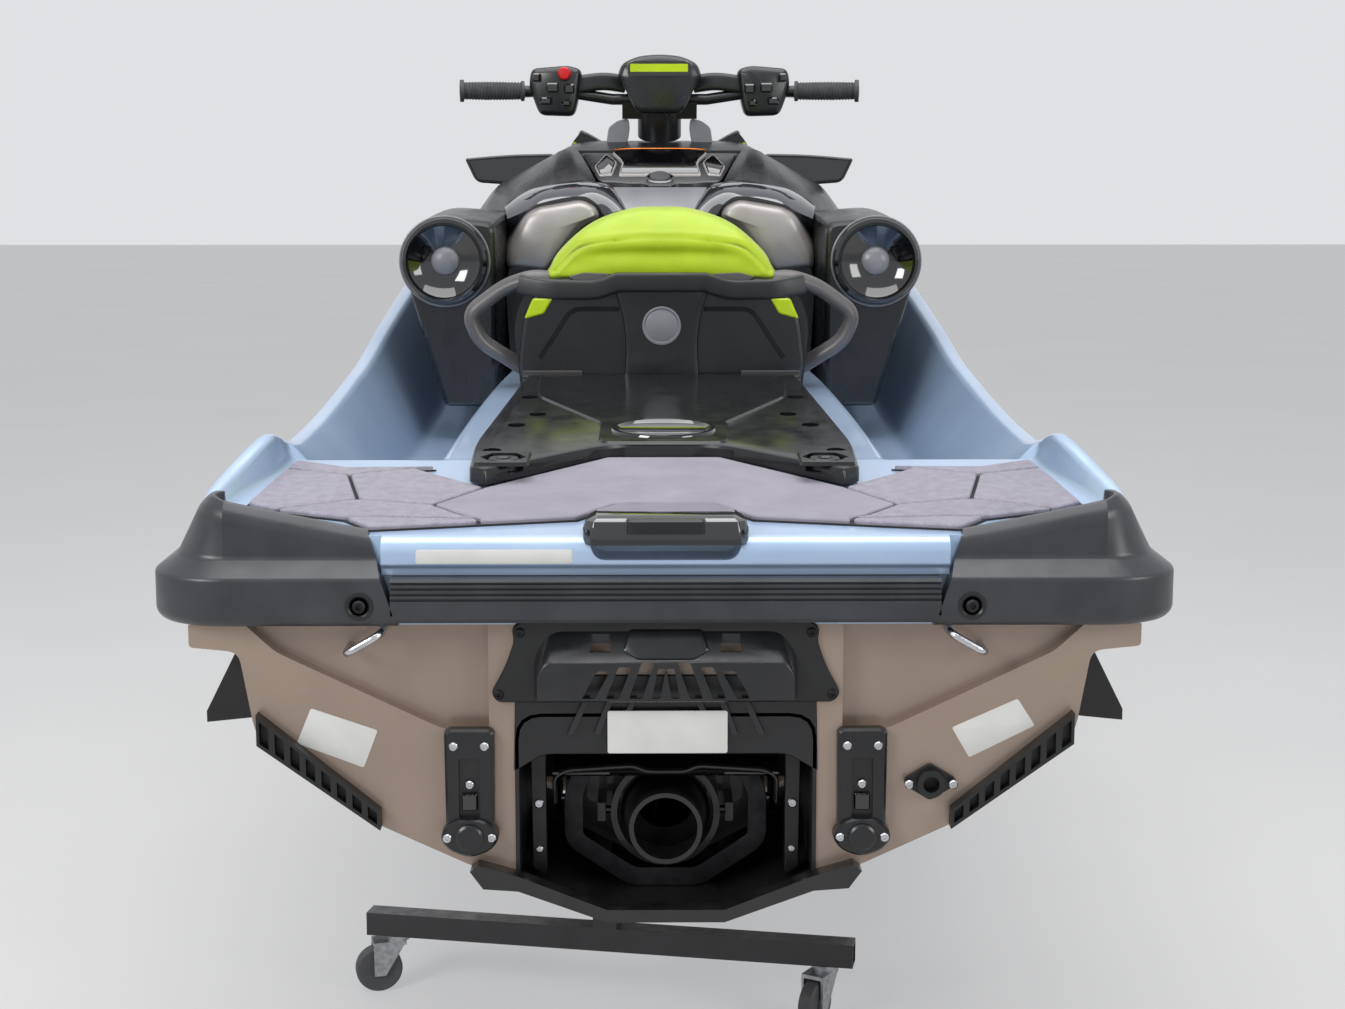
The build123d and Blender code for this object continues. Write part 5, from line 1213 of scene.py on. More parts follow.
# %% [markdown]
# A raised Y with a bare place for a badge stands on the plate, with a pad round each
# anchor. They are moulded on, so the same slots cut them.
# %% Raised Y and anchor pads
RAISED_Y = ((92, -1290), (92, -1128), (196, -880), (205, -650))
RAISED_RADII = both_radii((26, 22, 40, 4))
raised = [
    on_pedestal(drawn(both_sides(RAISED_Y), RAISED_RADII, d), z) for d, z in ((0, 21), (4, 25))
]
PAD_PLAN = ((178, -1362), (178, -1450), (252, -1450), (252, -1362))
pad_layers = [on_pedestal(drawn(PAD_PLAN, 8, d), z) for d, z in ((0, 21), (2.5, 26))]
trim_parts = [stacked(*raised), *pair(stacked(*pad_layers))]
cargo_trim = make_piece(
    "cargo_deck_raised", trim_parts, cargo_plastic, "gloss_black", "cargo_deck"
)
carve(
    cargo_trim,
    [
        *pair(pedestal_block(hexagon, 8, 40)),
        pedestal_block(circle(BADGE_R, 48) + (0, BADGE_Y), 22, 40),
    ],
)
carve(cargo_trim, [pedestal_block(finger_slot, 12, 40)])

# %% [markdown]
# Turned pieces are easiest to describe flat, at the origin. So they are turned there,
# tilted by the pedestal's angle and set in place.
# %% Badge place and anchor sockets
tilt = math.atan(PEDESTAL_SLOPE)


def laid_down(part, x, y, height):
    """A part modelled flat at the origin, tilted and set on the pedestal."""
    points, faces = part
    points = np.asarray(points)
    z = PLATFORM_FRONT_Z + PEDESTAL_SLOPE * (y - WELL_START_Y) + height
    turned = np.column_stack(
        [
            points[:, 0],
            points[:, 1] * math.cos(tilt) - points[:, 2] * math.sin(tilt),
            points[:, 1] * math.sin(tilt) + points[:, 2] * math.cos(tilt),
        ]
    )
    return turned + (x, y, z), faces


ring = lathe(
    [(0.1, 0), (60, 0), (64, 2), (68, 5), (74, 5), (76, 1), (76, -3), (0.1, -3)], (0, 0, 0),
    "Z", 64,
)
make_piece("cargo_badge_blank", [laid_down(ring, 0, BADGE_Y, 23)], gloss_black, "gloss_black")
socket = [(9, -10), (9, 0), (12, 2.5), (19, 2.5), (22, 0), (22, -12), (0.1, -12), (0.1, -10)]
sockets = [
    laid_down(lathe(socket, (0, 0, 0), "Z", 32), side * ANCHOR_X, ANCHOR_Y, 21)
    for side in (-1, 1)
]
make_piece("anchor_sockets", sockets, satin_black, "gloss_black")

# %% [markdown]
# The seat stands on a lofted base. Only its stern end shows, so the panels on that
# end are built up astern in thin layers.
# %% Seat base
SEAT_REAR_Y = -635.0
# Columns: y, foot x, foot z, waist x and z, shoulder x and z, top x and z
BASE_SECTIONS = (
    (-635, 236, 975, 247, 1077, 232, 1128, 186, 1158),
    (-400, 234, 975, 245, 1077, 230, 1124, 184, 1152),
    (-160, 213, 975, 220, 1070, 203, 1116, 148, 1144),
)
base_ys = np.linspace(-632, -160, 14)
base_row = smooth_rows(BASE_SECTIONS, base_ys)
base_half = base_row.reshape(14, 4, 2)
base_outline = rounded(two_sided(base_half), both_radii((4, 60, 30, 24)))
PANEL_HALF = ((232, 976), (240, 1011), (231, 1088), (214, 1126), (190, 1156), (84, 1160))
PANEL_RADII = both_radii((6, 30, 30, 20, 10, 4))
COLUMN_HALF = ((66, 976), (60, 1040), (66, 1100), (88, 1160))
COLUMN_RADII = both_radii((4, 30, 30, 6))


def standing(corners, radii, layers):
    """An x-z outline built up in y: each layer is (y, how far it is drawn in)."""
    outlines = np.stack([drawn(corners, radii, distance) for _, distance in layers])
    return skin(rings_at([y for y, _ in layers], outlines))


make_piece(
    "seat_base_skin", [skin(rings_at(base_ys, base_outline))], satin_black, "black_plastic",
    "seat_base",
)

# %% [markdown]
# The panel has two angled grooves, which a section swept along a bent path cuts out
# of it. The column stands proud of it.
# %% Rear panel and column
PANEL_LAYERS = ((SEAT_REAR_Y - 8, 7), (SEAT_REAR_Y - 5, 2), (SEAT_REAR_Y + 4, 0))
panel = make_piece(
    "seat_rear_panel", [standing(both_sides(PANEL_HALF), PANEL_RADII, PANEL_LAYERS)],
    satin_black, "black_plastic",
)
groove_section = [(-3.5, -8), (3.5, -8), (2.0, 8), (-2.0, 8)]
groove_path = bent([(70, -643, 1106), (149, -643, 1106), (203, -643, 1024)], 16)
carve(
    panel, pair(sweep(groove_path, np.array(groove_section)[:, ::-1] * (0.5, 1.0), (0, 1, 0)))
)
COLUMN_LAYERS = ((SEAT_REAR_Y - 16, 9), (SEAT_REAR_Y - 14, 3), (SEAT_REAR_Y - 4, 0))
make_piece(
    "seat_rear_column", [standing(both_sides(COLUMN_HALF), COLUMN_RADII, COLUMN_LAYERS)],
    satin_black, "black_plastic",
)

# %% [markdown]
# The round badge is a bare disc. Below each grab handle sits a lime insert, and at
# the bottom are two stepped feet.
# %% Badge blank, lime tips and feet
badge = [(0.1, -2.4), (24, -2.4), (27, -1.2), (29, -3.6), (32, -3.2), (32, 6), (0.1, 6)]
make_piece(
    "seat_badge_blank", [lathe(badge, (0, SEAT_REAR_Y - 15, 1079), "Y", 48)], satin_grey,
    "satin_grey",
)
TIP = ((180, 1124), (214, 1124), (229, 1089), (195, 1098))
TIP_LAYERS = ((SEAT_REAR_Y - 12, 3), (SEAT_REAR_Y - 10, 0.6), (SEAT_REAR_Y - 4, 0))
make_piece("seat_lime_tips", pair(standing(TIP, 5, TIP_LAYERS)), lime_plastic, "seat_lime")
foot_side = [
    (SEAT_REAR_Y - 4, 976), (SEAT_REAR_Y - 26, 978), (SEAT_REAR_Y - 24, 990),
    (SEAT_REAR_Y - 12, 994),
]
foot_side += [(SEAT_REAR_Y - 10, 1003), (SEAT_REAR_Y - 4, 1006)]
feet = pair(
    lengthwise(foot_side, 132, 232),
    lengthwise(np.array(foot_side) * (1, 0.4) + (3, 588), 150, 214),
)
make_piece("seat_base_feet", feet, black_plastic, "black_plastic", bevel_mm=2.0)

# %% [markdown]
# The seats are foam under welded marine vinyl. A cushion is crowned everywhere, so
# its section is carried fore and aft and then closed by domes at both ends. The rear
# one folds over a seam, below which a band faces astern.
# %% Sections of the cushions
# Columns: y, foot x and z, shoulder x and z, crown x and z, top x and z
REAR_SEAT = (
    (-626, 191, 1156, 170, 1180, 140, 1206, 56, 1216),
    (-612, 196, 1155, 172, 1190, 132, 1228, 54, 1240),
    (-585, 199, 1155, 171, 1196, 122, 1240, 50, 1263),
    (-520, 203, 1153, 171, 1196, 121, 1242, 50, 1267),
    (-330, 205, 1148, 172, 1188, 118, 1226, 50, 1246),
    (-272, 204, 1146, 168, 1176, 115, 1206, 50, 1218),
)
FRONT_SEAT = (
    (-252, 202, 1144, 166, 1170, 112, 1192, 50, 1202),
    (-100, 180, 1132, 150, 1164, 104, 1206, 48, 1216),
    (-54, 152, 1122, 138, 1158, 98, 1210, 46, 1222),
)
SEAT_RADII = (10, 40, 46, 70)


def dome(outline, y, depth, steps=5):
    """Rings that close an end: the outline shrinks by a cosine as y moves by a sine."""
    centre = outline.mean(axis=0)
    angle = np.linspace(0, np.pi / 2, steps + 1)[1:-1]
    shrunk = centre + (outline - centre) * np.cos(angle)[:, None, None]
    return rings_at(y + depth * np.sin(angle), shrunk)


def cushion_rings(table, rows, rear_dome, front_dome):
    """Rings of a cushion: a dome astern, the table's sections, a dome ahead."""
    ys = np.linspace(table[0][0], table[-1][0], rows)
    half = smooth_rows(table, ys).reshape(rows, 4, 2)
    outline = rounded(two_sided(half), both_radii(SEAT_RADII), 6)
    rear = dome(outline[0], ys[0], -rear_dome)[::-1]
    front = dome(outline[-1], ys[-1], front_dome)
    return np.concatenate([rear, rings_at(ys, outline), front])


print("rear cushion has rings of", cushion_rings(REAR_SEAT, 40, 10, 6).shape[:2])

# %% [markdown]
# A cushion could be shaped by hand. Foam under a tight cover bulges evenly, as cloth
# does with air behind it, so the cloth solver works the swelling out. The cover is
# held down at its foot, and so nothing moves there.
# %% Blow up a cushion


VOXEL_MM = 5.0
CLOTH_FRAMES, CLOTH_PRESSURE = 20, 4.0
FADE_MM = 25


def blown_up(piece, cap_mm, floor_mm):
    """Swells a cushion as cloth with air in it, and keeps the swollen mesh.

    The mesh is remeshed in voxels and runs some frames of cloth under pressure without
    gravity. A move longer than the cap is shortened to the cap, and it fades out over
    the lowest FADE_MM above the floor, so the cushion stays flat where it rests.
    """
    material = piece.data.materials[0]
    remesh = piece.modifiers.new("remesh", "REMESH")
    remesh.mode = "VOXEL"
    remesh.voxel_size = VOXEL_MM * MM
    remesh.use_smooth_shade = True
    keep_modified(piece, remesh)
    start = mesh_points(piece.data)
    scene = bpy.context.scene
    cloth = piece.modifiers.new("cloth", "CLOTH")
    cloth.settings.quality = 4
    cloth.settings.use_pressure = True
    cloth.settings.uniform_pressure_force = CLOTH_PRESSURE
    cloth.settings.effector_weights.gravity = 0.0
    for moment in range(1, CLOTH_FRAMES + 1):
        scene.frame_set(moment)
    graph = bpy.context.evaluated_depsgraph_get()
    move = mesh_points(piece.evaluated_get(graph).data) - start
    piece.modifiers.remove(cloth)
    scene.frame_set(1)
    length = np.linalg.norm(move, axis=1, keepdims=True) + 1e-9
    move *= np.minimum(length, cap_mm * MM) / length
    move *= np.clip((start[:, 2:] - floor_mm * MM) / (FADE_MM * MM), 0, 1)
    set_points(piece.data, start + move)
    finer = piece.modifiers.new("finer", "SUBSURF")
    finer.levels = 1
    keep_modified(piece, finer)
    piece.data.materials.clear()
    piece.data.materials.append(material)
    print(piece.name, "swelled by up to", round(float(np.abs(move).max()) / MM, 1), "mm")


print("cloth runs", CLOTH_FRAMES, "frames at pressure", CLOTH_PRESSURE)

# %% [markdown]
# Where two panels are welded, the cover is pulled down into the foam. A cord of its
# own would stand proud instead, so the points near the seam's line are moved.
# %% Weld the seams


SEAM_DEPTH_MM, SEAM_WIDTH_MM = 2.2, 2.6
SWELL_MM, SWELL_PLACE_MM, SWELL_WIDTH_MM = 1.2, 11, 6


def welded_seams(mesh, lines):
    """Sinks welded seams into a cushion and marks them for painted shade in its material.

    A point sinks against its normal by the depth times exp(-(d / width)^2), where d is
    its distance to the nearest seam line, and the vinyl beside the seam swells a little.
    """
    points = mesh_points(mesh) / MM
    normals = np.empty(len(mesh.vertices) * 3)
    mesh.vertices.foreach_get("normal", normals)
    nearest = np.full(len(points), 1e9)
    for line in lines:
        line = np.asarray(line, float)
        for start, end in zip(line[:-1], line[1:]):
            run = end - start
            t = np.clip((points - start) @ run / (run @ run), 0, 1)[:, None]
            nearest = np.minimum(nearest, np.linalg.norm(points - start - t * run, axis=1))
    sink = SEAM_DEPTH_MM * np.exp(-((nearest / SEAM_WIDTH_MM) ** 2))
    swell = SWELL_MM * np.exp(-(((nearest - SWELL_PLACE_MM) / SWELL_WIDTH_MM) ** 2))
    points += (swell - sink)[:, None] * normals.reshape(-1, 3)
    set_points(mesh, points * MM)
    # The seam attribute carries the painted shade along the bottom of the seam
    seam = mesh.attributes.new("seam", "FLOAT", "POINT")
    shade = 0.75 * np.exp(-((nearest / (0.6 * SEAM_WIDTH_MM)) ** 2))
    seam.data.foreach_set("value", shade)


def section_line(table, y, lift):
    """The cushion's outline at one y, from foot to foot, as points for a seam."""
    half = smooth_rows(table, [y]).reshape(1, 4, 2)
    outline = rounded(two_sided(half), both_radii(SEAT_RADII), 6)[0]
    keep = outline[outline[:, 1] > outline[:, 1].min() + lift]
    return np.column_stack([keep[:, 0], np.full(len(keep), y), keep[:, 1]])


print("a seam sinks", SEAM_DEPTH_MM, "mm")

# %% [markdown]
# The rear cushion also has a hollow under its seam, a move of its points by a
# bell-shaped weight.
# %% Two cushions
rear_cushion = make_piece(
    "seat_cushion_rear", [skin(cushion_rings(REAR_SEAT, 40, 10, 6))], seat_lime, "seat_lime",
    "seat_rear", sharp_deg=60,
)
front_cushion = make_piece(
    "seat_cushion_front", [skin(cushion_rings(FRONT_SEAT, 30, 6, 6))], seat_black, "seat_black",
    "seat_front", sharp_deg=60,
)
blown_up(rear_cushion, 5, 1156)
blown_up(front_cushion, 4, 1146)
rear_points = mesh_points(rear_cushion.data) / MM
behind = np.clip((-618 - rear_points[:, 1]) / 8, 0, 1)
hollow = np.exp(-(((rear_points[:, 2] - 1197) / 11) ** 2))
hollow = hollow * np.clip((150 - np.abs(rear_points[:, 0])) / 50, 0, 1)
rear_points[:, 1] += 5.0 * behind * hollow
set_points(rear_cushion.data, rear_points * MM)
welded_seams(rear_cushion.data, [section_line(REAR_SEAT, -624, 14)])
side_seam = [
    (x, y, z) for y, x, z in ((-250, 192, 1160), (-150, 174, 1153), (-56, 146, 1150))
]
rear_line = section_line(FRONT_SEAT, -222, 16)
welded_seams(front_cushion.data, [rear_line, side_seam, np.array(side_seam) * (-1, 1, 1)])

# %% [markdown]
# Each handle is a bent rod, oval in section, that swings out and comes back to the
# base, so an oval is swept along its path. A darker bar joins the two.
# %% Grab handles
GRAB_PATH = (
    (176, -600, 1152), (214, -618, 1158), (262, -606, 1142), (324, -606, 1096),
    (306, -600, 1050), (236, -580, 1004),
)
grab_path = bent(GRAB_PATH, (24, 44, 26, 26))
grab_section = circle(1.0, 18) * (13, 18)
make_piece(
    "grab_handle_loops", pair(sweep(grab_path, grab_section, (0, 1, 0.2))), warm_grey,
    "satin_grey", "grab_handles",
)
BAR_HALF_PATH = ((236, -622, 1146), (190, -640, 1138), (110, -646, 1137), (72, -650, 1150))
bar_half = bent(BAR_HALF_PATH, (20, 30))
bar_path = np.concatenate([bar_half, bar_half[::-1] * (-1, 1, 1)])
bar_section = round_one([(-9, -17), (9, -17), (11, 12), (-9, 17)], 7)
make_piece(
    "grab_handle_bar", [sweep(bar_path, bar_section[:, [1, 0]], (0, 1, 0))], black_plastic,
    "black_plastic",
)
strip = ((84, 1164), (104, 1149), (140, 1151), (156, 1159), (130, 1166))
strip_outline = round_one(strip, 5)
make_piece(
    "seat_grey_strips", pair(across(strip_outline, -642, -622)), warm_grey, "satin_grey",
    bevel_mm=1.5,
)

# %% [markdown]
# The console is a broad, smooth moulding between the knees. The lid's place, the
# glovebox and the seat's nose are cut out of its loft by blocks that follow its top.
# %% Console
# Columns: y, foot x and z, waist x and z, shoulder x and z, top x and z
CONSOLE_SECTIONS = (
    (-150, 284, 990, 292, 1130, 244, 1250, 150, 1268),
    (-40, 308, 1000, 316, 1146, 264, 1262, 130, 1298),
    (100, 360, 1020, 364, 1170, 298, 1290, 180, 1358),
    (235, 410, 1040, 400, 1190, 330, 1300, 160, 1388),
    (340, 430, 1050, 410, 1200, 340, 1290, 150, 1380),
    (480, 440, 1060, 400, 1190, 300, 1260, 130, 1318),
)
LID_REAR_Y, LID_HINGE_Y, LID_REAR_HALF, LID_FRONT_HALF = -36.0, 128.0, 116.0, 158.0


def console_top(y):
    """Height of the console's flat top along its length."""
    rows = np.array(CONSOLE_SECTIONS, float)
    return np.interp(y, rows[:, 0], rows[:, 8])


def lid_plan(grow):
    """The lid's outline from above, grown or drawn in."""
    half = [
        (LID_REAR_HALF + grow, LID_REAR_Y - grow), (LID_REAR_HALF + grow + 4, LID_REAR_Y + 28)
    ]
    half += [(LID_FRONT_HALF + grow, LID_HINGE_Y + grow)]
    return both_sides(half)


def lid_block(grow, low, high):
    """A block in the lid's outline, between two heights above the console's top."""
    plan = lid_plan(grow)
    top = console_top(plan[:, 1])
    return stacked((plan, top + low), (plan, top + high))


console_ys = np.concatenate([np.linspace(-150, 340, 40), np.linspace(352, 480, 8)])
console_half = smooth_rows(CONSOLE_SECTIONS, console_ys).reshape(len(console_ys), 4, 2)
console_outline = rounded(two_sided(console_half), both_radii((4, 40, 26, 22)))
console = make_piece(
    "console_skin", [skin(rings_at(console_ys, console_outline))], satin_black, "black_plastic",
    "console",
)
carve(console, [lid_block(5, -24, 60)])
carve(console, [lid_block(-20, -120, 0)])
carve(console, [box_part((-172, -152, 900), (172, -48, 1300))])


# %% [markdown]
# The panels on the console are thin curved slabs. Two edges that run smoothly through
# a few points, and a bulge, describe one with fewer numbers than a table.
# %% Slabs between two edges


def slab(lower, upper, bulge, depth, steps=9):
    """A panel between two edges: it bulges by a parabola and has a back face.

    Along each rung the point is (1 - t) lower + t upper + 4 t (1 - t) bulge, and the
    back is the same rung moved by the depth.
    """
    lower, upper = np.asarray(lower, float), np.asarray(upper, float)
    t = np.linspace(0, 1, steps)[None, :, None]
    face = (
        1 - t
    ) * lower[:, None] + t * upper[:, None] + 4 * t * (1 - t) * np.asarray(bulge, float)
    back = face[:, ::-1] + np.asarray(depth, float)
    return skin(np.concatenate([face, back], axis=1))


def along(points, count):
    """A smooth curve through a few points: monotone cubics over the share of length."""
    points = np.asarray(points, float)
    length = np.concatenate([[0], np.cumsum(np.linalg.norm(np.diff(points, axis=0), axis=1))])
    return smooth_rows(np.column_stack([length, points]), np.linspace(0, length[-1], count))


print(
    "a short slab has", len(slab([(0, 0, 0), (1, 0, 0)], [(0, 0, 1), (1, 0, 1)], 0, 1)[1]),
    "faces",
)

# %% [markdown]
# Each knee panel is a lacquered pillow beside the seat. It has one outline from
# astern, so it is layered along y and closed by a dome.
# %% Knee panels
KNEE_OUTLINE = ((289, 1148), (289, 1178), (254, 1250), (230, 1264), (146, 1278), (119, 1263))
KNEE_OUTLINE += ((112, 1244), (150, 1226), (210, 1142))
KNEE_RADII = (12, 26, 16, 24, 20, 14, 10, 30, 14)
knee_outlines = [drawn(KNEE_OUTLINE, KNEE_RADII, distance) for distance in (7, 2, 0)]
knee_front = knee_outlines[2] * (1.062, 1.0) + (0, 14)
knee_rings = np.concatenate(
    [
        dome(knee_outlines[0], -160, -10, 8)[::-1],
        rings_at([-160, -154, -146, -40], np.stack([*knee_outlines, knee_front])),
    ]
)
make_piece(
    "knee_panels_silver", pair(skin(knee_rings)), silver_lacquer, "satin_grey", "knee_panels",
    sharp_deg=50,
)

# %% [markdown]
# A graphite panel arches over each knee panel up to the lid. Between the two the
# centre is silver grey, and beside the lid lie two dark wings.
# %% Arches, centre and wings
ARCH_LOWER = (
    (288, -128, 1240), (256, -150, 1254), (231, -154, 1268), (146, -154, 1283),
    (116, -154, 1266), (104, -152, 1240),
)
ARCH_UPPER = (
    (300, -34, 1262), (268, -30, 1286), (232, -40, 1300), (150, -46, 1310), (98, -50, 1303),
    (60, -146, 1254),
)
arch = slab(along(ARCH_LOWER, 28), along(ARCH_UPPER, 28), (0, -8, 8), (0, 12, -14))
make_piece("console_graphite_arches", pair(arch), gloss_graphite, "gloss_black", sharp_deg=50)
centre_lower = np.column_stack(
    [
        np.linspace(-61, 61, 12), np.full(12, -148.0),
        1251 + 5 * np.cos(np.linspace(-1.4, 1.4, 12)),
    ]
)
centre_upper = np.column_stack(
    [np.linspace(-94, 94, 12), np.full(12, -47.0), np.full(12, 1298.0)]
)
centre = make_piece(
    "console_centre_silver", [slab(centre_lower, centre_upper, (0, -3, 5), (0, 12, -14))],
    satin_grey, "satin_grey",
)
WING_LOWER = ((250, -52, 1292), (196, -54, 1306), (150, -50, 1311), (122, -42, 1304))
WING_UPPER = ((214, 118, 1356), (200, 126, 1366), (184, 132, 1371), (165, 134, 1370))
wing = slab(along(WING_LOWER, 14), along(WING_UPPER, 14), (0, -2, 3), (0, 8, -16))
make_piece("console_wings", pair(wing), satin_dark, "black_plastic")

# %% [markdown]
# The lid rides on its own hinge, so it is a shell of its own, crowned by a parabola
# across and layered from one outline.
# %% Glovebox lid
LID_PLAN = (
    (20, -46), (32, -33), (56, -34), (80, -26), (112, -20), (119, -8), (150, 100), (157, 126)
)
LID_RADII = both_radii((6, 8, 10, 14, 12, 10, 12, 6))


def on_lid(outline, height):
    """An x-y outline with its heights above the lid's line, lower at the sides."""
    outline = np.asarray(outline)
    return outline, console_top(outline[:, 1]) + height - (outline[:, 0] / 60) ** 2


def lid_layer(corners, radii, low, high, edge, start=0.0):
    """A layer on the lid: straight sides, then a top drawn in by its edge."""
    full, top = (drawn(corners, radii, start + distance) for distance in (0, edge))
    return stacked(on_lid(full, low), on_lid(full, high - 1.5), on_lid(top, high))


make_piece(
    "lid_shell", [lid_layer(both_sides(LID_PLAN), LID_RADII, -18, 6, 3)], satin_dark,
    "black_plastic", "glovebox_lid", body="lid",
)

# %% [markdown]
# On the lid lie glossy panels with thin silver borders, a copper line and a textured
# latch. A border is its panel's outline, a little larger and lower.
# %% Panels and latch on the lid
LID_CENTRE = ((80, 2), (74, 52), (78, 68), (94, 104), (60, 118))
LID_SIDE = ((92, 6), (118, 2), (128, 44), (106, 98), (86, 62), (84, 54))
lid_centre = both_sides(LID_CENTRE)
borders = [lid_layer(lid_centre, 5, 2, 8, 1), *pair(lid_layer(LID_SIDE, 5, 2, 8, 1))]
make_piece("lid_borders", borders, silver_lacquer, "satin_grey", body="lid")
glosses = [
    lid_layer(lid_centre, 5, 4, 10, 1.5, 2.6), *pair(lid_layer(LID_SIDE, 5, 4, 10, 1.5, 2.6))
]
make_piece("lid_gloss_panels", glosses, gloss_black, "gloss_black", body="lid")
line_x = np.linspace(-92, 92, 21)
line_y = 121 - 12 * (line_x / 92) ** 4
copper_path = np.column_stack([line_x, line_y, console_top(line_y) + 9])
make_piece(
    "lid_copper_line", [sweep(copper_path, circle(1.6, 8))], copper, "satin_grey", body="lid"
)
latch_outline = circle(1.0, 32) * (20, 19) + (0, -14)
bezel_outline = circle(1.0, 32) * (27, 25) + (0, -15)
make_piece(
    "lid_latch_bezel", [lid_layer(bezel_outline, 0.1, 0, 9, 3)], gloss_black, "gloss_black",
    body="lid",
)
make_piece(
    "lid_latch", [lid_layer(latch_outline, 0.1, 4, 12, 2)], grip_rubber, "black_plastic",
    body="lid",
)

# %% [markdown]
# The pods are moulded shells in the foot wells' front corners, so they are lofted
# from a table, and a round hole is cut for the speaker.
# %% Speaker pods
# Columns: y, inner x, bottom z, bottom outer x, side x and z, shoulder x and z, top x
# and z, inner top z
POD_SECTIONS = (
    (-300, 300, 905, 394, 474, 1182, 455, 1219, 396, 1247, 1238),
    (-100, 290, 905, 404, 480, 1190, 462, 1230, 402, 1260, 1252),
    (200, 300, 950, 410, 484, 1200, 465, 1232, 415, 1254, 1246),
    (430, 330, 1000, 410, 478, 1180, 455, 1206, 410, 1218, 1208),
)
pod_ys = np.linspace(-300, 430, 30)
pod_row = smooth_rows(POD_SECTIONS, pod_ys)
pod_x = pod_row[:, [0, 2, 3, 5, 7, 0]]
pod_z = pod_row[:, [1, 1, 4, 6, 8, 9]]
POD_RADII = (10, 10, 22, 20, 24, 20)
pod_corners = np.stack([pod_x, pod_z], axis=-1)
pod_outline = rounded(pod_corners, POD_RADII)
pod_rear = np.stack([drawn(pod_corners[0], POD_RADII, distance) for distance in (8, 3)])
pod_rings = np.concatenate(
    [rings_at([-303, -300], pod_rear), rings_at(pod_ys + 6, pod_outline)[:-1]]
)
SPEAKER_X, SPEAKER_Z, SPEAKER_R = 390.0, 1169.0, 73.0
pods = make_piece(
    "speaker_pod_shells", pair(skin(pod_rings)), satin_black, "black_plastic", "speaker_pods"
)
speaker_hole = lathe(
    [(SPEAKER_R + 6, -330), (SPEAKER_R + 6, -284), (0.1, -284), (0.1, -330)],
    (SPEAKER_X, 0, SPEAKER_Z), "Y", 56,
)
carve(pods, pair(speaker_hole))

# %% [markdown]
# Each pod holds a glossy horn, a grey cap and a thin ring. All three are round, so
# a profile is turned round the speaker's axis.
# %% Speakers
HORN = (
    (79, 12), (79, -14), (76, -20), (70, -21), (66, -16), (60, -10), (40, -2), (26, 2),
    (0.1, 2), (0.1, 12),
)
horn = lathe([(r, y - 296) for r, y in HORN], (SPEAKER_X, 0, SPEAKER_Z), "Y", 72)
make_piece("speaker_horns", pair(horn), gloss_black, "gloss_black", "speakers")
CAP = ((26, 2), (24, -4), (17, -9), (8, -11), (0.1, -11.5), (0.1, 2))
make_piece(
    "speaker_caps",
    pair(lathe([(r, y - 296) for r, y in CAP], (SPEAKER_X, 0, SPEAKER_Z), "Y", 40)), satin_grey,
    "satin_grey",
)
rim_path = circle(80.5, 72) + (SPEAKER_X, SPEAKER_Z)
rim_path = np.column_stack([rim_path[:, 0], np.full(72, -306.0), rim_path[:, 1]])
rim_path = np.concatenate([rim_path, rim_path[:1]])
make_piece(
    "speaker_rims", pair(sweep(rim_path, circle(2.2, 8), (0, 1, 0))), satin_grey, "satin_grey"
)

# %% [markdown]
# Wide blade mirrors have one outline from astern and rounded rims, so they are
# layered along y: a satin shell and a glossy face.
# %% Mirrors and fins
MIRROR_OUTLINE = ((214, 1362), (312, 1360), (403, 1352), (380, 1303), (268, 1295))
MIRROR_RADII = (14, 60, 7, 14, 14)
MIRROR_LAYERS = ((308, 3), (312, 0), (340, 3), (352, 14))
make_piece(
    "mirror_shells", pair(standing(MIRROR_OUTLINE, MIRROR_RADII, MIRROR_LAYERS)), satin_black,
    "gloss_black", "mirrors",
)
mirror_face = standing(MIRROR_OUTLINE, MIRROR_RADII, ((305.5, 6.5), (309, 5)))
make_piece("mirror_faces", pair(mirror_face), gloss_black, "gloss_black")

# %% [markdown]
# Two fins with a lime accent and a bright rim, and two brackets for the steering
# column, are plates, carried straight along y.
# %% Fins and brackets
FIN_OUTLINE = (
    (92, 1368), (104, 1376), (144, 1399), (160, 1406), (176, 1386), (186, 1362), (184, 1350),
    (100, 1358),
)
fin_outline = round_one(FIN_OUTLINE, (3, 10, 10, 3, 6, 6, 3, 3))
make_piece(
    "console_fins", pair(across(fin_outline, 236, 250)), satin_black, "black_plastic",
    bevel_mm=2.0,
)
FIN_ACCENT = ((162, 1380), (174, 1386), (184, 1362), (168, 1360))
make_piece(
    "console_fin_accents", pair(across(round_one(FIN_ACCENT, 2), 233.5, 238)), lime_plastic,
    "seat_lime",
)
fin_rim = bent([(92, 232, 1371), (142, 232, 1400), (159, 232, 1408), (163, 234, 1401)], (14, 4))
make_piece(
    "console_fin_rims", pair(sweep(fin_rim, circle(1.8, 8), (0, 1, 0))), satin_grey,
    "satin_grey",
)
BRACKET = ((64, 1386), (60, 1412), (62, 1432), (84, 1428), (103, 1414), (108, 1376), (92, 1368))
make_piece(
    "column_brackets", pair(across(round_one(BRACKET, 7), 200, 212)), satin_grey, "satin_grey",
    bevel_mm=2.0,
)

# %% [markdown]
# Everything on the bar turns with it. A grip is a rubber sleeve whose radius changes
# along the bar, so a circle is swept along it with a radius for each ring.
# %% Grips
GRIP_START, GRIP_END, BAR_Z = 272.0, 399.0, 1486.0
grip_x = np.linspace(0, 1, 90)


def bar_y_at(x):
    """The bar sweeps back outboard of x = 200."""
    return 205 - 28 * np.clip((x - 200) / 200, 0, 1)


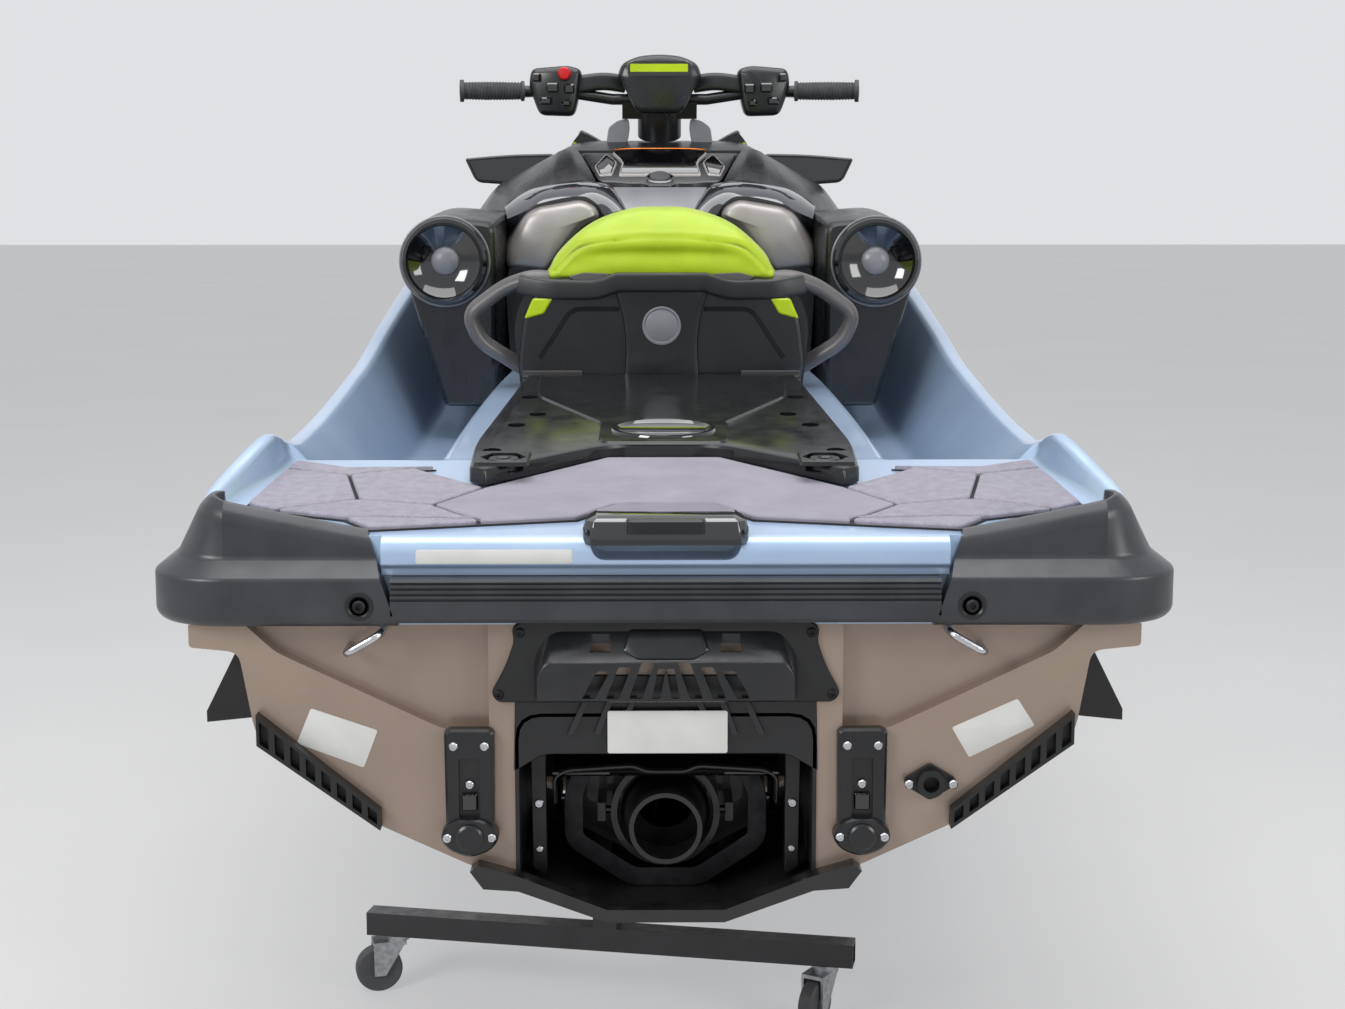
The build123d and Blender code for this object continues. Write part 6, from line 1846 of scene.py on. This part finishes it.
def grip_profile(share):
    """Ribbed rubber: a slow swell with grooves every 6 mm, and an end flange."""
    x = share * (GRIP_END - GRIP_START)
    ribs = 0.7 * np.clip(np.cos(2 * np.pi * x / 6) * 2, -1, 1)
    body = 16.5 + 1.2 * np.sin(np.pi * share) + ribs
    return np.where(share > 0.94, 22.0, np.where(share < 0.05, 20.0, body))


centre_x = GRIP_START + grip_x * (GRIP_END - GRIP_START)
grip_path = np.column_stack([centre_x, bar_y_at(centre_x), np.full(90, BAR_Z)])
grip_sections = circle(1.0, 24) * grip_profile(grip_x)[:, None, None]
make_piece(
    "bar_grips", pair(sweep(grip_path, grip_sections)), grip_rubber, "grip_rubber", "grips",
    body="steering",
)

# %% [markdown]
# The housings are rounded boxes with rocker switches on their rear face, a lever
# ahead of each grip and one red stop button.
# %% Housings, levers and switches
HOUSING = (
    (155, 1528), (182, 1536), (256, 1530), (262, 1500), (250, 1462), (240, 1438), (172, 1436),
    (164, 1462),
)
HOUSING_RADII = (12, 20, 12, 14, 14, 12, 14, 16)
HOUSING_LAYERS = ((172, 9), (176, 3), (184, 0), (226, 0), (234, 4), (238, 12))
housing = standing(HOUSING, HOUSING_RADII, HOUSING_LAYERS)
make_piece(
    "bar_housings", pair(housing), satin_black, "black_plastic", "control_housings",
    body="steering", sharp_deg=45,
)
lever_path = bent(
    [(212, 232, 1484), (262, 244, 1484), (318, 238, 1480), (356, 232, 1478)], (16, 20)
)
lever_section = circle(1.0, 14) * (4.5, 9)
make_piece(
    "bar_levers", pair(sweep(lever_path, lever_section)), satin_black, "black_plastic",
    body="steering",
)
SWITCHES = (
    (186, 1462, 9, 7), (228, 1466, 12, 8), (180, 1490, 11, 10), (214, 1492, 13, 10),
    (246, 1512, 8, 9),
)


def switch_cap(x, z, half_x, half_z):
    """A rocker switch: a rounded pad with a crowned face."""
    corners = np.array(
        [(-half_x, -half_z), (half_x, -half_z), (half_x, half_z), (-half_x, half_z)]
    )
    return standing(corners + (x, z), 4, ((163, 3.5), (166, 0.8), (178, 0)))


make_piece(
    "bar_switches", pair(*[switch_cap(*row) for row in SWITCHES]), gloss_black, "gloss_black",
    body="steering",
)
red_cap = lathe([(13, 178), (13, 166), (10, 162), (0.1, 161)], (-190, 0, 1520), "Y", 28)
make_piece("bar_stop_button", [red_cap], red_plastic, "gloss_black", body="steering")
arm_path = bent(
    [(70, 214, 1500), (112, 206, 1506), (158, 204, 1500), (176, 204, 1494)], (20, 16)
)
arm_section = round_one([(-16, -17), (16, -17), (14, 18), (-14, 18)], 9)
make_piece(
    "bar_arms", pair(sweep(arm_path, arm_section)), satin_black, "black_plastic",
    body="steering",
)

# %% [markdown]
# The display sits in a pod that narrows forward. It shows no reading, only a plain
# lime bar in a dark bezel.
# %% Display pod
POD_OUTLINE = (
    (46, 1441), (60, 1470), (74, 1500), (84, 1512), (76, 1538), (44, 1553), (0, 1557)
)
pod_half = np.array(POD_OUTLINE, float)
display_corners = np.concatenate([pod_half, pod_half[-2::-1] * (-1, 1)])
DISPLAY_RADII = (16, 20, 10, 10, 18, 30, 60) + (30, 18, 10, 10, 20, 16)
display_low, display_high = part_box("display_pod")
DISPLAY_REAR_Y, DISPLAY_FRONT_Y = display_low[1] / MM, display_high[1] / MM
DISPLAY_LAYERS = ((DISPLAY_REAR_Y + 2, 10), (DISPLAY_REAR_Y + 6, 4), (DISPLAY_REAR_Y + 16, 0))
DISPLAY_LAYERS += (
    (DISPLAY_FRONT_Y - 24, 3), (DISPLAY_FRONT_Y - 8, 12), (DISPLAY_FRONT_Y - 1, 24)
)
display_shell = standing(display_corners, DISPLAY_RADII, DISPLAY_LAYERS)
make_piece(
    "display_shell", [display_shell], satin_dark, "gloss_black", "display_pod", body="steering",
    sharp_deg=50,
)
BEZEL = ((-66, 1512), (66, 1512), (62, 1545), (-62, 1545))
bezel_part = standing(
    BEZEL, (10, 10, 14, 14), ((DISPLAY_REAR_Y - 1, 2), (DISPLAY_REAR_Y + 8, 0))
)
make_piece("display_bezel", [bezel_part], gloss_black, "gloss_black", body="steering")
LIME_BAR = ((-59, 1521), (57, 1521), (57, 1538), (-59, 1538))
bar_part = standing(LIME_BAR, 3, ((DISPLAY_REAR_Y - 3, 1), (DISPLAY_REAR_Y + 2, 0)))
make_piece("display_lime_bar", [bar_part], lime_plastic, "seat_lime", body="steering")

# %% [markdown]
# The jet sits in a black liner, and a vented cover bolts over it. Its body is a loft
# between two outlines, hollowed with the same outlines a little smaller.
# %% Jet cover
LINER_FOOT_Z = 480.0


def tunnel_at(foot_z, distance):
    """The tunnel's outline from a foot height up, drawn in by a distance."""
    corners = [(-TUNNEL_HALF, foot_z), (TUNNEL_HALF, foot_z), (TUNNEL_HALF, TUNNEL_TOP_Z)]
    return drawn([*corners, (-TUNNEL_HALF, TUNNEL_TOP_Z)], (1, 1, 34, 34), distance)


outer, inner = tunnel_at(LINER_FOOT_Z, 0.6), tunnel_at(LINER_FOOT_Z - 40, 5)
liner = make_piece(
    "jet_tunnel_liner", [across(outer, TRANSOM_Y - 3, TUNNEL_FRONT_Y - 2)], black_plastic,
    "black_plastic",
)
carve(liner, [across(inner, TRANSOM_Y - 20, TUNNEL_FRONT_Y - 6)])
FLANGE = ((150, 700), (205, 700), (213, 712), (196, 742), (184, 776), (187, 792), (176, 801))
flange_layers = ((TRANSOM_Y - 7, 1.5), (TRANSOM_Y - 5, 0), (TRANSOM_Y - 0.2, 0))
FLANGE_RADII = both_radii((2, 12, 10, 40, 20, 8, 10))
flange = standing(both_sides(FLANGE), FLANGE_RADII, flange_layers)
COVER_BASE = ((161, 706), (161, 762), (138, 795))
COVER_FACE = ((157, 706), (157, 740), (146, 758))
cover_base = round_one(both_sides(COVER_BASE), both_radii((2, 20, 16)))
COVER_FACE_RADII = both_radii((2, 14, 14))
cover_face = round_one(both_sides(COVER_FACE), COVER_FACE_RADII)
cover_lip = drawn(both_sides(COVER_FACE), COVER_FACE_RADII, 3)
cover_rings = rings_at(
    [TRANSOM_Y - 2, TRANSOM_Y - 30, TRANSOM_Y - 34],
    np.stack([cover_base, cover_face, cover_lip]),
)
cover = make_piece(
    "jet_cover", [skin(cover_rings)], satin_dark, "black_plastic", "jet_shroud", sharp_deg=30,
    bevel_mm=1.5,
)
inner_rings = rings_at(
    [TRANSOM_Y + 6, TRANSOM_Y - 28], np.stack([cover_base, cover_face]) * (0.96, 1.0) - (0, 5)
)
carve(cover, [skin(inner_rings)])

# %% [markdown]
# The slots fan out, each leaning a little more than the last. One function draws a
# leaning slot, and a table holds their sizes.
# %% Slots of the cover
# Columns: x at the foot, x at the top, top z of a slot, half width
SLOTS = ((94, 75, 745, 8), (65, 49, 750, 8), (37, 21, 756, 8), (12, 5, 748, 5))
SLOT_FOOT_Z = 711.0


def slot_block(foot_x, top_x, top_z, half):
    """A leaning slot: its foot is farther out than its top."""
    corners = [(foot_x - half, SLOT_FOOT_Z), (foot_x + half, SLOT_FOOT_Z)]
    corners += [(top_x + half, top_z), (top_x - half, top_z)]
    return across(round_one(corners, 3), TRANSOM_Y - 60, TRANSOM_Y - 8)


carve(cover, pair(*[slot_block(*row) for row in SLOTS]))
port_outline = [(66, 766), (92, 766), (88, 800), (70, 800)]
carve(cover, pair(across(port_outline, TRANSOM_Y - 24, TRANSOM_Y - 9)))
cover_flange = make_piece("jet_cover_flange", [flange], black_plastic, "black_plastic")
carve(cover_flange, [across(cover_base * (0.9, 1.0) - (0, 12), TRANSOM_Y - 12, TRANSOM_Y + 4)])

# %% [markdown]
# A blank plate lies on the cover's sloping top, and slats carry the line of the
# slots on below it.
# %% Plate and slats of the cover
PLATE_HALF = ((34, 759), (52, 768), (44, 790))
plate_ring = round_one(both_sides(PLATE_HALF), 4)


def on_cover(outline, height):
    """An x-z outline laid on the cover's sloping top, proud by a height."""
    share = (outline[:, 1] - 758) / (795 - 758)
    y = TRANSOM_Y - 30 + share * 28 - height
    return np.column_stack([outline[:, 0], y, outline[:, 1] + 0.75 * height])


plate = skin(
    np.stack(
        [
            on_cover(plate_ring, -3), on_cover(plate_ring, 1.2),
            on_cover(drawn(both_sides(PLATE_HALF), 4, 2), 2.4),
        ]
    )
)
make_piece("jet_cover_plate_blank", [plate], satin_dark, "black_plastic")
slats = []
for foot_x, top_x, _, half in SLOTS[:3]:
    lean = (foot_x - top_x) / 35
    corners = [(foot_x + 2 - half / 2, 706), (foot_x + 2 + half / 2, 706)]
    corners += [(foot_x + 42 * lean + half / 2, 660), (foot_x + 42 * lean - half / 2, 660)]
    slats.append(across(corners, TRANSOM_Y - 12, TRANSOM_Y - 2))
make_piece("jet_cover_slats", pair(*slats), satin_dark, "black_plastic", bevel_mm=1.0)

# %% [markdown]
# A thin header closes the tunnel's top, and screws hold the flange.
# %% Header of the opening
HEADER = (
    (-150, 634), (150, 634), (186, 612), (184, 706), (150, 733), (-150, 733), (-184, 706),
    (-186, 612),
)
HEADER_RADII = (12, 12, 3, 4, 10, 10, 4, 3)
header_part = standing(
    HEADER, HEADER_RADII, ((TRANSOM_Y - 3, 1), (TRANSOM_Y - 2, 0), (TRANSOM_Y - 0.2, 0))
)
make_piece("jet_header", [header_part], satin_black, "black_plastic")
COVER_SCREWS = ((177, 787), (203, 710))
make_piece(
    "jet_cover_screws", pair(*[screw((x, TRANSOM_Y - 7, z), 6) for x, z in COVER_SCREWS]),
    dark_alloy, "stainless",
)

# %% [markdown]
# Round the nozzle stand a V-shaped frame, two posts and the raised gate's rim. The
# frame is a bent flat bar, so a thin section is swept. The rim rides on the gate.
# %% Jet opening
V_PATH = (
    (-97, 600), (-117, 556), (-117, 494), (-42, 444), (42, 444), (117, 494), (117, 556),
    (97, 600),
)
v_path = np.array([(x, -1590.0, z) for x, z in V_PATH])
v_section = round_one([(-2, -12), (2, -12), (2, 12), (-2, 12)], 1)
make_piece(
    "jet_v_frame", [sweep(bent(v_path, 12), v_section[:, ::-1], (0, 1, 0))], dark_alloy,
    "pump_alloy",
)
POST = ((149, 468), (166, 476), (168, 640), (156, 652), (149, 640))
make_piece(
    "jet_posts", pair(across(round_one(POST, 4), -1652, -1630)), black_plastic, "black_plastic",
    bevel_mm=1.5,
)
make_piece(
    "jet_post_screws", pair(screw((158, -1652, 560), 6), screw((158, -1652, 500), 5)),
    stainless, "stainless",
)
gate_low = np.array(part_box("reverse_gate")[0]) / MM
rim_y = gate_low[1] + 2
RIM = (
    (-138, 560), (-138, 596), (-122, 606), (-40, 612), (-24, 604), (24, 604), (40, 612),
    (122, 606), (138, 596), (138, 560),
)
rim_path = bent(
    [(x, rim_y + (606 - z) * 0.4, z) for x, z in RIM], (20, 12, 40, 8, 8, 40, 12, 20)
)
make_piece(
    "gate_rim", [sweep(rim_path, circle(1.0, 10) * (3.2, 5), (0, 1, 0))], pump_black,
    "gloss_black", body="reverse_gate",
)

# %% [markdown]
# Each drain fitting is a channelled block with a diamond flange and a knob. They are
# blocks with a bevelled rim, layered along y, turned or cut.
# %% Drain fittings
FITTING_X = 240.0
BLOCK = ((-30, 540), (30, 540), (31, 664), (24, 669), (-24, 669), (-31, 664))
CHANNEL = ((-13, 556), (13, 556), (13, 632), (-13, 632))
LATCH = ((-10, 566), (10, 566), (10, 588), (-10, 588))
DIAMOND = (
    (-38, 534), (-26, 552), (0, 561), (26, 552), (38, 534), (26, 517), (0, 507), (-26, 517)
)
FACE_Y = TRANSOM_Y - 0.3


def at_fitting(corners):
    """Corners around a fitting, moved to the starboard one."""
    return np.asarray(corners, float) + (FITTING_X, 0)


fitting_block = standing(
    at_fitting(BLOCK), (3, 3, 6, 6, 6, 6), ((FACE_Y - 14, 4), (FACE_Y - 11, 0.8), (FACE_Y, 0))
)
diamond = standing(
    at_fitting(DIAMOND), (14, 10, 20, 10, 14, 10, 20, 10),
    ((FACE_Y - 22, 3), (FACE_Y - 19, 0.5), (FACE_Y, 0)),
)
knob = lathe(
    [(17, -12), (17, -25), (14, -27), (0.1, -27), (0.1, -12)], (FITTING_X, FACE_Y, 534), "Y", 32
)
fittings = make_piece(
    "drain_fitting_bodies", pair(fitting_block, diamond, knob), satin_black, "black_plastic",
    "drain_fittings",
)
carve(
    fittings, pair(across(round_one(at_fitting(CHANNEL), 4), FACE_Y - 30, FACE_Y - 8)),
    overlapping=True,
)
clip = standing(at_fitting(LATCH), 2, ((FACE_Y - 17, 2), (FACE_Y - 15, 0.5), (FACE_Y - 6, 0)))
make_piece("drain_fitting_clips", pair(clip), gloss_black, "gloss_black")

# %% [markdown]
# Each screw is the same small turned head, set on the surface that it holds.
# %% Screws on the transom
FITTING_SCREWS = ((-19, 647, 14), (19, 647, 14), (0, 598, 11), (-27, 534, 22), (27, 534, 22))
fitting_screws = [screw((FITTING_X + x, FACE_Y - out, z), 5.5) for x, z, out in FITTING_SCREWS]
make_piece("drain_fitting_screws", pair(*fitting_screws), stainless, "stainless")
flush_low = np.array(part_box("flush_port")[0]) / MM
flush_heads = [screw((324 + dx, flush_low[1] + 3, 599), 5.5) for dx in (-27, 27)]
make_piece("flush_port_screws", flush_heads, stainless, "stainless")

# %% [markdown]
# Printed labels are left as blank plates of pale film at their real places.
# %% Blank label plates


def flat_plate(corners, y):
    """A plate of film laid on a surface at y, with a fine bevel."""
    return standing(corners, 3, ((y - 0.8, 0.6), (y - 0.5, 0), (y + 0.6, 0)))


LABELS = (
    (((-433, 692), (-352, 664), (-370, 617), (-451, 648)), TRANSOM_Y),
    (((350, 666), (430, 702), (452, 668), (372, 628)), TRANSOM_Y),
    (((-300, 874), (-112, 874), (-112, 891), (-300, 891)), -1708.0),
    (((-71, 638), (75, 638), (75, 691), (-71, 691)), TRANSOM_Y - 13),
)
make_piece(
    "blank_label_plates", [flat_plate(corners, y) for corners, y in LABELS], label_film,
    "satin_grey",
)
pinhole = lathe([(4, 0), (3, -1), (2.4, 2), (0.1, 2)], (254, TRANSOM_Y - 0.2, 802), "Y", 16)
make_piece("vent_hole", [pinhole], satin_black, "black_plastic")

# %% [markdown]
# Pieces whose CAD shape is right keep it and only get their finish. Nodes hidden
# behind a piece get the piece's finish too.
# %% Finishes for the frame's own pieces
CASTERS = [f"{end}_{side}" for end in ("front", "rear") for side in ("left", "right")]
CAD_FINISHES = (
    (dolly_enamel, ("dolly_frame",)), (bunk_carpet, ("dolly_bunks",)),
    (zinc, [f"caster_fork_{corner}" for corner in CASTERS]),
    (tyre_rubber, [f"caster_wheel_{corner}" for corner in CASTERS]),
    (
        pump_black,
        ("pump_housing", "trim_ring", "steering_nozzle", "ride_plate", "intake_grate"),
    ),
    (gloss_black, ("reverse_gate",)), (stainless, ("impeller", "bow_eye", "tow_hooks")),
    (dark_alloy, ("engine",)),
    (black_plastic, ("drain_fittings", "flush_port", "chine_tabs", "sponsons", "jet_shroud")),
    (
        satin_black,
        ("handlebar", "control_housings", "display_pod", "console", "mirrors", "speaker_pods"),
    ),
    (gloss_black, ("speakers",)), (grip_rubber, ("grips",)), (silver_lacquer, ("knee_panels",)),
    (satin_black, ("glovebox_lid",)),
)
for material, names in CAD_FINISHES:
    for name in names:
        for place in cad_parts[name].material_slots:
            place.material = material
print("frame pieces finished", sum(len(names) for _, names in CAD_FINISHES))

# %% [markdown]
# The camera sees the pale floor half lit by itself, so that it fades into the
# background. Other rays see plain paint, so the glow doesn't light the craft.
# %% Floor
FLOOR_SIZE = 60.0  # in metres
FLOOR_GLOW_SHARE = 0.55


def seen_rays(tree):
    """1 for a ray that the camera sends, also by a reflection or through glass."""
    rays = add(tree, "LightPath")
    bent_rays = {0: (rays, "Is Glossy Ray"), 1: (rays, "Is Transmission Ray")}
    bent_sum = add(tree, "Math", links=bent_rays, operation="ADD")
    both = {0: (rays, "Is Camera Ray"), 1: (bent_sum, "Value")}
    return add(tree, "Math", links=both, operation="ADD", use_clamp=True)


def make_floor():
    """A square of paint at z = 0, mixed with a glow for the rays that are seen."""
    half = FLOOR_SIZE / 2
    mesh = bpy.data.meshes.new("studio_floor")
    corners = [(-half, -half, 0), (half, -half, 0), (half, half, 0), (-half, half, 0)]
    mesh.from_pydata(corners, [], [(0, 1, 2, 3)])
    material, tree, shader, where = start_material("studio_floor_paint", 0.7)
    mottle(tree, shader, where, 900, "#d9d7d4", "#e2e0dd")
    glow = add(tree, "Emission", {"Color": linear("#e4e6e9"), "Strength": 0.9})
    seen = add(tree, "MixShader", links={1: (shader, "BSDF"), 2: (glow, "Emission")})
    rays = {0: (seen_rays(tree), "Value")}
    half_seen = add(tree, "Math", {1: FLOOR_GLOW_SHARE}, rays, operation="MULTIPLY")
    tree.links.new(half_seen.outputs["Value"], seen.inputs["Fac"])
    tree.links.new(seen.outputs["Shader"], tree.nodes["Material Output"].inputs["Surface"])
    mesh.materials.append(material)
    floor = bpy.data.objects.new("studio_floor", mesh)
    bpy.context.scene.collection.objects.link(floor)
    return floor


floor = make_floor()
print("floor", FLOOR_SIZE, "m square")

# %% [markdown]
# The world lights the craft with a soft grey, and the seen rays get a brighter
# backdrop. A studio picture could do both, but two flat colours are enough.
# %% World


def make_world():
    """A grey light, mixed with a brighter backdrop for the rays that are seen."""
    world = bpy.data.worlds.new("studio")
    world.use_nodes = True
    tree = world.node_tree
    light = tree.nodes["Background"]
    light.inputs["Color"].default_value = linear("#e8ebef")
    light.inputs["Strength"].default_value = 0.42
    backdrop = add(tree, "Background", {"Color": linear("#e4e6e9"), "Strength": 0.95})
    links = {
        0: (seen_rays(tree), "Value"), 1: (light, "Background"), 2: (backdrop, "Background")
    }
    seen = add(tree, "MixShader", links=links)
    tree.links.new(seen.outputs["Shader"], tree.nodes["World Output"].inputs["Surface"])
    bpy.context.scene.world = world
    return world


print("world", make_world().name)

# %% [markdown]
# A large lamp overhead, a key from the left behind the camera and a weaker fill from
# the right. Large lamps give the wide highlights that show how a surface curves.
# %% Lamps


def area_lamp(name, place, aim, size, watts):
    """A white rectangular lamp in metres that looks from its place to its aim.

    An unturned lamp looks down. So it is pitched by the angle between the aim and
    straight down, and then yawed to the aim's direction on the floor.
    """
    data = bpy.data.lights.new(name, "AREA")
    data.shape = "RECTANGLE"
    data.size, data.size_y = size
    data.energy = watts
    data.color = (1, 1, 1)
    lamp = bpy.data.objects.new(name, data)
    lamp.location = place
    direction = np.array(aim, float) - np.array(place, float)
    flat = math.hypot(direction[0], direction[1])
    pitch, yaw = math.atan2(flat, -direction[2]), math.atan2(-direction[0], direction[1])
    lamp.rotation_euler = (pitch, 0, yaw)
    bpy.context.scene.collection.objects.link(lamp)
    return lamp


area_lamp("overhead", (0.0, -0.6, 4.2), (0, 0.0, 0.8), (3.4, 4.4), 150)
area_lamp("key", (-3.2, -4.4, 3.0), (0, -1.2, 0.8), (1.8, 1.8), 120)
area_lamp("fill", (3.6, -3.8, 2.2), (0, -1.2, 0.8), (1.8, 1.8), 60)
bpy.context.scene.view_settings.view_transform = "Standard"
